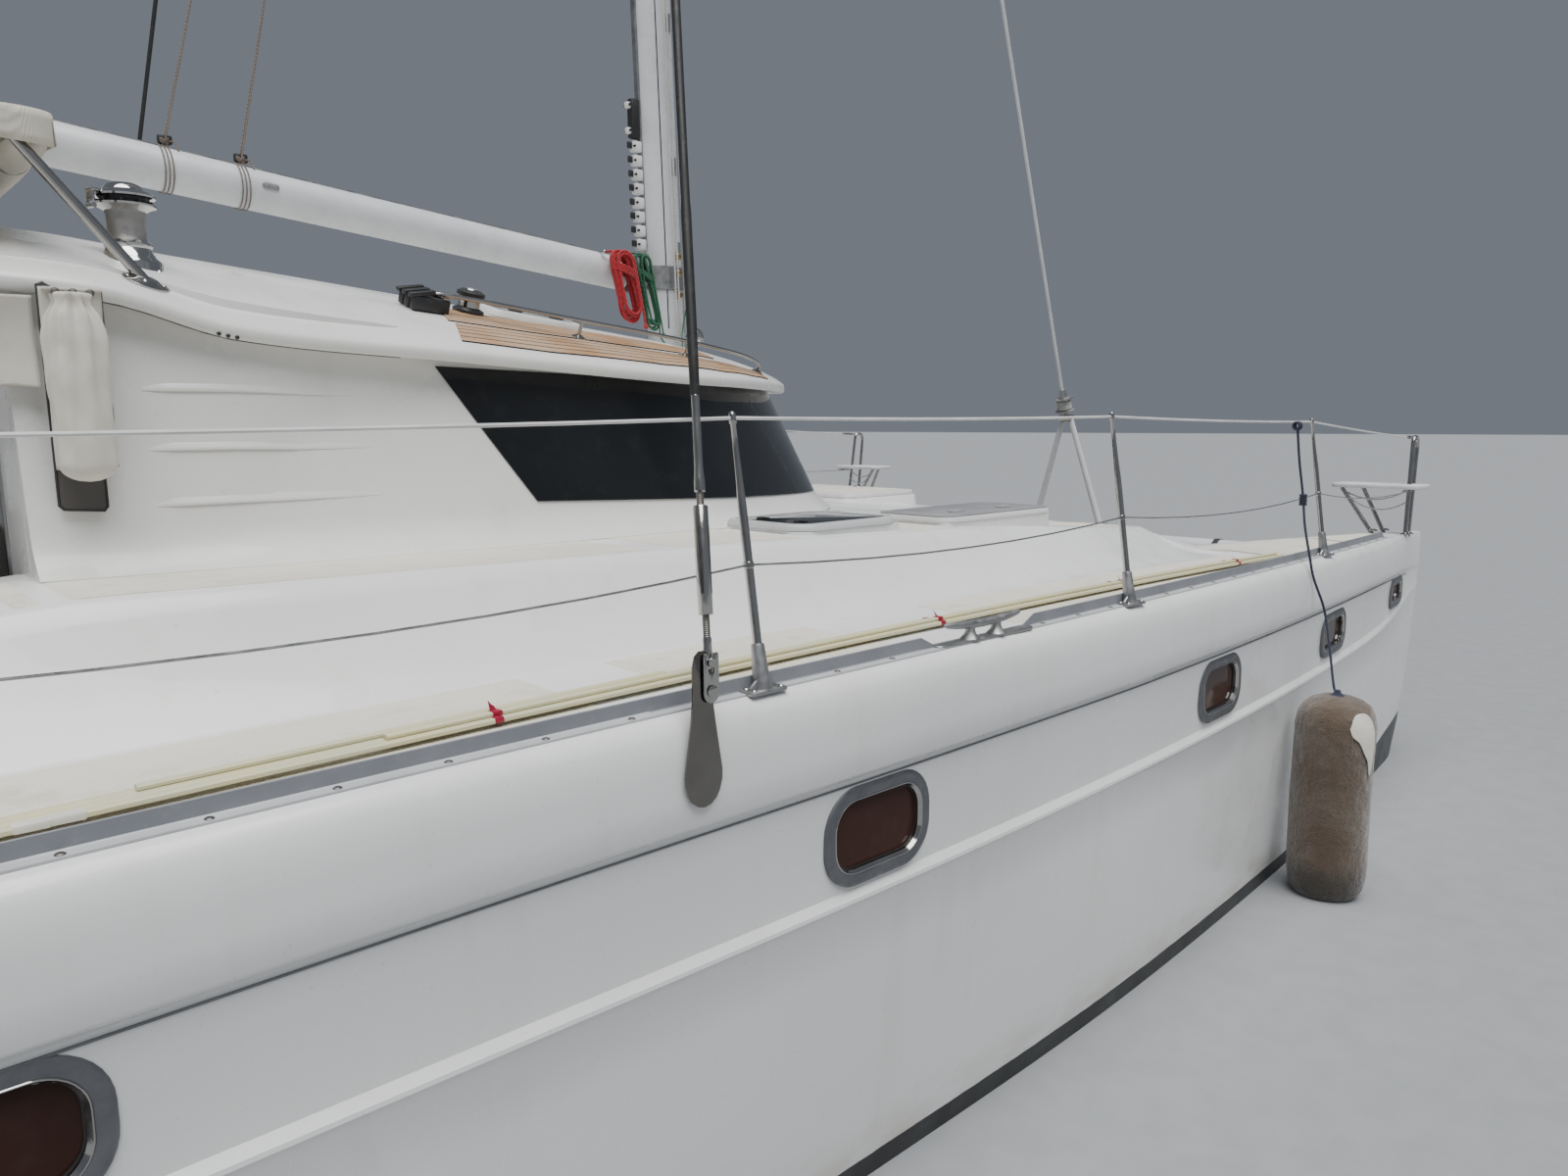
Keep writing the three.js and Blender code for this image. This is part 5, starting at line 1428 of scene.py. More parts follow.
def build_rigging():
    """Stays with their straps, turnbuckles and wires, the topping lift and the lazy jacks."""
    for name, side in SIDES:
        foot = Vector((CHAINPLATE_X, side * 2.902, 1.61))
        head = Vector((mast_x(HOUNDS) - 0.01, side * 0.075, HOUNDS))
        strap, bright, threads, slots = (bmesh.new() for _ in range(4))
        outline = [(-0.052, 1.39), (-0.051, 1.37), (-0.044, 1.346), (-0.034, 1.329), (-0.018, 1.317),
                   (0, 1.313),
                   (0.018, 1.317), (0.034, 1.329), (0.044, 1.346), (0.051, 1.37), (0.052, 1.39), (0.035, 1.5),
                   (0.027, 1.56), (0.027, 1.63), (0.02, 1.655), (0.008, 1.665), (-0.008, 1.665), (-0.02, 1.655),
                   (-0.027, 1.63), (-0.027, 1.56), (-0.035, 1.5)]
        plate(strap, [(x, z) for x, z in outline], 0.006,
              Matrix.Translation((CHAINPLATE_X - 0.004, side * 2.902 + 0.003, 0)) @ UPRIGHT, round_by=0.0012)
        piece("stay_strap_" + name, strap, "strap_mirror", replaces="shroud_" + name)
        bend = [(0.021 * math.cos(math.radians(a)), -0.034 + 0.021 * math.sin(math.radians(a)))
                for a in range(180, 361, 15)]
        notch = [(0.0075 * math.cos(math.radians(a)), 0.016 + 0.0075 * math.sin(math.radians(a)))
                 for a in range(0, -181, -30)]
        cheek = bend + [(0.021, 0.05), (0.0185, 0.056), (0.0095, 0.056), (0.0075, 0.052)] + notch + [
            (-0.0075, 0.052), (-0.0095, 0.056), (-0.0185, 0.056), (-0.021, 0.05)]
        for k in (-1, 1):
            made = bmesh.new()
            plate(made, cheek, 0.005, Matrix.Translation((CHAINPLATE_X + 0.014,
                                                          side * 2.902 + k * 0.0092 + 0.0025,
                                                          1.603)) @ UPRIGHT, 0.0012)
            keep(bright, made)
        for z, radius in ((1.575, 0.0085), (1.64, 0.0065)):
            pin = Vector((CHAINPLATE_X + 0.014, side * 2.902, z))
            rod(bright, pin - Vector((0, 0.0145, 0)), pin + Vector((0, 0.0145, 0)), radius * 0.9, sides=20)
            for k in (-1, 1):
                turned(bright, [(0, 0.0035), (radius * 1.3, 0.0035), (radius * 1.6, 0.002), (radius * 1.6, 0)],
                       along(pin + Vector((0, k * 0.0117, 0)), pin + Vector((0, k * 0.0157, 0))), 24)
        tube(threads, [Vector((CHAINPLATE_X + 0.014 + 0.0105 * math.cos(a), side * 2.902 + side * 0.0135,
                               1.575 + 0.0105 * math.sin(a))) for a in (math.tau * k / 20 for k in range(20))],
             0.0011, 6, closed=True)
        foot = Vector((CHAINPLATE_X + 0.014, side * 2.902, 1.64))
        ahead = (head - foot).normalized()
        turn = Vector((0, 0, 1)).rotation_difference(ahead).to_matrix().to_4x4()
        base = Matrix.Translation(foot) @ turn
        loft(bright, [[base @ Vector((wide * math.cos(a), deep * math.sin(a), h)) for a in
                       (math.tau * k / 20 for k in range(20))]
                      for h, wide, deep in ((-0.018, 0.006, 0.0045), (-0.014, 0.011, 0.006),
                                            (0.0, 0.013, 0.0065),
                                            (0.016, 0.0125, 0.0068), (0.034, 0.0105, 0.0085),
                                            (0.046, 0.0105, 0.0105), (0.052, 0.0095, 0.0095))])
        screw = [(0.0088 if k % 2 else 0.0074, 0.05 + k * 0.0022) for k in range(26)]
        turned(threads, screw, base, 14)
        turned(threads, [(r, h + 0.295) for r, h in screw[:18]], base, 14)
        turned(bright, [(0.0086, 0.101), (0.0155, 0.101), (0.0165, 0.103), (0.0165, 0.341), (0.0155, 0.343),
                        (0.0086, 0.343)], base, 28)
        for k in range(4):
            made = bmesh.new()
            slab(made, (0, 0, 0), (0.0065, 0.0016, 0.15), 0.0008)
            keep(slots, made, base @ Matrix.Rotation(math.tau * k / 4 + 0.6, 4, "Z")
                 @ Matrix.Translation((0, 0.0161, 0.222)))
        turned(bright, [(0.0088, 0.374), (0.0118, 0.376), (0.0122, 0.38), (0.0122, 0.4), (0.0112, 0.408),
                        (0.0098, 0.43), (0.0096, 0.59), (0.009, 0.598), (0.0066, 0.602)], base, 24)
        piece("stay_threads_" + name, threads, "dark_steel", merge=0)
        piece("stay_body_slots_" + name, slots, "black_plastic", merge=0)
        piece("stay_screw_" + name, bright, "stainless", merge=0)
        bm = bmesh.new()
        low = foot + ahead * 0.6
        tube(bm, [low, foot + ahead * 2.6, foot + ahead * 6, foot + ahead * 10, head], 0.0065, 10)
        turned(bm, [(0.0085, -0.01), (0.0112, 0), (0.0122, 0.1), (0.0122, 0.42), (0.0108, 0.45), (0.0108, 3.2),
                    (0.007, 3.22)], Matrix.Translation(low) @ turn, 14)
        piece("stay_wire_" + name, bm, "black_wire", merge=0)
        bm = bmesh.new()
        slab(bm, head + Vector((0, -side * 0.01, -0.02)), (0.05, 0.02, 0.16), 0.004)
        piece("stay_tang_" + name, bm, "stainless")

    bm = bmesh.new()
    place, length = boom_frame(), (BOOM["end"] - BOOM["heel"]).length
    for side in (-1, 1):
        upper = Vector((mast_x(11.2) - 0.05, side * 0.07, 11.2))
        for d in LASHINGS:
            tube(bm, spread([place @ Vector((d, side * 0.012, 0.1)), upper]), 0.003, 6)
    jacks = piece("lazy_jacks", bm, "brown_line", body=None, merge=0)
    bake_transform(jacks)
    bm = bmesh.new()
    top = Vector((mast_x(15.9) - 0.11, 0, 15.9))
    tube(bm, spread([place @ Vector((length - 0.03, 0, 0.085)), top]), 0.004, 6)
    lift = piece("topping_lift", bm, "brown_line", body=None, merge=0)
    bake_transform(lift)


class CATAMARAN_OT_rig(bpy.types.Operator):
    """Raises the mast, the boom and the stays"""
    bl_idname = "catamaran.rig"
    bl_label = "Mast, boom and stays"

    def execute(self, context):
        build_mast()
        build_boom()
        build_rigging()
        bm = bmesh.new()
        for z in (2.872 - 0.031, 2.872 + 0.031):
            slab(bm, Vector((1.475, 0, z)), (0.07, 0.03, 0.009), 0.002)
        rod(bm, (1.455, 0, 2.828), (1.455, 0, 2.918), 0.0088)
        turned(bm, [(0, 0.012), (0.014, 0.01), (0.016, 0.004), (0.016, 0)],
               Matrix.Translation((1.455, 0, 2.911)), 20)
        loft(bm, [oval(z, MAST["long"] + g, MAST["wide"] + g) for z, g in
                  ((2.812, 0.002), (2.815, 0.008), (2.929, 0.008), (2.932, 0.002))])
        piece("gooseneck_fitting", bm, "cast_grey", replaces="gooseneck", merge=0)
        return {"FINISHED"}


# Bow gear

BEAM = {"x": 5.35, "z": 1.24, "radius": 0.075, "apex": 2.13}


def build_bow_beam():
    bm = bmesh.new()
    reach = HULL_CENTRE - 0.02
    tube(bm, [Vector((BEAM["x"], reach * t, BEAM["z"])) for t in (-1, -0.5, 0, 0.5, 1)], BEAM["radius"], 32)
    for side in (-1, 1):
        rod(bm, (BEAM["x"], side * 0.305, BEAM["z"] + 0.04),
            (BEAM["x"] - 0.045, side * 0.035, BEAM["apex"]), 0.024, 0.02, sides=24)
    piece("bow_beam", bm, "spar", replaces="forward_beam", merge=0, angle=50)
    bm = bmesh.new()
    for side in (-1, 1):
        foot = Vector((BEAM["x"], side * 0.3, BEAM["z"] + 0.05))
        slab(bm, foot, (0.07, 0.07, 0.07), 0.012)
        for k in (-1, 1):
            slab(bm, foot + Vector((k * 0.03, 0, 0.04)), (0.008, 0.05, 0.08), 0.003)
    slab(bm, Vector((BEAM["x"] - 0.047, 0, BEAM["apex"] + 0.01)), (0.064, 0.1, 0.055), 0.012)
    for y in (-1.2, -0.6, 0.6, 1.2):
        turned(bm, [(0.0765, -0.02), (0.082, -0.02), (0.082, 0.02), (0.0765, 0.02), (0.0765, -0.02)],
               Matrix.Translation((BEAM["x"], y, BEAM["z"])) @ Matrix.Rotation(math.pi / 2, 4, "X"), 32)
    piece("bow_beam_fittings", bm, "stainless")

    low = Vector((BEAM["x"] - 0.06, 0, BEAM["apex"] + 0.03))
    high = Vector((mast_x(HOUNDS) + 0.121, 0, HOUNDS))
    ahead = (high - low).normalized()
    turn = Vector((0, 0, 1)).rotation_difference(ahead).to_matrix().to_4x4()
    bm = bmesh.new()
    tube(bm, [low, low + ahead * 4, low + ahead * 9, high], 0.012, 12)
    piece("forestay_foil", bm, "spar", replaces="forestay", merge=0)
    bm = bmesh.new()
    turned(bm, [(0.0125, 0.03), (0.07, 0.034), (0.072, 0.042), (0.045, 0.052), (0.045, 0.12), (0.072, 0.13),
                (0.072, 0.138), (0.03, 0.142), (0.024, 0.2), (0.013, 0.204)], Matrix.Translation(low)
           @ turn, 36)
    slab(bm, low + Vector((0, 0, 0.004)), (0.03, 0.012, 0.06), 0.003)
    piece("furler_drum", bm, "cast_grey")
    bm = bmesh.new()
    for k in range(9):
        made = bmesh.new()
        tube(made, [Vector((0.05 * math.cos(a), 0.05 * math.sin(a), 0.058 + 0.0066 * k)) for a in
                    (math.tau * j / 24 for j in range(24))], 0.0034, 6, closed=True)
        keep(bm, made, Matrix.Translation(low) @ turn)
    piece("furler_line", bm, "white_line", merge=0)


NET = {"front": (BEAM["x"] - 0.11, 2.06), "aft": (3.26, 1.78), "z": 1.265}


def build_trampoline():
    (front_x, front_half), (aft_x, aft_half), z = NET["front"], NET["aft"], NET["z"]
    length = front_x - aft_x
    bm = bmesh.new()

    def place(u, v):
        x = aft_x + length * u
        half = aft_half + (front_half - aft_half) * u
        sag = 0.0025 * (1 - (2 * u - 1) ** 2) * (1 - (2 * v - 1) ** 2)
        return Vector((x, half * (2 * v - 1), z - sag))
    grid(bm, 48, 80, place)
    net = piece("trampoline_net", bm, "net", replaces="trampoline", merge=0)
    net.modifiers.new("thickness", "SOLIDIFY").thickness = 0.003
    bm, lace = bmesh.new(), bmesh.new()
    corners = [(aft_x, -aft_half), (front_x, -front_half), (front_x, front_half), (aft_x, aft_half)]
    tube(bm, [Vector((x, y, z)) for x, y in corners], 0.006, 8, closed=True)
    hem = piece("trampoline_edge", bm, "white_line", merge=0)
    for side in (-1, 1):
        for k in range(24):
            t = (k + 0.5) / 24
            x = aft_x + length * t
            half = aft_half + (front_half - aft_half) * t
            wall = 2 * HULL_CENTRE - deck_edge(x)
            tube(lace, [Vector((x, side * half, z)), Vector((x + 0.02, side * (wall - 0.012), z + 0.01)),
                        Vector((x + 0.04, side * half, z))], 0.0028, 6)
    for k in range(30):
        y = -1.95 + 3.9 * (k + 0.5) / 30
        tube(lace, [Vector((front_x, y, z)), Vector((BEAM["x"] - 0.066, y + 0.02, BEAM["z"] + 0.03)),
                    Vector((front_x, y + 0.04, z))], 0.0028, 6)
        if abs(y) < 1.45:
            tube(lace, [Vector((aft_x, y, z)), Vector((3.203, y + 0.02, z + 0.01)),
                        Vector((aft_x, y + 0.04, z))],
                 0.0028, 6)
    lacing = piece("trampoline_lacing", lace, "white_line", merge=0)


class CATAMARAN_OT_bow(bpy.types.Operator):
    """Builds the forward beam, the forestay's foot and the net between the hulls"""
    bl_idname = "catamaran.bow"
    bl_label = "Bow gear"

    def execute(self, context):
        build_bow_beam()
        build_trampoline()
        return {"FINISHED"}


# Rails and deck gear

RAIL = {"from": -4.3, "to": 5.0, "gap": (0.42, 0.83), "outer": 0.034, "inner": 0.066, "height": 0.039}
CLEAT = {"x": (0.441, 0.802), "posts": (0.56, 0.683), "z": 1.575, "plate": (0.4, 0.85)}


def stanchion_place(x, side, length):
    foot = Vector((x, side * (deck_edge(x) - 0.042), sheer(x) + 0.012))
    return foot + Vector((0, -side * length * math.sin(STANCHION_LEAN), length * math.cos(STANCHION_LEAN)))


def build_toe_rail(name, side):
    rail, screws = bmesh.new(), bmesh.new()
    section = ((0.034, 0.001), (0.034, 0.005), (0.059, 0.006), (0.062, 0.0085), (0.062, 0.0385),
               (0.0645, 0.040), (0.066, 0.0385), (0.066, 0.001))
    for low, high in ((RAIL["from"], RAIL["gap"][0]), (RAIL["gap"][1], RAIL["to"])):
        rows = spaced(low, high, 0.25)
        rings = []
        for x in rows:
            end = min(x - low, high - x)
            drop = 1 if end > 0.02 else 0.14
            rings.append([sided(side, x, deck_edge(x) - inset,
                                sheer(x) + (lift if lift < 0.007 else lift * drop))
                          for inset, lift in section])
        for k, x in ((0, low + 0.07), (-1, high - 0.07)):
            ring = [sided(side, x, deck_edge(x) - inset, sheer(x) + lift) for inset, lift in section]
            rings.insert(1 if k == 0 else len(rings) - 1, ring)
        rings.sort(key=lambda ring: ring[0].x)
        loft(rail, rings)
        x = low + 0.1
        while x < high - 0.05:
            if min(abs(x - s) for s in STANCHIONS) > 0.08:
                made = bmesh.new()
                turned(made, [(0, 0.0024), (0.006, 0.0022), (0.0088, 0)], Matrix(), 12)
                keep(screws, made, Matrix.Translation(sided(side, x, deck_edge(x) - 0.047, sheer(x) + 0.0058)))
            x += 0.21
    for face in rail.faces:
        middle = face.calc_center_median()
        face.material_index = 1 if deck_edge(middle.x) - abs(middle.y) > 0.0605 else 0
    piece("toe_rail_strip_" + name, rail, ("rail_base", "rail_upright"), replaces="toe_rail_" + name, merge=0)
    piece("toe_rail_screws_" + name, screws, "dark_steel", merge=0)


def build_stanchions(name, side):
    tubes, feet, bolts = bmesh.new(), bmesh.new(), bmesh.new()
    for x in STANCHIONS:
        foot, top = stanchion_place(x, side, 0), stanchion_place(x, side, STANCHION_HEIGHT - 0.008)
        turn = Vector((0, 0, 1)).rotation_difference(top - foot).to_matrix().to_4x4()
        h = STANCHION_HEIGHT
        turned(tubes, [(0.0125, 0.05), (0.0113, 0.06), (0.0113, h * 0.6), (0.0108, h * 0.66),
                       (0.0085, h * 0.75),
                       (0.0072, h * 0.86), (0.0064, h - 0.03), (0.009, h - 0.026), (0.009, h - 0.006),
                       (0.006, h), (0, h + 0.002)],
               Matrix.Translation(foot) @ turn, 20)
        for height in (0.29,):
            at = foot + (top - foot).normalized() * height
            turned(tubes, [(0.0112, -0.008), (0.0132, -0.006), (0.0132, 0.006), (0.0112, 0.008)],
                   Matrix.Translation(at) @ turn, 20)
        turned(feet, [(0.0114, 0.104), (0.015, 0.103), (0.0165, 0.098), (0.019, 0.05), (0.0235, 0.0),
                      (0.025, -0.014)],
               Matrix.Translation(foot) @ turn, 24)
        for k in (-1, 1):
            made = bmesh.new()
            plate(made, [(0, -0.029), (0.05, -0.029), (0.057, -0.022), (0.057, 0.022), (0.05, 0.029),
                         (0, 0.029)], 0.009,
                  round_by=0.0025)
            bmesh.ops.scale(made, vec=(k, 1, 1), verts=made.verts)
            bmesh.ops.recalc_face_normals(made, faces=made.faces)
            keep(feet, made, Matrix.Translation(foot + Vector((0, side * 0.004, -0.0105))))
            made = bmesh.new()
            slab(made, (0.022, 0, 0.012), (0.034, 0.012, 0.026), 0.004,
                 Matrix.Rotation(math.radians(40), 4, "Y"))
            bmesh.ops.scale(made, vec=(k, 1, 1), verts=made.verts)
            bmesh.ops.recalc_face_normals(made, faces=made.faces)
            keep(feet, made, Matrix.Translation(foot + Vector((0, 0, -0.01))))
            for out in (-0.014, 0.016):
                turned(bolts, [(0, 0.005), (0.0045, 0.0048), (0.007, 0.002), (0.0072, 0)],
                       Matrix.Translation(foot + Vector((k * 0.042, side * (0.004 + out), -0.0018))), 12)
    piece("stanchion_tubes_" + name, tubes, "stainless", merge=0)
    piece("stanchion_feet_" + name, feet, "cast_grey", merge=0)
    piece("stanchion_bolts_" + name, bolts, "stainless", merge=0)


def build_lifelines(name, side):
    upper, lower, ends = bmesh.new(), bmesh.new(), bmesh.new()
    tops = [sided(side, -4.4, 2.79, 2.062)] + [stanchion_place(x, side, STANCHION_HEIGHT - 0.014)
                                               for x in STANCHIONS] + [sided(side, 5.47, 2.335, 2.008)]
    tube(upper, curve_with_sag(tops, 0.003), 0.0042, 8)
    middles = [sided(side, -4.4, 2.79, 1.76)] + [stanchion_place(x, side, 0.29) for x in STANCHIONS] + [
        sided(side, 5.43, 2.343, 1.69)]
    tube(lower, curve_with_sag(middles, 0.018), 0.0028, 8)
    for row, radius in ((tops, 0.0065), (middles, 0.0045)):
        for k in (0, -1):
            inward = (row[1] - row[0]) if k == 0 else (row[-2] - row[-1])
            inward.normalize()
            rod(ends, row[k] + inward * 0.015, row[k] + inward * 0.16, radius, sides=12)
            rod(ends, row[k] + inward * 0.05, row[k] + inward * 0.12, radius * 1.5, sides=12)
    piece("lifeline_upper_" + name, upper, "white_wire", merge=0)
    piece("lifeline_lower_" + name, lower, "wire", merge=0)
    piece("lifeline_ends_" + name, ends, "stainless", merge=0)


def curve_with_sag(points, share):
    """Line through fixed points that hangs a little between each two."""
    made = []
    for a, b in zip(points, points[1:]):
        drop = (b - a).length * share
        made += [a.lerp(b, t / 8) - Vector((0, 0, drop * 4 * (t / 8) * (1 - t / 8))) for t in range(8)]
    return made + [points[-1]]


def build_cleat(name, side):
    bm = bmesh.new()
    o = deck_edge(0.62) - 0.052
    x0, x1 = CLEAT["x"]
    z = CLEAT["z"]
    middle = (x0 + x1) / 2
    rings = []
    for k in range(25):
        t = 2 * k / 24 - 1
        x = middle + t * (x1 - x0) / 2
        wide = 0.0145 * (1 - 0.55 * abs(t) ** 3) * (0.25 if abs(t) > 0.99 else 1)
        tall = 0.0125 * (1 - 0.4 * abs(t) ** 2) * (0.25 if abs(t) > 0.99 else 1)
        rise = 0.012 * abs(t) ** 2.2 - 0.004
        rings.append([sided(side, x, o + wide * math.cos(a), z + rise + tall * math.sin(a)) for a in
                      (math.tau * j / 16 for j in range(16))])
    loft(bm, rings)
    for x in CLEAT["posts"]:
        base = sheer(x) + 0.011
        turned(bm, [(0.03, 0), (0.026, 0.004), (0.018, 0.012), (0.014, 0.024), (0.0145, z - base)],
               Matrix.Translation(sided(side, x, o, base)), 20)
    low, high = CLEAT["plate"]
    plate(bm, rounded_outline(high - low, 0.044, 0.02), 0.01,
          Matrix.Translation(sided(side, (low + high) / 2, o, sheer(0.62) + 0.0012)), 0.003)
    piece("mooring_cleat_" + name, bm, "cast_grey", merge=0, angle=45)


def build_bow_rail(name, side):
    bars, seat = bmesh.new(), bmesh.new()

    def at(x, o, z):
        return sided(side, x, o, z)
    for low, high in ((at(5.393, 2.352, 1.43), at(5.46, 2.337, 1.93)),
                      (at(5.5, 2.335, 1.41), at(5.553, 2.331, 1.93)),
                      (at(5.33, 2.19, 1.42), at(5.33, 1.99, 1.703)),
                      (at(5.48, 2.205, 1.41), at(5.48, 2.06, 1.703))):
        rod(bars, low, high, 0.0122, sides=18)
        turned(bars, [(0.0122, 0.012), (0.022, 0.008), (0.028, 0.004), (0.028, 0)], Matrix.Translation(
            (low.x, low.y, deck_height(low.x, abs(low.y)) + 0.001)), 20)
    tube(bars, curve_through([at(5.46, 2.337, 1.93), at(5.468, 2.3355, 1.985), at(5.488, 2.334, 2.009),
                              at(5.515, 2.3325, 2.012), at(5.542, 2.3315, 2.0), at(5.5535, 2.331, 1.965),
                              at(5.553, 2.331, 1.93)], 5), 0.0122, 16)
    piece("bow_rail_bars_" + name, bars, "stainless", replaces="bow_rail_" + name, merge=0)
    plate(seat, rounded_outline(0.22, 0.51, 0.035), 0.025,
          Matrix.Translation(at(5.41, 2.185, 1.705)), 0.007)
    piece("bow_seat_" + name, seat, "seat_plastic")
    bm = bmesh.new()
    tube(bm, curve_with_sag([at(5.4, 2.34, 1.69), at(5.34, 1.99, 1.69)], 0.16), 0.0045, 8)
    tube(bm, curve_with_sag([at(5.4, 2.34, 1.62), at(5.33, 2.02, 1.66)], 0.2), 0.0045, 8)
    piece("bow_rail_lashing_" + name, bm, "white_line", merge=0)


def build_stern_rail(name, side):
    bm = bmesh.new()

    def at(x, o, z):
        return sided(side, x, o, z)
    tube(bm, curve_through([at(-5.62, 2.64, 2.02), at(-5.605, 2.70, 2.024), at(-5.56, 2.75, 2.03),
                            at(-5.4, 2.764, 2.036),
                            at(-5.0, 2.775, 2.05), at(-4.5, 2.7875, 2.066), at(-4.4, 2.79, 2.07)], 6),
         0.0122, 16)
    tube(bm, [at(-5.56, 2.76, 1.74), at(-5.0, 2.775, 1.75), at(-4.4, 2.79, 1.76)], 0.0095, 12)
    for x, o in ((-5.56, 2.757), (-5.0, 2.775), (-4.4, 2.79)):
        foot = at(x, o, deck_height(x, o) + 0.001)
        rod(bm, foot, at(x, o, 2.03 + (x + 5.56) * 0.0345), 0.0122, sides=18)
        turned(bm, [(0.0122, 0.014), (0.024, 0.009), (0.032, 0.004), (0.032, 0)], Matrix.Translation(foot), 24)
    ball(bm, at(-5.62, 2.64, 2.02), 0.0124)
    piece("stern_rail_bars_" + name, bm, "stainless", replaces="stern_rail_" + name, merge=0)


BATTEN_LINE = ((-2.4, -2.695), (-1.5, -2.665), (-0.3, -2.628), (0.9, -2.59), (2.0, -2.55), (3.25, -2.512))
TAPES = (-0.86, 0.66, 1.78, 2.77)
# Columns: start, end, shift across, lift, half width, half height, phase of the wander
BATTENS = ((-2.4, 3.25, -0.021, 0.0, 0.0125, 0.0058, 0.0), (-2.36, 2.95, 0.006, 0.0, 0.0125, 0.0058, 2.1),
           (-2.3, 3.1, 0.033, 0.0, 0.012, 0.0058, 3.2), (-1.534, -0.38, 0.021, 0.0118, 0.0105, 0.005, 1.0),
           (-1.1, 3.2, -0.008, 0.0118, 0.0108, 0.005, 5.0))


def build_battens():
    cream, white, tape, green = bmesh.new(), bmesh.new(), bmesh.new(), bmesh.new()
    for low, high, across, lift, half, tall, phase in BATTENS:
        rings = []
        for x in spaced(low, high, 0.08):
            near = min(abs(x - t) for t in TAPES)
            y = read(BATTEN_LINE, x, 1) + across + 0.0012 * math.sin(2.1 * x + phase) * min(1, near / 0.4)
            z = sheer(x) + 0.0125 + lift + tall
            rings.append([Vector((x, y + half * cx, z + tall * cz)) for cx, cz in
                          ((-1, -0.5), (-0.75, -1), (0.75, -1), (1, -0.5), (1, 0.5), (0.75, 1), (-0.75, 1),
                           (-1, 0.5))])
        loft(cream, rings)
    line = [Vector((x, read(BATTEN_LINE, x, 1) - 0.021, sheer(x) + 0.0183)) for x in (-1.72, -1.67, -1.62)]
    for at, nxt in zip(line, line[1:]):
        made = bmesh.new()
        slab(made, (at + nxt) / 2, (abs(nxt.x - at.x) + 0.004, 0.028, 0.0145), 0.004)
        keep(white, made)
    for x in TAPES:
        y, z = read(BATTEN_LINE, x, 1) + 0.006, sheer(x) + 0.019
        slab(tape, Vector((x, y, z)), (0.024, 0.083, 0.0145), 0.005)
        slab(tape, Vector((x + 0.004, y - 0.013, z + 0.0105)), (0.026, 0.026, 0.0125), 0.004)
        made = bmesh.new()
        plate(made, [(-0.011, 0), (0.013, 0), (0.009, 0.011), (0.003, 0.016), (-0.002, 0.026),
                     (-0.007, 0.012)], 0.0008)
        keep(tape, made, Matrix.Translation((x, y - 0.012, z + 0.014)) @ Matrix.Rotation(0.5, 4, "Z")
             @ Matrix.Rotation(1.1, 4, "X"))
    slab(green, Vector((-2.2, read(BATTEN_LINE, -2.2, 1) + 0.006, sheer(-2.2) + 0.0187)),
         (0.014, 0.083, 0.0145), 0.004)
    piece("battens_cream", cream, "batten_cream", replaces="sail_battens", merge=0)
    piece("battens_white", white, "batten_white", merge=0)
    piece("batten_tape", tape, "red_tape", merge=0)
    piece("batten_end_tape", green, "green_tape", merge=0)


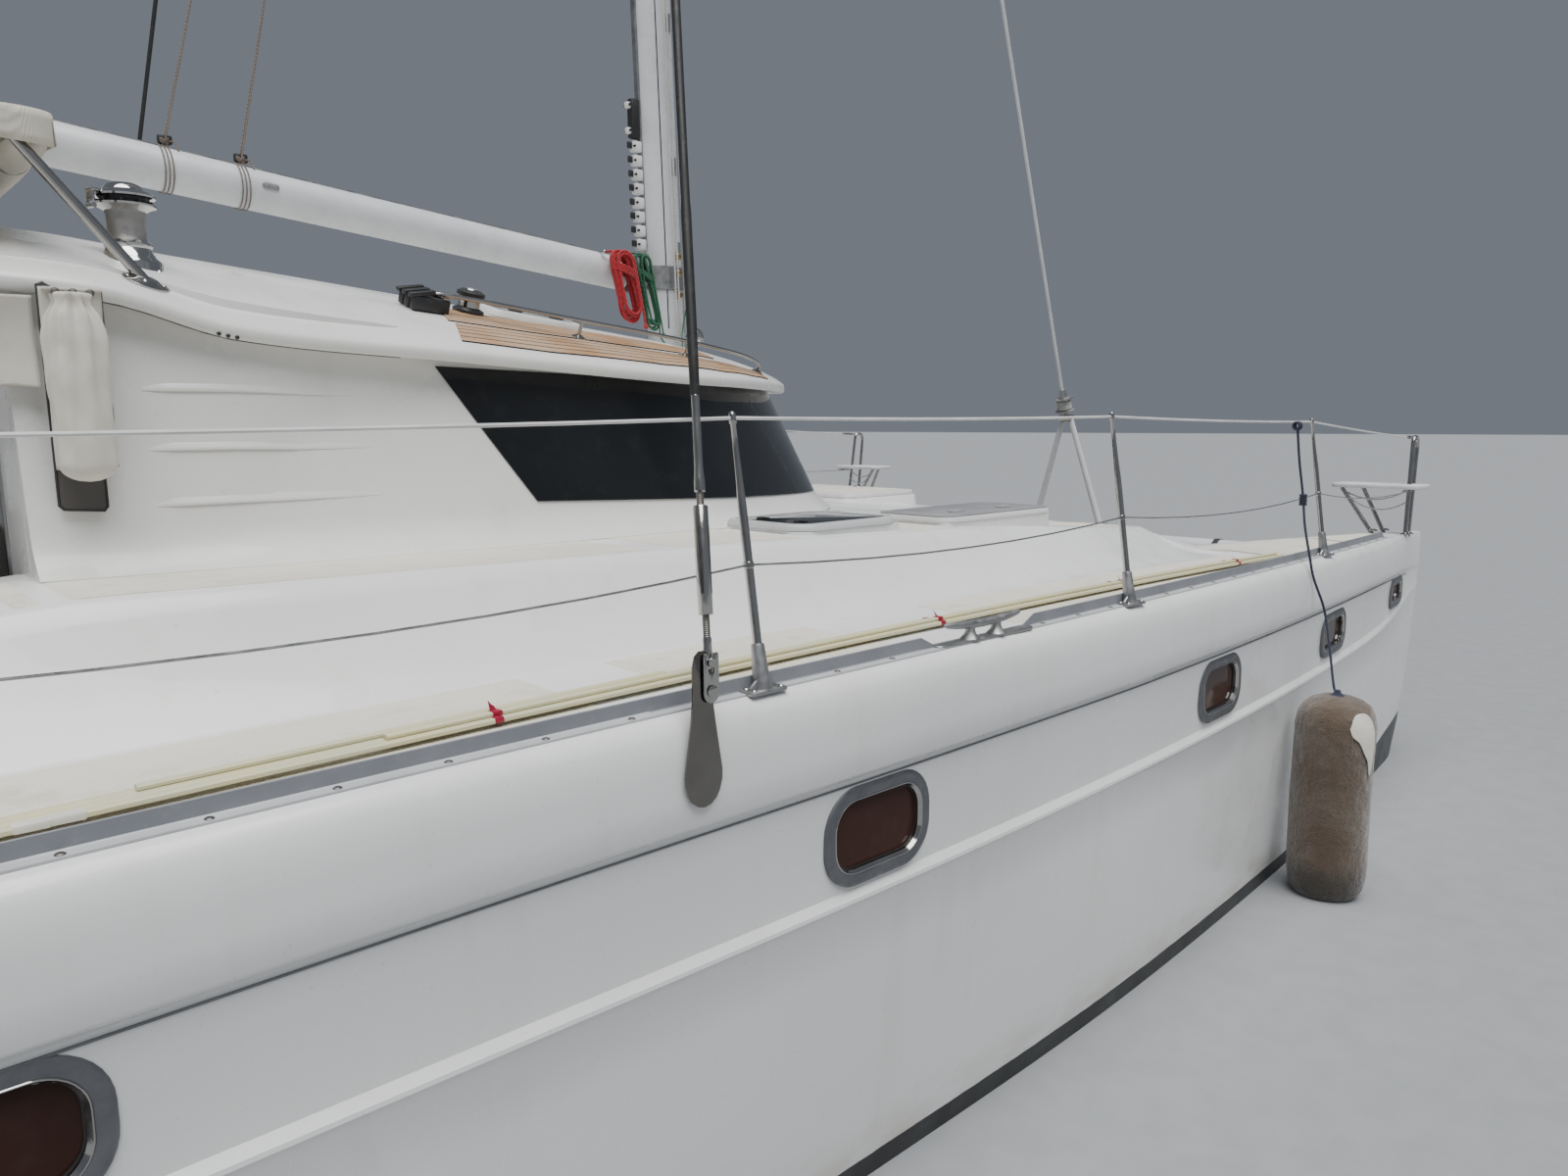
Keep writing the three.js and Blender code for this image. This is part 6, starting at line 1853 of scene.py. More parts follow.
def build_fender():
    at = Vector((3.115, -2.872, 0))
    rows = [(0.0, -0.04), (0.05, -0.038), (0.095, -0.022), (0.135, 0.008), (0.158, 0.05), (0.168, 0.1)]
    profile = rows + [(0.170, 0.1 + k * 0.07) for k in range(1, 10)] + [
        (0.168, 0.79), (0.16, 0.84), (0.142, 0.878), (0.11, 0.902), (0.07, 0.917), (0.03, 0.923), (0.0, 0.924)]
    bm = bmesh.new()
    turned(bm, profile, Matrix.Translation((at.x, at.y, 0)), 56)
    for vert in bm.verts:
        out = Vector((vert.co.x - at.x, vert.co.y - at.y, 0))
        if out.length > 0.02:
            angle = math.atan2(out.y, out.x)
            wave = 0.003 * math.sin(3 * angle + vert.co.z * 5) + 0.0025 * noise.noise(vert.co * 9)
            fold = 0.0045 * math.sin(26 * angle) * max(0, 1 - abs(vert.co.z - 0.80) / 0.05)
            vert.co += out.normalized() * (wave + fold - 0.004)
    cover = piece("fender_cover", bm, "fleece", replaces="fender", angle=70)
    bm = bmesh.new()
    # Columns: angle round the fender and height of the torn cover's edge
    torn = ((-2.42, 0.81), (-2.28, 0.862), (-2.05, 0.874), (-1.8, 0.862), (-1.64, 0.81), (-1.6, 0.72),
            (-1.7, 0.62), (-1.78, 0.60), (-1.86, 0.66), (-2.0, 0.70), (-2.16, 0.75), (-2.34, 0.775))
    made = bmesh.new()
    line = bmesh.ops.create_circle(made, cap_ends=True, segments=len(torn) * 3, radius=1)["verts"]
    ring = curve_through([Vector((a, z, 0)) for a, z in torn + torn[:1]], 3)[:-1]
    for vert, point in zip(line, ring):
        vert.co = point
    bmesh.ops.triangulate(made, faces=made.faces[:])
    bmesh.ops.subdivide_edges(made, edges=made.edges[:], cuts=3, use_grid_fill=True)
    for vert in made.verts:
        angle, z = vert.co.x, vert.co.y
        radius = read([(high, wide) for wide, high in profile[3:]], z, 1) + 0.001
        vert.co = (at.x + radius * math.cos(angle), at.y + radius * math.sin(angle), z)
    keep(bm, made)
    thicken(bm, 0.003)
    piece("fender_torn_patch", bm, "torn_patch", angle=60)
    bm = bmesh.new()
    line = curve_through([Vector((3.115, -2.872, 0.93)), Vector((3.127, -2.85, 0.957)),
                          Vector((3.205, -2.79, 1.12)),
                          Vector((3.262, -2.735, 1.274)), Vector((3.21, -2.70, 1.42)),
                          Vector((3.177, -2.69, 1.52)),
                          Vector((3.2, -2.65, 1.66)), Vector((3.236, -2.62, 1.784)),
                          Vector((3.22, -2.60, 1.95)), Vector((3.2, -2.592, 2.095))], 6)
    tube(bm, line, 0.0055, 8)
    for k in range(3):
        tube(bm, [Vector((3.2 + 0.012 * (k - 1), -2.59 + 0.014 * math.cos(a), 2.106 + 0.016 * math.sin(a)))
                  for a in
                  (math.tau * j / 16 for j in range(16))], 0.005, 8, closed=True)
    for k in range(5):
        tube(bm, [Vector((3.238 + 0.013 * math.cos(a), -2.62 + 0.013 * math.sin(a), 1.75 + 0.0105 * k)) for a in
                  (math.tau * j / 16 for j in range(16))], 0.0052, 8, closed=True)
    turned(bm, [(0.0, 0.028), (0.012, 0.026), (0.016, 0.014), (0.024, 0.006), (0.04, 0.0)],
           Matrix.Translation((3.115, -2.872, 0.919)), 20)
    piece("fender_lanyard", bm, "navy_line", merge=0)


class CATAMARAN_OT_rails(bpy.types.Operator):
    """Fits the toe rails, stanchions, lifelines, cleats and end rails"""
    bl_idname = "catamaran.rails"
    bl_label = "Rails and cleats"

    def execute(self, context):
        for name, side in SIDES:
            build_toe_rail(name, side)
            build_stanchions(name, side)
            build_lifelines(name, side)
            build_cleat(name, side)
            build_bow_rail(name, side)
            build_stern_rail(name, side)
        return {"FINISHED"}


class CATAMARAN_OT_deck_gear(bpy.types.Operator):
    """Lays the spare battens along the rail and hangs the fender"""
    bl_idname = "catamaran.deck_gear"
    bl_label = "Battens and fender"

    def execute(self, context):
        build_battens()
        build_fender()
        return {"FINISHED"}


# Roof gear

# Columns: x, inner and outer breadth
TEAK_BANDS = (
    ((-0.335, 1.425, 1.562), (0.0, 1.40, 1.537), (0.5, 1.335, 1.462), (0.86, 1.262, 1.372), (1.1, 1.19, 1.268),
     (1.25, 1.135, 1.18)),
    ((-0.30, 1.235, 1.408), (0.0, 1.215, 1.384), (0.4, 1.17, 1.328), (0.7, 1.12, 1.262), (0.95, 1.07, 1.19)),
)


def roof_out(x, y):
    """Outward direction of the roof."""
    step = 0.01
    along_x = Vector((2 * step, 0, roof_top(x + step, y) - roof_top(x - step, y)))
    along_y = Vector((0, 2 * step, roof_top(x, y + step) - roof_top(x, y - step)))
    return along_x.cross(along_y).normalized()


def on_roof(x, y, lift=0.0):
    return Vector((x, y, roof_top(x, y))) + roof_out(x, y) * lift


def roof_place(x, y, turn=0.0, lift=0.0):
    """Placing flat on the roof."""
    tilt = Vector((0, 0, 1)).rotation_difference(roof_out(x, y)).to_matrix().to_4x4()
    return Matrix.Translation(on_roof(x, y, lift)) @ tilt @ Matrix.Rotation(turn, 4, "Z")


def build_teak(name, side):
    bm = bmesh.new()
    for rows in TEAK_BANDS:
        made = bmesh.new()
        bmesh.ops.create_grid(made, x_segments=40, y_segments=8, size=0.5)
        across = made.loops.layers.uv.new("UVMap")
        for vert in made.verts:
            u, v = vert.co.x + 0.5, vert.co.y + 0.5
            x = rows[0][0] + (rows[-1][0] - rows[0][0]) * u
            inner, outer = read(rows, x, 1), read(rows, x, 2)
            x += 0.05 * (1 - v) * max(0, 1 - u * 8)
            for loop in vert.link_loops:
                loop[across].uv = (x, (1 - v) * (outer - inner))
            vert.co = on_roof(x, side * (inner + (outer - inner) * v), 0.0035)
        keep(bm, made)
    thicken(bm, 0.004)
    piece("teak_bands_" + name, bm, "teak", merge=0)


def build_handrail(name, side):
    bars, feet = bmesh.new(), bmesh.new()
    line = [(-0.333, 1.294, 0.0), (-0.31, 1.296, 0.04), (-0.25, 1.305, 0.058), (0.221, 1.335, 0.062),
            (0.62, 1.31, 0.062), (0.99, 1.24, 0.056), (1.17, 1.165, 0.044), (1.215, 1.145, 0.026),
            (1.225, 1.14, 0.0)]
    tube(bars, curve_through([on_roof(x, side * o, lift) for x, o, lift in line], 6), 0.0072, 14)
    for x, o in ((0.221, 1.335), (0.72, 1.296)):
        rod(bars, on_roof(x, side * o, 0.0), on_roof(x, side * o, 0.061), 0.0065, sides=14)
    for x, o in ((-0.333, 1.294), (0.221, 1.335), (0.72, 1.296), (1.225, 1.14)):
        turned(feet, [(0.0105, 0.012), (0.018, 0.008), (0.026, 0.004), (0.026, 0)], roof_place(x, side * o), 20)
    piece("roof_handrail_" + name, bars, "stainless", merge=0)
    piece("roof_handrail_feet_" + name, feet, "stainless", merge=0)


def framed_light(frames, panes, place, length, width, corner, high):
    """Low hatch: a frame with rounded corners round a raised dark lens."""
    steps = 6
    edge_band(frames, length, width, corner, ((0, 0), (0.002, high * 0.6), (0.008, high), (0.03, high),
                                              (0.034, high - 0.003)), place, steps)
    plate(panes, rounded_outline(length - 0.066, width - 0.066, max(0.004, corner - 0.033), steps),
          high + 0.001,
          place @ Matrix.Translation((0, 0, 0.001)), 0.002)


def build_roof_lights(name, side):
    frames, panes, small = bmesh.new(), bmesh.new(), bmesh.new()
    length, width = 0.36, 0.2
    place = roof_place(0.165, side * 1.10, side * 0.09)
    framed_light(frames, panes, place, length, width, 0.045, 0.022)
    for k in (-1, 1):
        made = bmesh.new()
        slab(made, (k * length * 0.28, -side * (width / 2 - 0.006), 0.02), (0.05, 0.022, 0.016), 0.004)
        slab(made, (k * length * 0.22, side * (width / 2 - 0.05), 0.026), (0.05, 0.02, 0.012), 0.004)
        keep(small, made, place)
    piece("roof_light_frames_" + name, frames, "white_plastic", merge=0)
    piece("roof_light_panes_" + name, panes, "lens_grey", merge=0)
    piece("roof_light_hinges_" + name, small, "black_plastic", merge=0)


def build_clutches(name, side):
    black, bright = bmesh.new(), bmesh.new()
    place = roof_place(-0.33, side * 1.30, side * -0.1)
    made = bmesh.new()
    for k in range(3):
        slab(made, (0, -0.036 + 0.036 * k, 0.024), (0.13, 0.03, 0.045), 0.008)
        slab(made, (-0.035, -0.036 + 0.036 * k, 0.055), (0.09, 0.022, 0.014), 0.005,
             Matrix.Rotation(-0.22, 4, "Y"))
    keep(black, made, place)
    made = bmesh.new()
    for k in range(3):
        slab(made, (0.05, -0.036 + 0.036 * k, 0.05), (0.03, 0.026, 0.006), 0.002)
    keep(bright, made, place)
    place = roof_place(-0.135, side * 1.22, side * -0.1)
    made = bmesh.new()
    turned(made, [(0.052, 0), (0.052, 0.012), (0.036, 0.02), (0.034, 0.05), (0.046, 0.058), (0.046, 0.07),
                  (0.03, 0.078), (0, 0.08)], Matrix(), 32)
    keep(black, made, place)
    made = bmesh.new()
    turned(made, [(0.0365, 0.022), (0.036, 0.03), (0.036, 0.045), (0.0365, 0.048)], Matrix(), 32)
    turned(made, [(0, 0.0815), (0.02, 0.0815), (0.024, 0.078)], Matrix(), 24)
    keep(bright, made, place)
    piece("roof_clutches_" + name, black, "black_plastic", merge=0)
    piece("roof_clutch_plates_" + name, bright, "stainless", merge=0)


def build_winch(name, side):
    x, y = -1.165, side * 1.35
    base = Matrix.Translation((x, y, 2.578))
    bright, drum, dark = bmesh.new(), bmesh.new(), bmesh.new()
    turned(bright, [(0.078, -0.022), (0.0785, -0.018), (0.0785, 0.002), (0.075, 0.008), (0.066, 0.016),
                    (0.0575, 0.03),
                    (0.054, 0.04), (0.0575, 0.045), (0.0575, 0.052), (0.049, 0.06)], base, 48)
    turned(drum, [(0.049, 0.058), (0.0465, 0.066), (0.0455, 0.09), (0.046, 0.12), (0.049, 0.136)], base, 48)
    turned(bright, [(0.048, 0.134), (0.062, 0.142), (0.074, 0.146), (0.075, 0.151), (0.06, 0.153)], base, 48)
    turned(dark, [(0.058, 0.152), (0.056, 0.16), (0.058, 0.168)], base, 48)
    turned(bright, [(0.06, 0.167), (0.074, 0.169), (0.075, 0.174), (0.066, 0.182), (0.05, 0.188), (0.042, 0.2),
                    (0.03, 0.206), (0.014, 0.207), (0.014, 0.19), (0, 0.19)], base, 48)
    for k in range(10):
        a = math.tau * k / 10
        made = bmesh.new()
        slab(made, (0.064, 0, 0.156), (0.014, 0.006, 0.008), 0.0015)
        keep(dark, made, base @ Matrix.Rotation(a, 4, "Z"))
    turn = Matrix.Rotation(math.radians(200 if side < 0 else 160), 4, "Z")
    made = bmesh.new()
    slab(made, (0.062, 0, 0.178), (0.06, 0.03, 0.007), 0.002)
    slab(made, (0.088, 0, 0.162), (0.008, 0.026, 0.04), 0.002)
    rod(made, (0.088, -0.013, 0.138), (0.088, 0.013, 0.138), 0.007, sides=16)
    keep(bright, made, base @ turn)
    for k in range(8):
        a = math.tau * k / 8
        turned(bright, [(0, 0.004), (0.004, 0.0035), (0.006, 0)],
               base @ Matrix.Translation((0.0785 * math.cos(a), 0.0785 * math.sin(a), -0.02))
               @ Matrix.Rotation(a, 4, "Z") @ Matrix.Rotation(math.pi / 2, 4, "Y"), 8)
    plinth = bmesh.new()
    turned(plinth, [(0.088, -0.09), (0.088, -0.03), (0.084, -0.022), (0.07, -0.02)], base, 40)
    piece("winch_plinth_" + name, plinth, "cast_grey", merge=0)
    piece("winch_body_" + name, bright, "polished", replaces="winch_" + name, merge=0)
    piece("winch_drum_" + name, drum, "drum_grip", merge=0)
    piece("winch_jaws_" + name, dark, "black_plastic", merge=0)


class CATAMARAN_OT_roof_gear(bpy.types.Operator):
    """Fits the teak, handrails, lights, clutches and winches to the roof"""
    bl_idname = "catamaran.roof_gear"
    bl_label = "Roof gear"

    def execute(self, context):
        for name, side in SIDES:
            build_teak(name, side)
            build_handrail(name, side)
            build_roof_lights(name, side)
            build_clutches(name, side)
            build_winch(name, side)
        return {"FINISHED"}


# Hatches and lids

def build_hatch(name, side):
    """Dark lens in a grey frame, over the well in the ledge."""
    low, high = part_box("hatch_" + name)
    middle, size = (low + high) / 2, high - low
    top = 1.7677
    frame_bm, lens, small = bmesh.new(), bmesh.new(), bmesh.new()
    place = Matrix.Translation((middle.x, middle.y, top))
    steps = 9
    edge_band(frame_bm, size.x, size.y, 0.1, ((0.004, 0.0005), (0.0, 0.004), (0.002, 0.016), (0.01, 0.0248),
                                              (0.032, 0.0268),
                                              (0.036, 0.0248), (0.036, 0.006), (0.07, 0.0006),
                                              (0.004, 0.0005)), place)
    plate(lens, rounded_outline(size.x - 0.074, size.y - 0.074, 0.063, steps), 0.012,
          place @ Matrix.Translation((0, 0, 0.0125)), 0.003)
    for k in (-1, 1):
        made = bmesh.new()
        turned(made, [(0.016, 0), (0.016, 0.004), (0.01, 0.0065), (0, 0.0065)], Matrix(), 20)
        slab(made, (0.0, side * 0.02, 0.0045), (0.014, 0.05, 0.006), 0.002)
        keep(small, made, place @ Matrix.Translation((-size.x * 0.3, k * size.y * 0.22, 0.0245)))
    piece("hatch_frame_" + name, frame_bm, "hatch_frame", body="hatch_" + name, replaces="hatch_" + name)
    piece("hatch_lens_" + name, lens, "dark_glass", body="hatch_" + name)
    piece("hatch_catches_" + name, small, "black_plastic", body="hatch_" + name, merge=0)
    made = bmesh.new()
    for k in (-1, 1):
        at = Vector((high.x + 0.006, middle.y + k * size.y * 0.28, top + 0.016))
        slab(made, at + Vector((0.004, 0, -0.01)), (0.018, 0.05, 0.01), 0.002)
        rod(made, at + Vector((-0.004, -0.022, 0.004)), at + Vector((-0.004, 0.022, 0.004)), 0.0045)
    piece("hatch_hinges_" + name, made, "stainless", merge=0)


def build_locker_lid(name, side):
    low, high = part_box("locker_lid_" + name)
    middle, size = (low + high) / 2, high - low
    top = 1.738
    place = Matrix.Translation((middle.x, middle.y, top))
    under, over, grips = bmesh.new(), bmesh.new(), bmesh.new()
    plate(under, rounded_outline(size.x, size.y, 0.06), 0.02, place @ Matrix.Translation((0, 0, 0.0005)), 0.004)
    plate(over, rounded_outline(size.x - 0.012, size.y - 0.012, 0.055), 0.0075,
          place @ Matrix.Translation((0, 0, 0.0198)), 0.003)
    for k in (-1, 1):
        made = bmesh.new()
        slab(made, (0, 0, 0.004), (0.075, 0.034, 0.008), 0.003)
        slab(made, (0, 0, 0.009), (0.05, 0.012, 0.008), 0.003)
        keep(grips, made, place @ Matrix.Translation((k * size.x * 0.22, side * size.y * 0.2, 0.0262)))
    piece("locker_lid_edge_" + name, under, "gelcoat", body="locker_lid_" + name, replaces="locker_lid_" + name)
    piece("locker_lid_top_" + name, over, "lid_grey", body="locker_lid_" + name)
    piece("locker_lid_grips_" + name, grips, "grey_plastic", body="locker_lid_" + name, merge=0)
    made = bmesh.new()
    for k in (-1, 1):
        at = Vector((high.x + 0.006, middle.y + k * size.y * 0.28, top + 0.012))
        slab(made, at + Vector((0.004, 0, -0.006)), (0.018, 0.05, 0.008), 0.002)
        rod(made, at + Vector((-0.004, -0.022, 0.006)), at + Vector((-0.004, 0.022, 0.006)), 0.0045)
    piece("locker_lid_hinges_" + name, made, "stainless", merge=0)


def moulded_lid(node, edge_name, top_name):
    """Gelcoat lid with a rounded rim and a raised non-skid panel."""
    low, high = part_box(node)
    middle, size = (low + high) / 2, high - low
    place = Matrix.Translation((middle.x, middle.y, low.z))
    edge, top, grip = bmesh.new(), bmesh.new(), bmesh.new()
    plate(edge, rounded_outline(size.x, size.y, 0.05), size.z - 0.003, place, 0.005)
    plate(top, rounded_outline(size.x - 0.09, size.y - 0.09, 0.035), 0.0028,
          place @ Matrix.Translation((0, 0, size.z - 0.003)), 0.001)
    piece(edge_name, edge, "gelcoat", body=node, replaces=node)
    piece(top_name, top, "non_skid", body=node)
    side = 1 if node.startswith("anchor") else -1
    made = bmesh.new()
    turned(made, [(0.0, 0.0005), (0.02, 0.0005), (0.021, 0.002), (0.027, 0.0025), (0.03, 0.0)], Matrix(), 28)
    slab(made, (0, 0, 0.0025), (0.034, 0.007, 0.003), 0.001)
    keep(grip, made, place @ Matrix.Translation((side * (size.x / 2 - 0.055), 0, size.z + 0.0002)))
    piece(edge_name + "_latch", grip, "stainless", body=node, merge=0)


def build_well_rims(name, side):
    """Raised rims that the lids close on."""
    bm = bmesh.new()
    holes = [(xs, ys, depth, top) for _, xs, ys, depth, top in WELLS]
    holes.append((ENGINE_BAY["x"], ENGINE_BAY["y"], 0.2, ENGINE_BAY["top"]))
    for xs, ys, depth, top in holes:
        place = Matrix.Translation(((xs[0] + xs[1]) / 2, side * (ys[0] + ys[1]) / 2, top))
        edge_band(bm, xs[1] - xs[0] + 0.044, ys[1] - ys[0] + 0.044, 0.026,
                  ((0, -0.06), (0, -0.001), (0.002, 0), (0.0225, 0), (0.0225, -depth)), place, 3)
    piece("well_rims_" + name, bm, "gelcoat", merge=0)


class CATAMARAN_OT_lids(bpy.types.Operator):
    """Fits the hatches and the lids over the wells and bays"""
    bl_idname = "catamaran.lids"
    bl_label = "Hatches and lids"

    def execute(self, context):
        for name, side in SIDES:
            build_hatch(name, side)
            build_locker_lid(name, side)
            build_well_rims(name, side)
            moulded_lid("engine_lid_" + name, "engine_lid_rim_" + name, "engine_lid_tread_" + name)
        moulded_lid("anchor_locker_lid", "anchor_lid_rim", "anchor_lid_tread")
        low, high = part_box("anchor_locker_lid")
        bm = bmesh.new()
        edge_band(bm, high.x - low.x + 0.03, high.y - low.y + 0.03, 0.06,
                  ((-0.012, -0.11), (0.0, -0.006), (0.004, -0.001), (0.03, -0.001), (0.03, -0.2)),
                  Matrix.Translation(((low.x + high.x) / 2, 0, low.z)), 6)
        piece("anchor_well_rim", bm, "gelcoat", merge=0)
        return {"FINISHED"}


# Bimini and curtains

BIMINI = {"front": -1.44, "aft": -4.25, "half": 1.52, "z": 2.85, "foot": (-1.18, 1.56)}


def build_bimini_frame():
    bars, flanges, clamps = bmesh.new(), bmesh.new(), bmesh.new()
    b = BIMINI
    for side in (-1, 1):
        foot = on_roof(b["foot"][0], side * b["foot"][1])
        top = Vector((b["front"], side * b["half"], b["z"]))
        rod(bars, foot, top, 0.0142, sides=24)
        place = roof_place(b["foot"][0] - 0.002, side * b["foot"][1])
        made = bmesh.new()
        turned(made, [(0, 0.014), (0.02, 0.013), (0.028, 0.007), (0.04, 0.005), (0.044, 0.003),
                      (0.044, -0.002)],
               Matrix.Diagonal((1.25, 0.9, 1, 1)), 36)
        keep(flanges, made, place)
        for k in (-1, 1):
            made = bmesh.new()
            turned(made, [(0, 0.0055), (0.004, 0.005), (0.006, 0.003)], Matrix(), 10)
            keep(flanges, made, place @ Matrix.Translation((k * 0.042, 0, 0.0025)))
        tube(bars, [Vector((b["front"], side * b["half"], b["z"])),
                    Vector((b["aft"], side * b["half"], b["z"]))],
             0.0142, 16)
        post = Vector((b["aft"], side * 1.6, deck_height(b["aft"], 2.3) + 0.002))
        rod(bars, post, (b["aft"], side * b["half"], b["z"]), 0.016, sides=20)
        turned(flanges, [(0.016, 0.02), (0.024, 0.014), (0.04, 0.006), (0.045, 0.003), (0.045, 0)],
               Matrix.Translation(post), 28)
        for x in (-2.38, -3.32):
            turned(clamps, [(0.0145, -0.018), (0.019, -0.016), (0.019, 0.016), (0.0145, 0.018)],
                   Matrix.Translation((x, side * b["half"], b["z"])) @ Matrix.Rotation(math.pi / 2, 4, "Y"), 20)
    for x in (b["front"], -2.38, -3.32, b["aft"]):
        tube(bars, [Vector((x, b["half"] * t / 10, b["z"])) for t in range(-10, 11)], 0.013, 14)
    piece("bimini_bars", bars, "stainless", replaces="bimini_frame", merge=0)
    piece("bimini_flanges", flanges, "stainless", merge=0)
    piece("bimini_clamps", clamps, "black_plastic", merge=0)


def build_bimini_canopy():
    bows = (-1.44, -2.38, -3.32, -4.25)
    low = BIMINI["z"] + 0.0163
    front, aft, half = -1.34, -4.32, 1.56

    def reach(x):
        near = max(0, 1 - (front - x) / 0.09, 1 - (x - aft) / 0.09)
        return half - 0.055 * (1 - math.sqrt(1 - min(1, near) ** 2))

    def along_edge(u):
        return front + (aft - front) * (0.5 - 0.5 * math.cos(math.pi * u))

    def place(u, v):
        x, s = along_edge(u), 2 * v - 1
        near = min(abs(x - bow) for bow in bows)
        sag = 0.010 * min(1, near / 0.3) * (1 - s * s)
        ripple = 0.0015 * math.sin(30 * s) * (1 - min(1, near / 0.2))
        y = reach(x) * s
        return Vector((x + 0.02 * (1 - s * s) * (1 if u > 0.5 else -1) * abs(2 * u - 1) ** 8, y,
                       low + 0.028 + 0.066 * (1 - s * s) - sag + ripple))
    bm = bmesh.new()
    grid(bm, 60, 60, place)
    canopy = piece("bimini_cloth", bm, "canvas", replaces="bimini_canopy", angle=60)
    canopy.modifiers.new("cloth", "SOLIDIFY").thickness = 0.002
    skirt = bmesh.new()
    for side in (-1, 1):
        grid(skirt, 60, 4, lambda u, v, side=side: Vector((
            along_edge(u), side * (reach(along_edge(u)) + 0.002 - 0.004 * v), low + 0.028 - 0.075 * v
            - 0.004 * math.sin(22 * u) * v)))
    for x, lean in ((front, 1), (aft, -1)):
        grid(skirt, 60, 4, lambda u, v, x=x, lean=lean: Vector((
            x + lean * 0.004 * v, reach(x) * (2 * u - 1), low + 0.028 + 0.066 * (1 - (2 * u - 1) ** 2)
            - 0.07 * v)))
    edge = piece("bimini_skirt", skirt, "canvas", angle=60)
    edge.modifiers.new("cloth", "SOLIDIFY").thickness = 0.002
    bm = bmesh.new()
    for k in (-1, 1):
        for x in bows:
            share = (x + k * 0.03 - front) / (aft - front)
            tube(bm, [place(math.acos(1 - 2 * share) / math.pi, t / 30) + Vector((0, 0, 0.001))
                      for t in range(31)], 0.0012, 4)
    seams = piece("bimini_seams", bm, "seam_thread", merge=0)


def build_canopy_roll():
    """Front curtain of the canopy, rolled up under its forward edge and tied."""
    bm, ties = bmesh.new(), bmesh.new()
    rings = []
    for y in spaced(-1.535, 1.535, 0.035):
        ends = min(1, math.sqrt(max(0.0, 1 - (abs(y) / 1.54) ** 24)))
        tied = 1 - 0.16 * max(math.exp(-((y - t) / 0.03) ** 2) for t in (-1.2, -0.45, 0.45, 1.2))
        ring = []
        for k in range(36):
            a = math.tau * k / 36
            fold = 0.0035 * math.sin(5 * a + 3.1 * y) + 0.004 * noise.noise(Vector((3 * math.cos(a), 5 * y,
                                                                                    3 * math.sin(a))))
            r = (0.05 * tied + fold) * max(0.05, ends)
            ring.append(Vector((-1.385 + r * math.cos(a), y, 2.845 + 0.95 * r * math.sin(a))))
        rings.append(ring)
    loft(bm, rings)
    roll = piece("canopy_roll", bm, "canvas", angle=70)
    for y in (-1.2, -0.45, 0.45, 1.2):
        tube(ties, [Vector((-1.385 + 0.0445 * math.cos(a), y, 2.845 + 0.0425 * math.sin(a)))
                    for a in (math.tau * k / 32 for k in range(32))], 0.004, 6, closed=True)
    piece("canopy_roll_ties", ties, "grey_plastic", merge=0)


def gathered(bm, centre, size, depth, folds, seed, droop=0.0, count=64, rows=36):
    """Hanging cloth bag: gathered at the top, full below, with folds that fade downwards."""
    rings = []
    for j in range(rows + 1):
        t = j / rows
        z = centre.z + size[2] * (0.5 - t)
        full = min(1, 0.62 + 1.6 * t) * (1 if t < 0.9 else math.sqrt(max(0.0, 1 - ((t - 0.9) / 0.105) ** 2)))
        full = max(full, 0.12)
        pinch = 1 - 0.3 * math.exp(-((t - 0.06) / 0.035) ** 2)
        ring = []
        for k in range(count):
            a = math.tau * k / count
            point = Vector((math.cos(a), math.sin(a), 2.5 * t))
            wrinkle = depth * (math.sin(folds * a + seed + 2 * t) * (1 - 0.8 * t)
                               + 1.1 * noise.noise(point * 2.2 + Vector((seed, 0, 0))))
            ring.append(Vector((centre.x + (size[0] * full * pinch + wrinkle) * math.cos(a) + droop * t * t,
                                centre.y + (size[1] * full * pinch + wrinkle * 0.8) * math.sin(a), z)))
        rings.append(ring)
    loft(bm, rings)


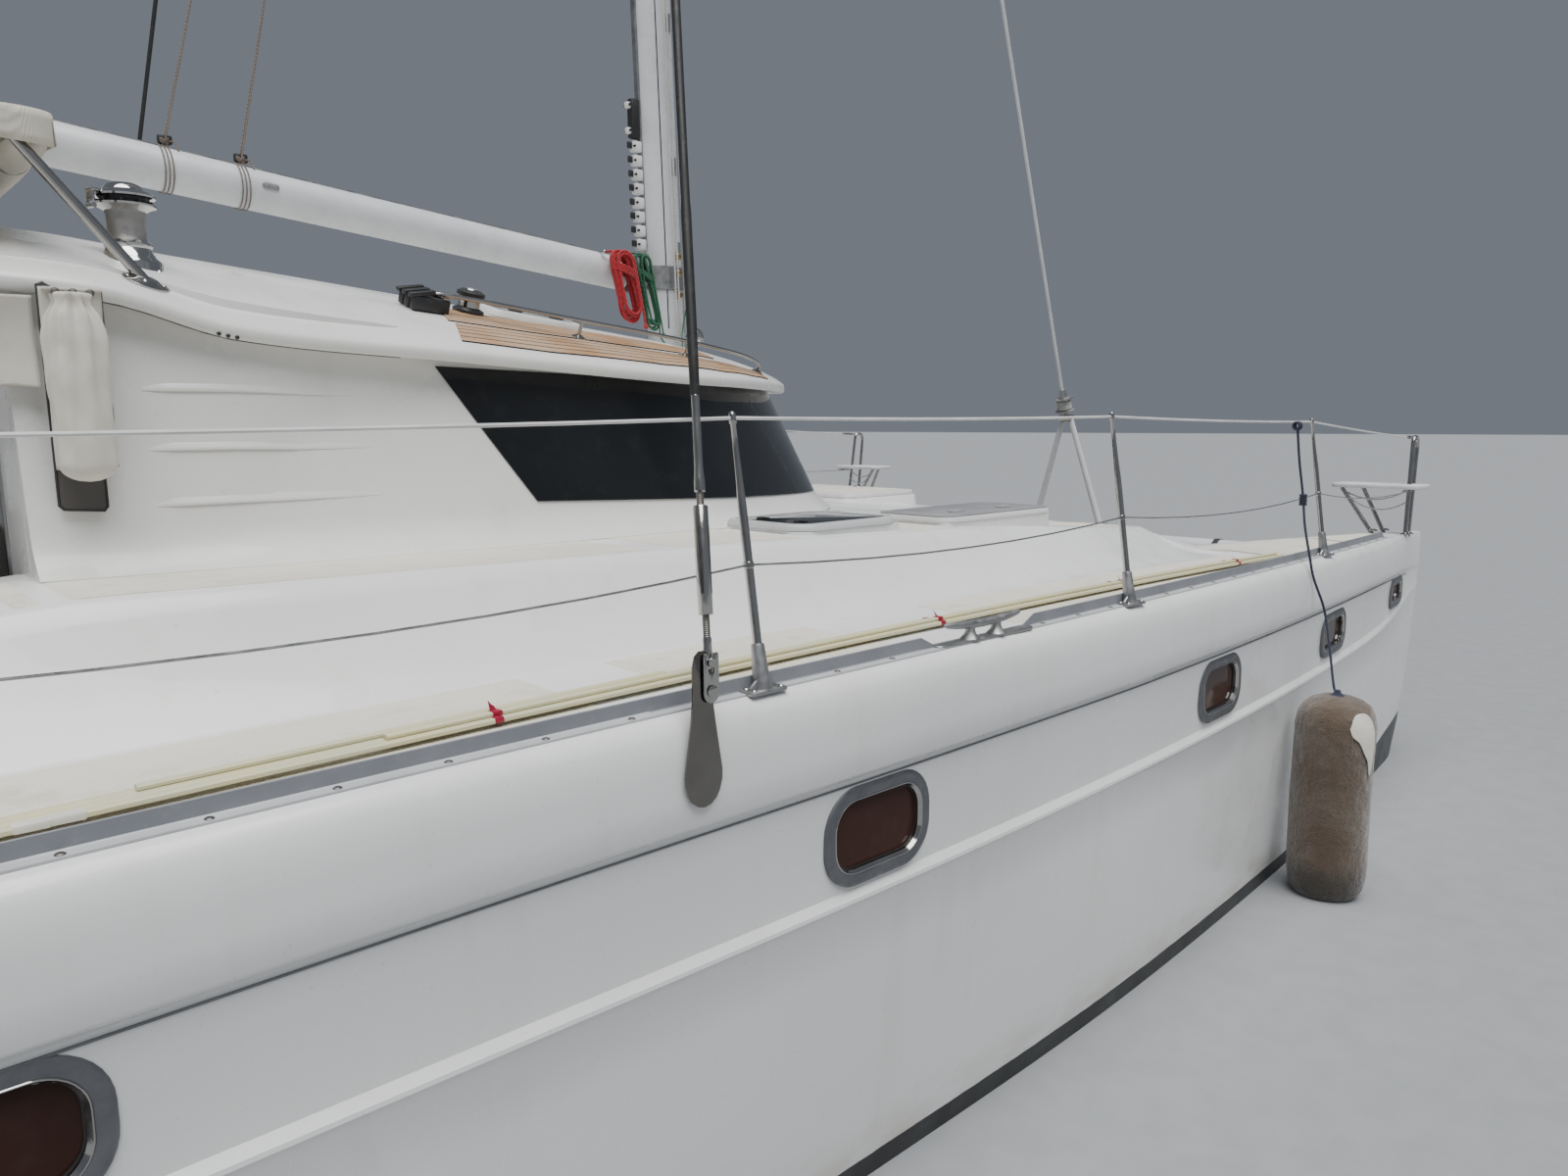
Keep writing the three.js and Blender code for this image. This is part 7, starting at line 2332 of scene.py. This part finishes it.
def build_curtains():
    bm = bmesh.new()
    gathered(bm, Vector((-1.378, -1.722, 2.245)), (0.062, 0.052, 0.435), 0.008, 9, 0.4)
    bag = piece("curtain_bag", bm, "curtain_cloth", replaces="curtain_roll", angle=70)
    smooth = bag.modifiers.new("smooth", "SUBSURF")
    smooth.levels = smooth.render_levels = 1
    hem, eyes, seam = bmesh.new(), bmesh.new(), bmesh.new()
    grid(hem, 16, 40, lambda u, v: Vector((-1.44 + 0.125 * u, -1.705 - 0.018 * math.sin(math.pi * u)
                                          + 0.004 * math.sin(9 * v + 5 * u), 2.472 - 0.415 * v)))
    hem_piece = piece("curtain_hem", hem, "curtain_cloth", angle=60)
    hem_piece.modifiers.new("cloth", "SOLIDIFY").thickness = 0.003
    for x in (-1.41, -1.375, -1.34):
        turned(eyes, [(0.0055, -0.003), (0.0085, -0.002), (0.0085, 0.002), (0.0055, 0.003), (0.0055, -0.003)],
               Matrix.Translation((x, -1.7235, 2.462)) @ Matrix.Rotation(math.pi / 2, 4, "X"), 18)
    tube(seam, [Vector((-1.314, -1.7065 + 0.003 * math.sin(9 * t / 20), 2.47 - 0.41 * t / 20))
                for t in range(21)],
         0.0022, 6)
    piece("curtain_eyelets", eyes, "dark_steel", merge=0)
    piece("curtain_seam", seam, "caulk", merge=0)
    strap = bmesh.new()
    slab(strap, Vector((-1.375, -1.69, 2.468)), (0.12, 0.07, 0.006), 0.002)
    for x in (-1.42, -1.33):
        turned(strap, [(0, 0.004), (0.006, 0.003), (0.008, 0)], Matrix.Translation((x, -1.672, 2.471)), 14)
    piece("curtain_strap", strap, "curtain_cloth", merge=0)

    panel, trim = bmesh.new(), bmesh.new()
    outline = [(-1.437, 2.478), (-1.425, 2.484), (-1.345, 2.432), (-1.338, 2.42), (-1.338, 1.965),
               (-1.346, 1.955), (-1.428, 1.962), (-1.437, 1.972)]
    lean = Matrix.Translation((0, -1.672, 0)) @ UPRIGHT
    plate(panel, outline[::-1], 0.006, lean)
    piece("smoked_side_panel", panel, "smoked_panel")
    tube(trim, [lean @ Vector((x, z, 0.004)) for x, z in outline], 0.004, 6, closed=True)
    piece("side_panel_trim", trim, "black_plastic", merge=0)

    cloth = bmesh.new()
    grid(cloth, 30, 30, lambda u, v: Vector((
        -1.445 - 0.30 * u, -1.655 + 0.012 * math.sin(9 * u) * (0.3 + v) + 0.01 * math.sin(4 * v),
        2.455 - 0.21 * v - 0.03 * u * v + 0.012 * math.sin(7 * u) * v)))
    hung = piece("aft_curtain", cloth, "curtain_cloth", angle=60)
    hung.modifiers.new("cloth", "SOLIDIFY").thickness = 0.003


class CATAMARAN_OT_bimini(bpy.types.Operator):
    """Builds the bimini's frame and cloth, and the rolled and hanging curtains"""
    bl_idname = "catamaran.bimini"
    bl_label = "Bimini and curtains"

    def execute(self, context):
        build_bimini_frame()
        build_bimini_canopy()
        build_canopy_roll()
        build_curtains()
        return {"FINISHED"}


# Cockpit and saloon

def cushion_shell(size, corner=0.05):
    """Flat pad with rounded corners, centred on its own middle, before it is stuffed."""
    bm = bmesh.new()
    plate(bm, rounded_outline(size[0], size[1], corner, 4), size[2], Matrix.Translation((0, 0, -size[2] / 2)),
          min(size) * 0.28)
    return bm


def stuffed(name, size, swell, voxel=0.009):
    """Mesh of a padded cushion: a remeshed shell, blown up a little by a cloth simulation."""
    bm = cushion_shell(size)
    mesh = bpy.data.meshes.new(name)
    bm.to_mesh(mesh)
    bm.free()
    pad = bpy.data.objects.new(name, mesh)
    bpy.context.scene.collection.objects.link(pad)
    remesh = pad.modifiers.new("voxels", "REMESH")
    remesh.mode, remesh.voxel_size = "VOXEL", voxel * 1
    fresh = bpy.data.meshes.new_from_object(pad.evaluated_get(bpy.context.evaluated_depsgraph_get()))
    pad.modifiers.clear()
    pad.data = fresh
    rest = [v.co.copy() for v in fresh.vertices]
    cloth = pad.modifiers.new("stuffing", "CLOTH")
    cloth.settings.use_pressure = True
    cloth.settings.uniform_pressure_force = 4
    cloth.settings.effector_weights.gravity = 0
    cloth.settings.quality = 5
    scene = bpy.context.scene
    for step in range(1, 21):
        scene.frame_set(step)
        pad.evaluated_get(bpy.context.evaluated_depsgraph_get())
    blown = bpy.data.meshes.new_from_object(pad.evaluated_get(bpy.context.evaluated_depsgraph_get()))
    scene.frame_set(1)
    pad.modifiers.clear()
    pad.data = blown
    for vert, before in zip(blown.vertices, rest):
        move = vert.co - before
        if move.length > swell:
            vert.co = before + move.normalized() * swell
    made = bmesh.new()
    made.from_mesh(pad.data)
    bmesh.ops.smooth_vert(made, verts=made.verts, factor=0.5, use_axis_x=True, use_axis_y=True, use_axis_z=True)
    done = bpy.data.meshes.new(name + "_form")
    made.to_mesh(done)
    made.free()
    bpy.data.objects.remove(pad)
    return done


def piping_line(size, rise, corner=0.05):
    return [Vector((x, y, rise)) for x, y in rounded_outline(size[0], size[1], corner, 6)]


# Columns: name, middle of the first cushion's underside, step to the next, how many, kind
CUSHIONS = (
    ("cockpit_seat_pad", (-3.47, 1.13, 1.2905), (0.63, 0, 0), 3, "seat"),
    ("aft_bench_pad", (-4.305, -1.0, 1.2905), (0, 0.62, 0), 4, "bench"),
    ("saloon_pad", (0.1, -1.05, 1.2905), (0, 0.7, 0), 4, "settee"),
    ("helm_pad", (-2.73, -1.11, 1.4205), (0, 0, 0), 1, "helm"),
)
PAD_SIZES = {"seat": (0.6, 0.56, 0.075), "bench": (0.36, 0.58, 0.075), "settee": (0.5, 0.66, 0.08),
             "helm": (0.3, 0.66, 0.07)}


def build_cushions():
    forms = {key: stuffed("pad_" + key, size, 0.016, 0.010) for key, size in PAD_SIZES.items()}
    for name, start, step, count, kind in CUSHIONS:
        size = PAD_SIZES[kind]
        for k in range(count):
            bm = bmesh.new()
            bm.from_mesh(forms[kind])
            at = Vector(start) + Vector(step) * k + Vector((0, 0, size[2] / 2))
            bmesh.ops.translate(bm, vec=at, verts=bm.verts)
            for vert in bm.verts:
                vert.co.z = max(vert.co.z, start[2])
            pad = piece(f"{name}_{k + 1}", bm, "cushion", angle=70)
            smooth = pad.modifiers.new("smooth", "SUBSURF")
            smooth.levels = smooth.render_levels = 1
            trim = bmesh.new()
            for rise in (-size[2] * 0.32, size[2] * 0.36):
                tube(trim, [p + at for p in piping_line((size[0] + 0.008, size[1] + 0.008), rise)], 0.0035,
                     6, closed=True)
            piece(f"{name}_{k + 1}_piping", trim, "canvas", merge=0)
    for mesh in forms.values():
        bpy.data.meshes.remove(mesh)


def build_furniture():
    bm = bmesh.new()
    for low, high in (((-3.95, 0.8, COCKPIT_FLOOR), (-1.72, 1.48, 1.29)),
                      ((-4.58, -1.48, COCKPIT_FLOOR), (-4.08, 1.48, 1.29)),
                      ((-2.95, -1.48, COCKPIT_FLOOR), (-2.56, -0.74, 1.42))):
        a, b = Vector(low), Vector(high)
        slab(bm, (a + b) / 2, b - a, 0.02, steps=3)
    slab(bm, Vector((-4.55, 0, 1.465)), (0.06, 2.96, 0.35), 0.02, steps=3)
    slab(bm, Vector((-2.925, -1.11, 1.61)), (0.05, 0.74, 0.38), 0.018, steps=3)
    piece("cockpit_seats", bm, "gelcoat", replaces=("cockpit_seat", "aft_bench", "helm_seat"), merge=0)
    bm = bmesh.new()
    for x in (-3.39, -2.83, -2.27):
        slab(bm, Vector((x, 0.798, 1.07)), (0.42, 0.006, 0.26), 0.002)
    for y in (-1.0, -0.34, 0.34, 1.0):
        slab(bm, Vector((-4.078, y, 1.07)), (0.006, 0.46, 0.26), 0.002)
    piece("seat_locker_doors", bm, "white_plastic", merge=0)

    bm = bmesh.new()
    for low, high in (((-0.2, -1.48, COCKPIT_FLOOR), (1.3, 1.48, 1.29)),
                      ((1.18, -1.48, 1.28), (1.3, 1.48, 1.64))):
        a, b = Vector(low), Vector(high)
        slab(bm, (a + b) / 2, b - a, 0.03, steps=3)
    settee = piece("saloon_seats", bm, "cushion", replaces="saloon_settee", merge=0)

    bm, leg = bmesh.new(), bmesh.new()
    plate(bm, rounded_outline(0.9, 0.8, 0.06), 0.03, Matrix.Translation((-2.9, 0.15, 1.54)), 0.006)
    turned(leg, [(0.11, COCKPIT_FLOOR), (0.11, 0.868), (0.06, 0.876), (0.045, 0.885), (0.045, 1.52),
                 (0.07, 1.53), (0.09, 1.5395)], Matrix.Translation((-2.9, 0.15, 0)), 32)
    piece("table_top", bm, "wood", replaces="cockpit_table")
    piece("table_leg", leg, "alloy")

    console = bmesh.new()
    loft(console, [[Vector((x, y, z)) for x, z in ((-1.64, COCKPIT_FLOOR), (-1.94, COCKPIT_FLOOR),
                                                   (-1.94, 1.62), (-1.932, 1.645),
                                                   (-1.915, 1.66), (-1.735, 1.842), (-1.72, 1.85),
                                                   (-1.7, 1.851), (-1.65, 1.836), (-1.64, 1.82))]
                   for y in (-1.43, -1.425, -0.795, -0.79)])
    piece("helm_moulding", console, "gelcoat", replaces="helm_console")
    panel, dials, bright = bmesh.new(), bmesh.new(), bmesh.new()
    lean = Matrix.Translation((-1.829, -1.11, 1.755)) @ Matrix.Rotation(math.radians(-45.4), 4, "Y")
    made = bmesh.new()
    plate(made, rounded_outline(0.2, 0.54, 0.02), 0.006, Matrix(), 0.002)
    keep(panel, made, lean)
    for y, r in ((-0.19, 0.042), (-0.07, 0.055), (0.07, 0.055), (0.19, 0.042)):
        made = bmesh.new()
        turned(made, [(r, 0.006), (r + 0.003, 0.011), (r - 0.004, 0.013), (r - 0.006, 0.009)],
               Matrix.Translation((0, y, 0)), 28)
        keep(bright, made, lean)
        made = bmesh.new()
        turned(made, [(0, 0.009), (r - 0.005, 0.009)], Matrix.Translation((0, y, 0)), 28)
        keep(dials, made, lean)
    piece("helm_panel", panel, "black_plastic", merge=0)
    piece("helm_dial_rings", bright, "stainless", merge=0)
    piece("helm_dials", dials, "lamp_lens", merge=0)
    bm = bmesh.new()
    for k, lever in enumerate((-0.028, 0.028)):
        at = Vector((-1.70, -0.83 + lever * 0.3, 1.85))
        rod(bm, at + Vector((0, lever * 0.4, 0)), at + Vector((-0.02 + 0.02 * k, lever * 0.4, 0.11)), 0.006)
        ball(bm, at + Vector((-0.02 + 0.02 * k, lever * 0.4, 0.115)), 0.014, (1, 1.3, 1))
    slab(bm, Vector((-1.70, -0.83, 1.858)), (0.08, 0.06, 0.02), 0.006)
    piece("engine_levers", bm, "stainless", merge=0)


WHEEL = {"at": Vector((-2.035, -1.11, 1.59)), "radius": 0.34}


def build_wheel():
    rim, spokes, hub = bmesh.new(), bmesh.new(), bmesh.new()
    at, r = WHEEL["at"], WHEEL["radius"]
    tube(rim, [at + Vector((0, r * math.sin(a), r * math.cos(a)))
               for a in (math.tau * k / 96 for k in range(96))],
         0.0128, 14, closed=True)
    for k in range(5):
        a = math.tau * k / 5
        out = Vector((0, math.sin(a), math.cos(a)))
        tube(spokes, curve_through([at + Vector((0.012, 0, 0)) + out * 0.03,
                                    at + Vector((0.004, 0, 0)) + out * 0.14,
                                    at + out * 0.24, at + out * (r - 0.006)], 5), 0.0085, 12)
    turned(hub, [(0, -0.034), (0.012, -0.033), (0.03, -0.026), (0.038, -0.012), (0.038, 0.02), (0.024, 0.03),
                 (0.02, 0.087)], Matrix.Translation(at) @ Matrix.Rotation(math.pi / 2, 4, "Y"), 32)
    piece("wheel_rim", rim, "wheel_cover", body="wheel", replaces="wheel", merge=0)
    piece("wheel_spokes", spokes, "stainless", body="wheel", merge=0)
    piece("wheel_hub", hub, "stainless", body="wheel", merge=0)
    bm = bmesh.new()
    for k in range(60):
        a = math.tau * k / 60
        made = bmesh.new()
        slab(made, (0, 0, 0), (0.0012, 0.004, 0.006), 0)
        keep(bm, made, Matrix.Translation(at + Vector((-0.0128, (r - 0.001) * math.sin(a),
                                                       (r - 0.001) * math.cos(a))))
             @ Matrix.Rotation(-a, 4, "X"))
    piece("wheel_stitches", bm, "seam_thread", body="wheel", merge=0)


DOORWAY = {"y": (0.0, 0.7), "z": (0.9, 2.44)}
AFT_WINDOW = {"y": (-1.35, -0.2), "z": (1.38, 2.3)}


def build_bulkhead():
    """Aft wall of the saloon: cut from the wall's own outline, with its trims."""
    bm = bmesh.new()
    outline = [(-1.499, COCKPIT_FLOOR), (1.499, COCKPIT_FLOOR), (1.499, 1.72), (1.61, 1.72), (1.605, 1.8),
               (1.598, 1.88), (1.55, 2.3), (1.53, 2.42)]
    outline += [(y, roof_top(-1.49, y) - 0.052) for y in (1.42, 1.2, 0.9, 0.5, 0, -0.5, -0.9, -1.2, -1.42)]
    outline += [(-1.53, 2.42), (-1.55, 2.3), (-1.598, 1.88), (-1.605, 1.8), (-1.61, 1.72), (-1.499, 1.72)]
    loft(bm, [[Vector((x, y, z)) for y, z in outline] for x in (-1.499, -1.461)])
    obj = piece("saloon_bulkhead", bm, "gelcoat", replaces="aft_bulkhead")
    for opening in (DOORWAY, AFT_WINDOW):
        bm = bmesh.new()
        box_cutter(bm, (-1.6, -1.4), opening["y"], opening["z"])
        cut(obj, bm)
    trim = bmesh.new()
    for opening, radius in ((DOORWAY, 0.012), (AFT_WINDOW, 0.011)):
        (y0, y1), (z0, z1) = opening["y"], opening["z"]
        tube(trim, [Vector((-1.5, y, z)) for y, z in ((y0, z0), (y1, z0), (y1, z1), (y0, z1))], radius * 0.6, 8,
             closed=True)
    slab(trim, Vector((-1.5235, 0.716, 2.469)), (0.057, 1.492, 0.022), 0.004)
    slab(trim, Vector((-1.5235, 0.716, 0.865)), (0.05, 1.492, 0.009), 0.002)
    piece("doorway_trim", trim, "alloy", merge=0)
    pane = bmesh.new()
    slab(pane, Vector((-1.48, -0.775, 1.84)), (0.011, 1.146, 0.916), 0.002)
    piece("aft_window_pane", pane, "dark_glass", replaces="window_aft")

    glass_bm, frame_bm, handle = bmesh.new(), bmesh.new(), bmesh.new()
    (y0, y1), (z0, z1) = (-0.02, 0.72), (0.872, 2.449)
    slab(glass_bm, Vector((-1.53, (y0 + y1) / 2, (z0 + z1) / 2)), (0.01, y1 - y0 - 0.06, z1 - z0 - 0.06), 0.001)
    for a, b in (((y0, z0), (y1, z0)), ((y1, z0), (y1, z1)), ((y1, z1), (y0, z1)), ((y0, z1), (y0, z0))):
        middle = Vector((-1.53, (a[0] + b[0]) / 2, (a[1] + b[1]) / 2))
        wide = abs(a[0] - b[0]) or 0.045
        tall = abs(a[1] - b[1]) or 0.045
        inset = Vector((0, 0.0225 if a[0] == b[0] == y0 else -0.0225 if a[0] == b[0] else 0,
                        0.0225 if a[1] == b[1] == z0 else -0.0225 if a[1] == b[1] else 0))
        slab(frame_bm, middle + inset, (0.028, wide, tall), 0.004)
    tube(handle, curve_through([Vector((-1.545, 0.03, 1.5)), Vector((-1.575, 0.03, 1.52)),
                                Vector((-1.58, 0.03, 1.6)),
                                Vector((-1.575, 0.03, 1.68)), Vector((-1.545, 0.03, 1.7))], 6), 0.008, 10)
    piece("door_frame", frame_bm, "alloy", body="saloon_door", replaces="saloon_door", merge=0)
    piece("door_pane", glass_bm, "dark_glass", body="saloon_door")
    piece("door_handle", handle, "stainless", body="saloon_door", merge=0)


class CATAMARAN_OT_cockpit(bpy.types.Operator):
    """Fits out the cockpit: bulkhead, door, helm, wheel, seats, table and cushions"""
    bl_idname = "catamaran.cockpit"
    bl_label = "Cockpit"

    def execute(self, context):
        build_bulkhead()
        build_furniture()
        build_wheel()
        build_cushions()
        return {"FINISHED"}


# Below the water

def foil_ring(lead, trail, half, y, z, count=22):
    """Section of a keel or rudder at height z: round in front, fine aft."""
    chord = lead - trail
    shares = [(1 - math.cos(math.pi * k / count)) / 2 for k in range(count + 1)]

    def breadth(s):
        return half * (2.969 * math.sqrt(s) - 1.26 * s - 3.516 * s**2 + 2.843 * s**3 - 1.036 * s**4 + 0.03 * s)
    one = [Vector((lead - chord * s, y + max(breadth(s), 0.0015 if 0 < s else 0), z)) for s in shares]
    other = [Vector((p.x, 2 * y - p.y, z)) for p in reversed(one[1:-1])]
    return one + other


# Columns: height, leading edge, trailing edge, half thickness
KEEL = ((-0.44, 1.27, -1.155, 0.096), (-0.8, 1.0, -1.05, 0.09), (-1.05, 0.84, -1.0, 0.08),
        (-1.13, 0.78, -0.985, 0.06),
        (-1.149, 0.70, -0.95, 0.03))
DRIVE = ((-0.25, -3.56, -3.9, 0.055), (-0.52, -3.59, -3.86, 0.045), (-0.755, -3.62, -3.84, 0.04))
RUDDER = ((-1.079, -4.84, -5.14, 0.012), (-1.06, -4.825, -5.16, 0.024), (-0.7, -4.795, -5.195, 0.03),
          (-0.249, -4.77, -5.229, 0.034))
PROP = {"x": -3.935, "z": -0.7, "radius": 0.213}


def build_underwater(name, side):
    y = side * HULL_CENTRE
    bm = bmesh.new()
    loft(bm, [foil_ring(lead, trail, half, y, z) for z, lead, trail, half in KEEL])
    piece("keel_fin_" + name, bm, "bottom_paint", replaces="keel_" + name, angle=50)
    bm = bmesh.new()
    loft(bm, [foil_ring(lead, trail, half, y, z) for z, lead, trail, half in DRIVE])
    turned(bm, [(0, -3.56), (0.02, -3.562), (0.045, -3.585), (0.058, -3.64), (0.06, -3.72), (0.054, -3.82),
                (0.04, -3.88), (0.03, -3.896), (0, -3.896)],
           Matrix.Translation((0, y, PROP["z"])) @ Matrix.Rotation(math.pi / 2, 4, "Y"), 36)
    slab(bm, Vector((-3.73, y, -0.29)), (0.42, 0.16, 0.03), 0.012)
    piece("drive_leg_" + name, bm, "bottom_paint", replaces="drive_" + name, merge=0)
    bm = bmesh.new()
    turned(bm, [(0, -0.045), (0.015, -0.044), (0.028, -0.03), (0.036, -0.005), (0.041, 0.025), (0.042, 0.031),
                (0, 0.031)], Matrix.Translation((PROP["x"], y, PROP["z"]))
           @ Matrix.Rotation(math.pi / 2, 4, "Y"), 28)
    for k in range(3):
        rings = []
        for step in range(9):
            t = step / 8
            radius = 0.025 + (PROP["radius"] - 0.025) * t
            chord = 0.052 + 0.055 * math.sin(math.pi * min(1, t * 1.02)) if t < 0.98 else 0.02
            pitch = math.radians(58 - 36 * t)
            ring = []
            for j in range(12):
                a = math.tau * j / 12
                across, thick = chord * math.cos(a), 0.0065 * (1 - 0.6 * t) * math.sin(a)
                ring.append(Vector((across * math.sin(pitch) * 0.34 + thick, across * math.cos(pitch * 0.5),
                                    radius)))
            rings.append(ring)
        made = bmesh.new()
        loft(made, rings)
        keep(bm, made, Matrix.Translation((PROP["x"], y, PROP["z"]))
             @ Matrix.Rotation(math.tau * k / 3, 4, "X"))
    piece("propeller_blades_" + name, bm, "bronze", body="propeller_" + name, replaces="propeller_" + name,
          merge=0, angle=50)
    bm = bmesh.new()
    loft(bm, [foil_ring(lead, trail, half, y, z) for z, lead, trail, half in RUDDER])
    piece("rudder_blade_" + name, bm, "bottom_paint", body="rudder_" + name, replaces="rudder_" + name,
          angle=50)
    bm = bmesh.new()
    rod(bm, (-4.9, y, -0.31), (-4.9, y, -0.11), 0.0248, sides=28)
    piece("rudder_stock_" + name, bm, "stainless", body="rudder_" + name)
    bm = bmesh.new()
    slab(bm, Vector((-3.94, y, 0.34)), (0.44, 0.40, 0.5), 0.04, steps=3)
    for k in range(4):
        rod(bm, (-4.1 + 0.1 * k, y - 0.06, 0.55), (-4.1 + 0.1 * k, y - 0.06, 0.6), 0.03, sides=16)
    slab(bm, Vector((-3.94, y + 0.06, 0.6)), (0.36, 0.12, 0.035), 0.01)
    slab(bm, Vector((-3.735, y, 0.3)), (0.05, 0.3, 0.3), 0.02)
    piece("engine_block_" + name, bm, "engine_grey", replaces="engine_" + name, merge=0)


class CATAMARAN_OT_underwater(bpy.types.Operator):
    """Fits the keels, drives, propellers, rudders and engines"""
    bl_idname = "catamaran.underwater"
    bl_label = "Keels, rudders and drives"

    def execute(self, context):
        for name, side in SIDES:
            build_underwater(name, side)
        return {"FINISHED"}


# Solids that show as they are

# Columns: name of the solid, finish
PLAIN_SOLIDS = {
    "bridgedeck": "gelcoat", "anchor_locker_lid": "non_skid", "hatch": "dark_glass", "locker_lid": "non_skid",
    "engine_lid": "non_skid", "engine": "engine_red", "keel": "bottom_paint", "drive": "bottom_paint",
    "propeller": "bronze", "rudder": "bottom_paint", "window_aft": "dark_glass", "mast": "spar", "boom": "spar",
    "gooseneck": "alloy", "rope_coil_red": "red_rope", "rope_coil_green": "green_rope", "shroud": "black_wire",
    "forward_beam": "spar", "forestay": "wire", "trampoline": "net", "toe_rail": "alloy",
                "bow_rail": "stainless",
    "stern_rail": "stainless", "aft_bulkhead": "cabin_white", "saloon_door": "dark_glass",
    "helm_console": "gelcoat", "wheel": "stainless", "helm_seat": "cushion", "cockpit_seat": "cushion",
    "aft_bench": "cushion", "cockpit_table": "wood", "saloon_settee": "cushion", "bimini_frame": "stainless",
    "bimini_canopy": "canvas", "winch": "stainless", "curtain_roll": "curtain_cloth", "fender": "fleece",
    "sail_battens": "batten_cream",
}


class CATAMARAN_OT_solids(bpy.types.Operator):
    """Gives the solids that still show their finishes"""
    bl_idname = "catamaran.solids"
    bl_label = "Plain solids"

    def execute(self, context):
        for name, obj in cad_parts.items():
            if obj.hide_render:
                continue
            key = max((k for k in PLAIN_SOLIDS if name.startswith(k)), key=len)
            obj.data.materials.clear()
            obj.data.materials.append(finish(PLAIN_SOLIDS[key]))
        return {"FINISHED"}


# Stage

CAMERA = {"at": (-1.9611, -4.763, 2.1617), "yaw": math.radians(47.397), "pitch": math.radians(8.67),
          "roll": math.radians(-0.508), "lens": 25.605}


class CATAMARAN_OT_stage(bpy.types.Operator):
    """Sets the camera, the pale floor and the soft light"""
    bl_idname = "catamaran.stage"
    bl_label = "Camera, floor and light"

    def execute(self, context):
        scene = context.scene
        yaw, pitch, roll = CAMERA["yaw"], CAMERA["pitch"], CAMERA["roll"]
        ahead = Vector((math.cos(yaw) * math.cos(pitch), math.sin(yaw) * math.cos(pitch), -math.sin(pitch)))
        right = Vector((math.sin(yaw), -math.cos(yaw), 0))
        up = right.cross(ahead)
        turned_right = right * math.cos(roll) + up * math.sin(roll)
        turned_up = up * math.cos(roll) - right * math.sin(roll)
        data = bpy.data.cameras.new("camera")
        data.lens, data.sensor_width, data.clip_end = CAMERA["lens"], 36, 400
        camera = bpy.data.objects.new("camera", data)
        camera.matrix_world = Matrix.Translation(CAMERA["at"]) @ Matrix(
            (turned_right, turned_up, -ahead)).transposed().to_4x4()
        scene.collection.objects.link(camera)
        scene.camera = camera

        mesh = bpy.data.meshes.new("floor")
        bm = bmesh.new()
        bmesh.ops.create_grid(bm, x_segments=1, y_segments=1, size=120)
        bm.to_mesh(mesh)
        bm.free()
        floor = bpy.data.objects.new("floor", mesh)
        mesh.materials.append(finish("studio"))
        scene.collection.objects.link(floor)

        world = bpy.data.worlds.new("studio")
        world.use_nodes = True
        world.node_tree.nodes["Background"].inputs["Color"].default_value = (0.78, 0.86, 1.0, 1)
        world.node_tree.nodes["Background"].inputs["Strength"].default_value = 0.22
        scene.world = world
        # Columns: name, direction that the light comes from, strength, softness in degrees
        for name, source, strength, softness in DAYLIGHT:
            lamp = bpy.data.lights.new(name, "SUN")
            lamp.energy, lamp.angle = strength, math.radians(softness)
            light = bpy.data.objects.new(name, lamp)
            light.matrix_world = (-Vector(source)).to_track_quat("-Z", "Y").to_matrix().to_4x4()
            scene.collection.objects.link(light)
        return {"FINISHED"}


class CATAMARAN_PT_panel(bpy.types.Panel):
    """Sizes, colours and steps of the boat"""
    bl_idname = "CATAMARAN_PT_panel"
    bl_label = "Catamaran"
    bl_space_type = "VIEW_3D"
    bl_region_type = "UI"
    bl_category = "Catamaran"

    def draw(self, context):
        layout = self.layout
        for group in (context.scene.catamaran_sizes, context.scene.catamaran_colours):
            for key in group.bl_rna.properties.keys():
                if key not in ("rna_type", "name"):
                    layout.prop(group, key)
        for step in STEPS_IN_ORDER:
            layout.operator(step.bl_idname)


STEPS_IN_ORDER = (
    CATAMARAN_OT_stage, CATAMARAN_OT_coils, CATAMARAN_OT_hulls, CATAMARAN_OT_decks, CATAMARAN_OT_cabin,
    CATAMARAN_OT_roof_gear, CATAMARAN_OT_rig, CATAMARAN_OT_bow, CATAMARAN_OT_rails, CATAMARAN_OT_deck_gear,
    CATAMARAN_OT_lids, CATAMARAN_OT_bimini, CATAMARAN_OT_cockpit, CATAMARAN_OT_underwater, CATAMARAN_OT_solids,
)
CLASSES = (CatamaranSizes, CatamaranColours, *STEPS_IN_ORDER, CATAMARAN_PT_panel)


def register():
    for cls in CLASSES:
        bpy.utils.register_class(cls)
    bpy.types.Scene.catamaran_sizes = PointerProperty(type=CatamaranSizes)
    bpy.types.Scene.catamaran_colours = PointerProperty(type=CatamaranColours)


def unregister():
    del bpy.types.Scene.catamaran_colours
    del bpy.types.Scene.catamaran_sizes
    for cls in reversed(CLASSES):
        bpy.utils.unregister_class(cls)


def main():
    register()
    for step in STEPS_IN_ORDER:
        getattr(bpy.ops.catamaran, step.bl_idname.split(".")[1])()


if __name__ == "__main__":
    main()
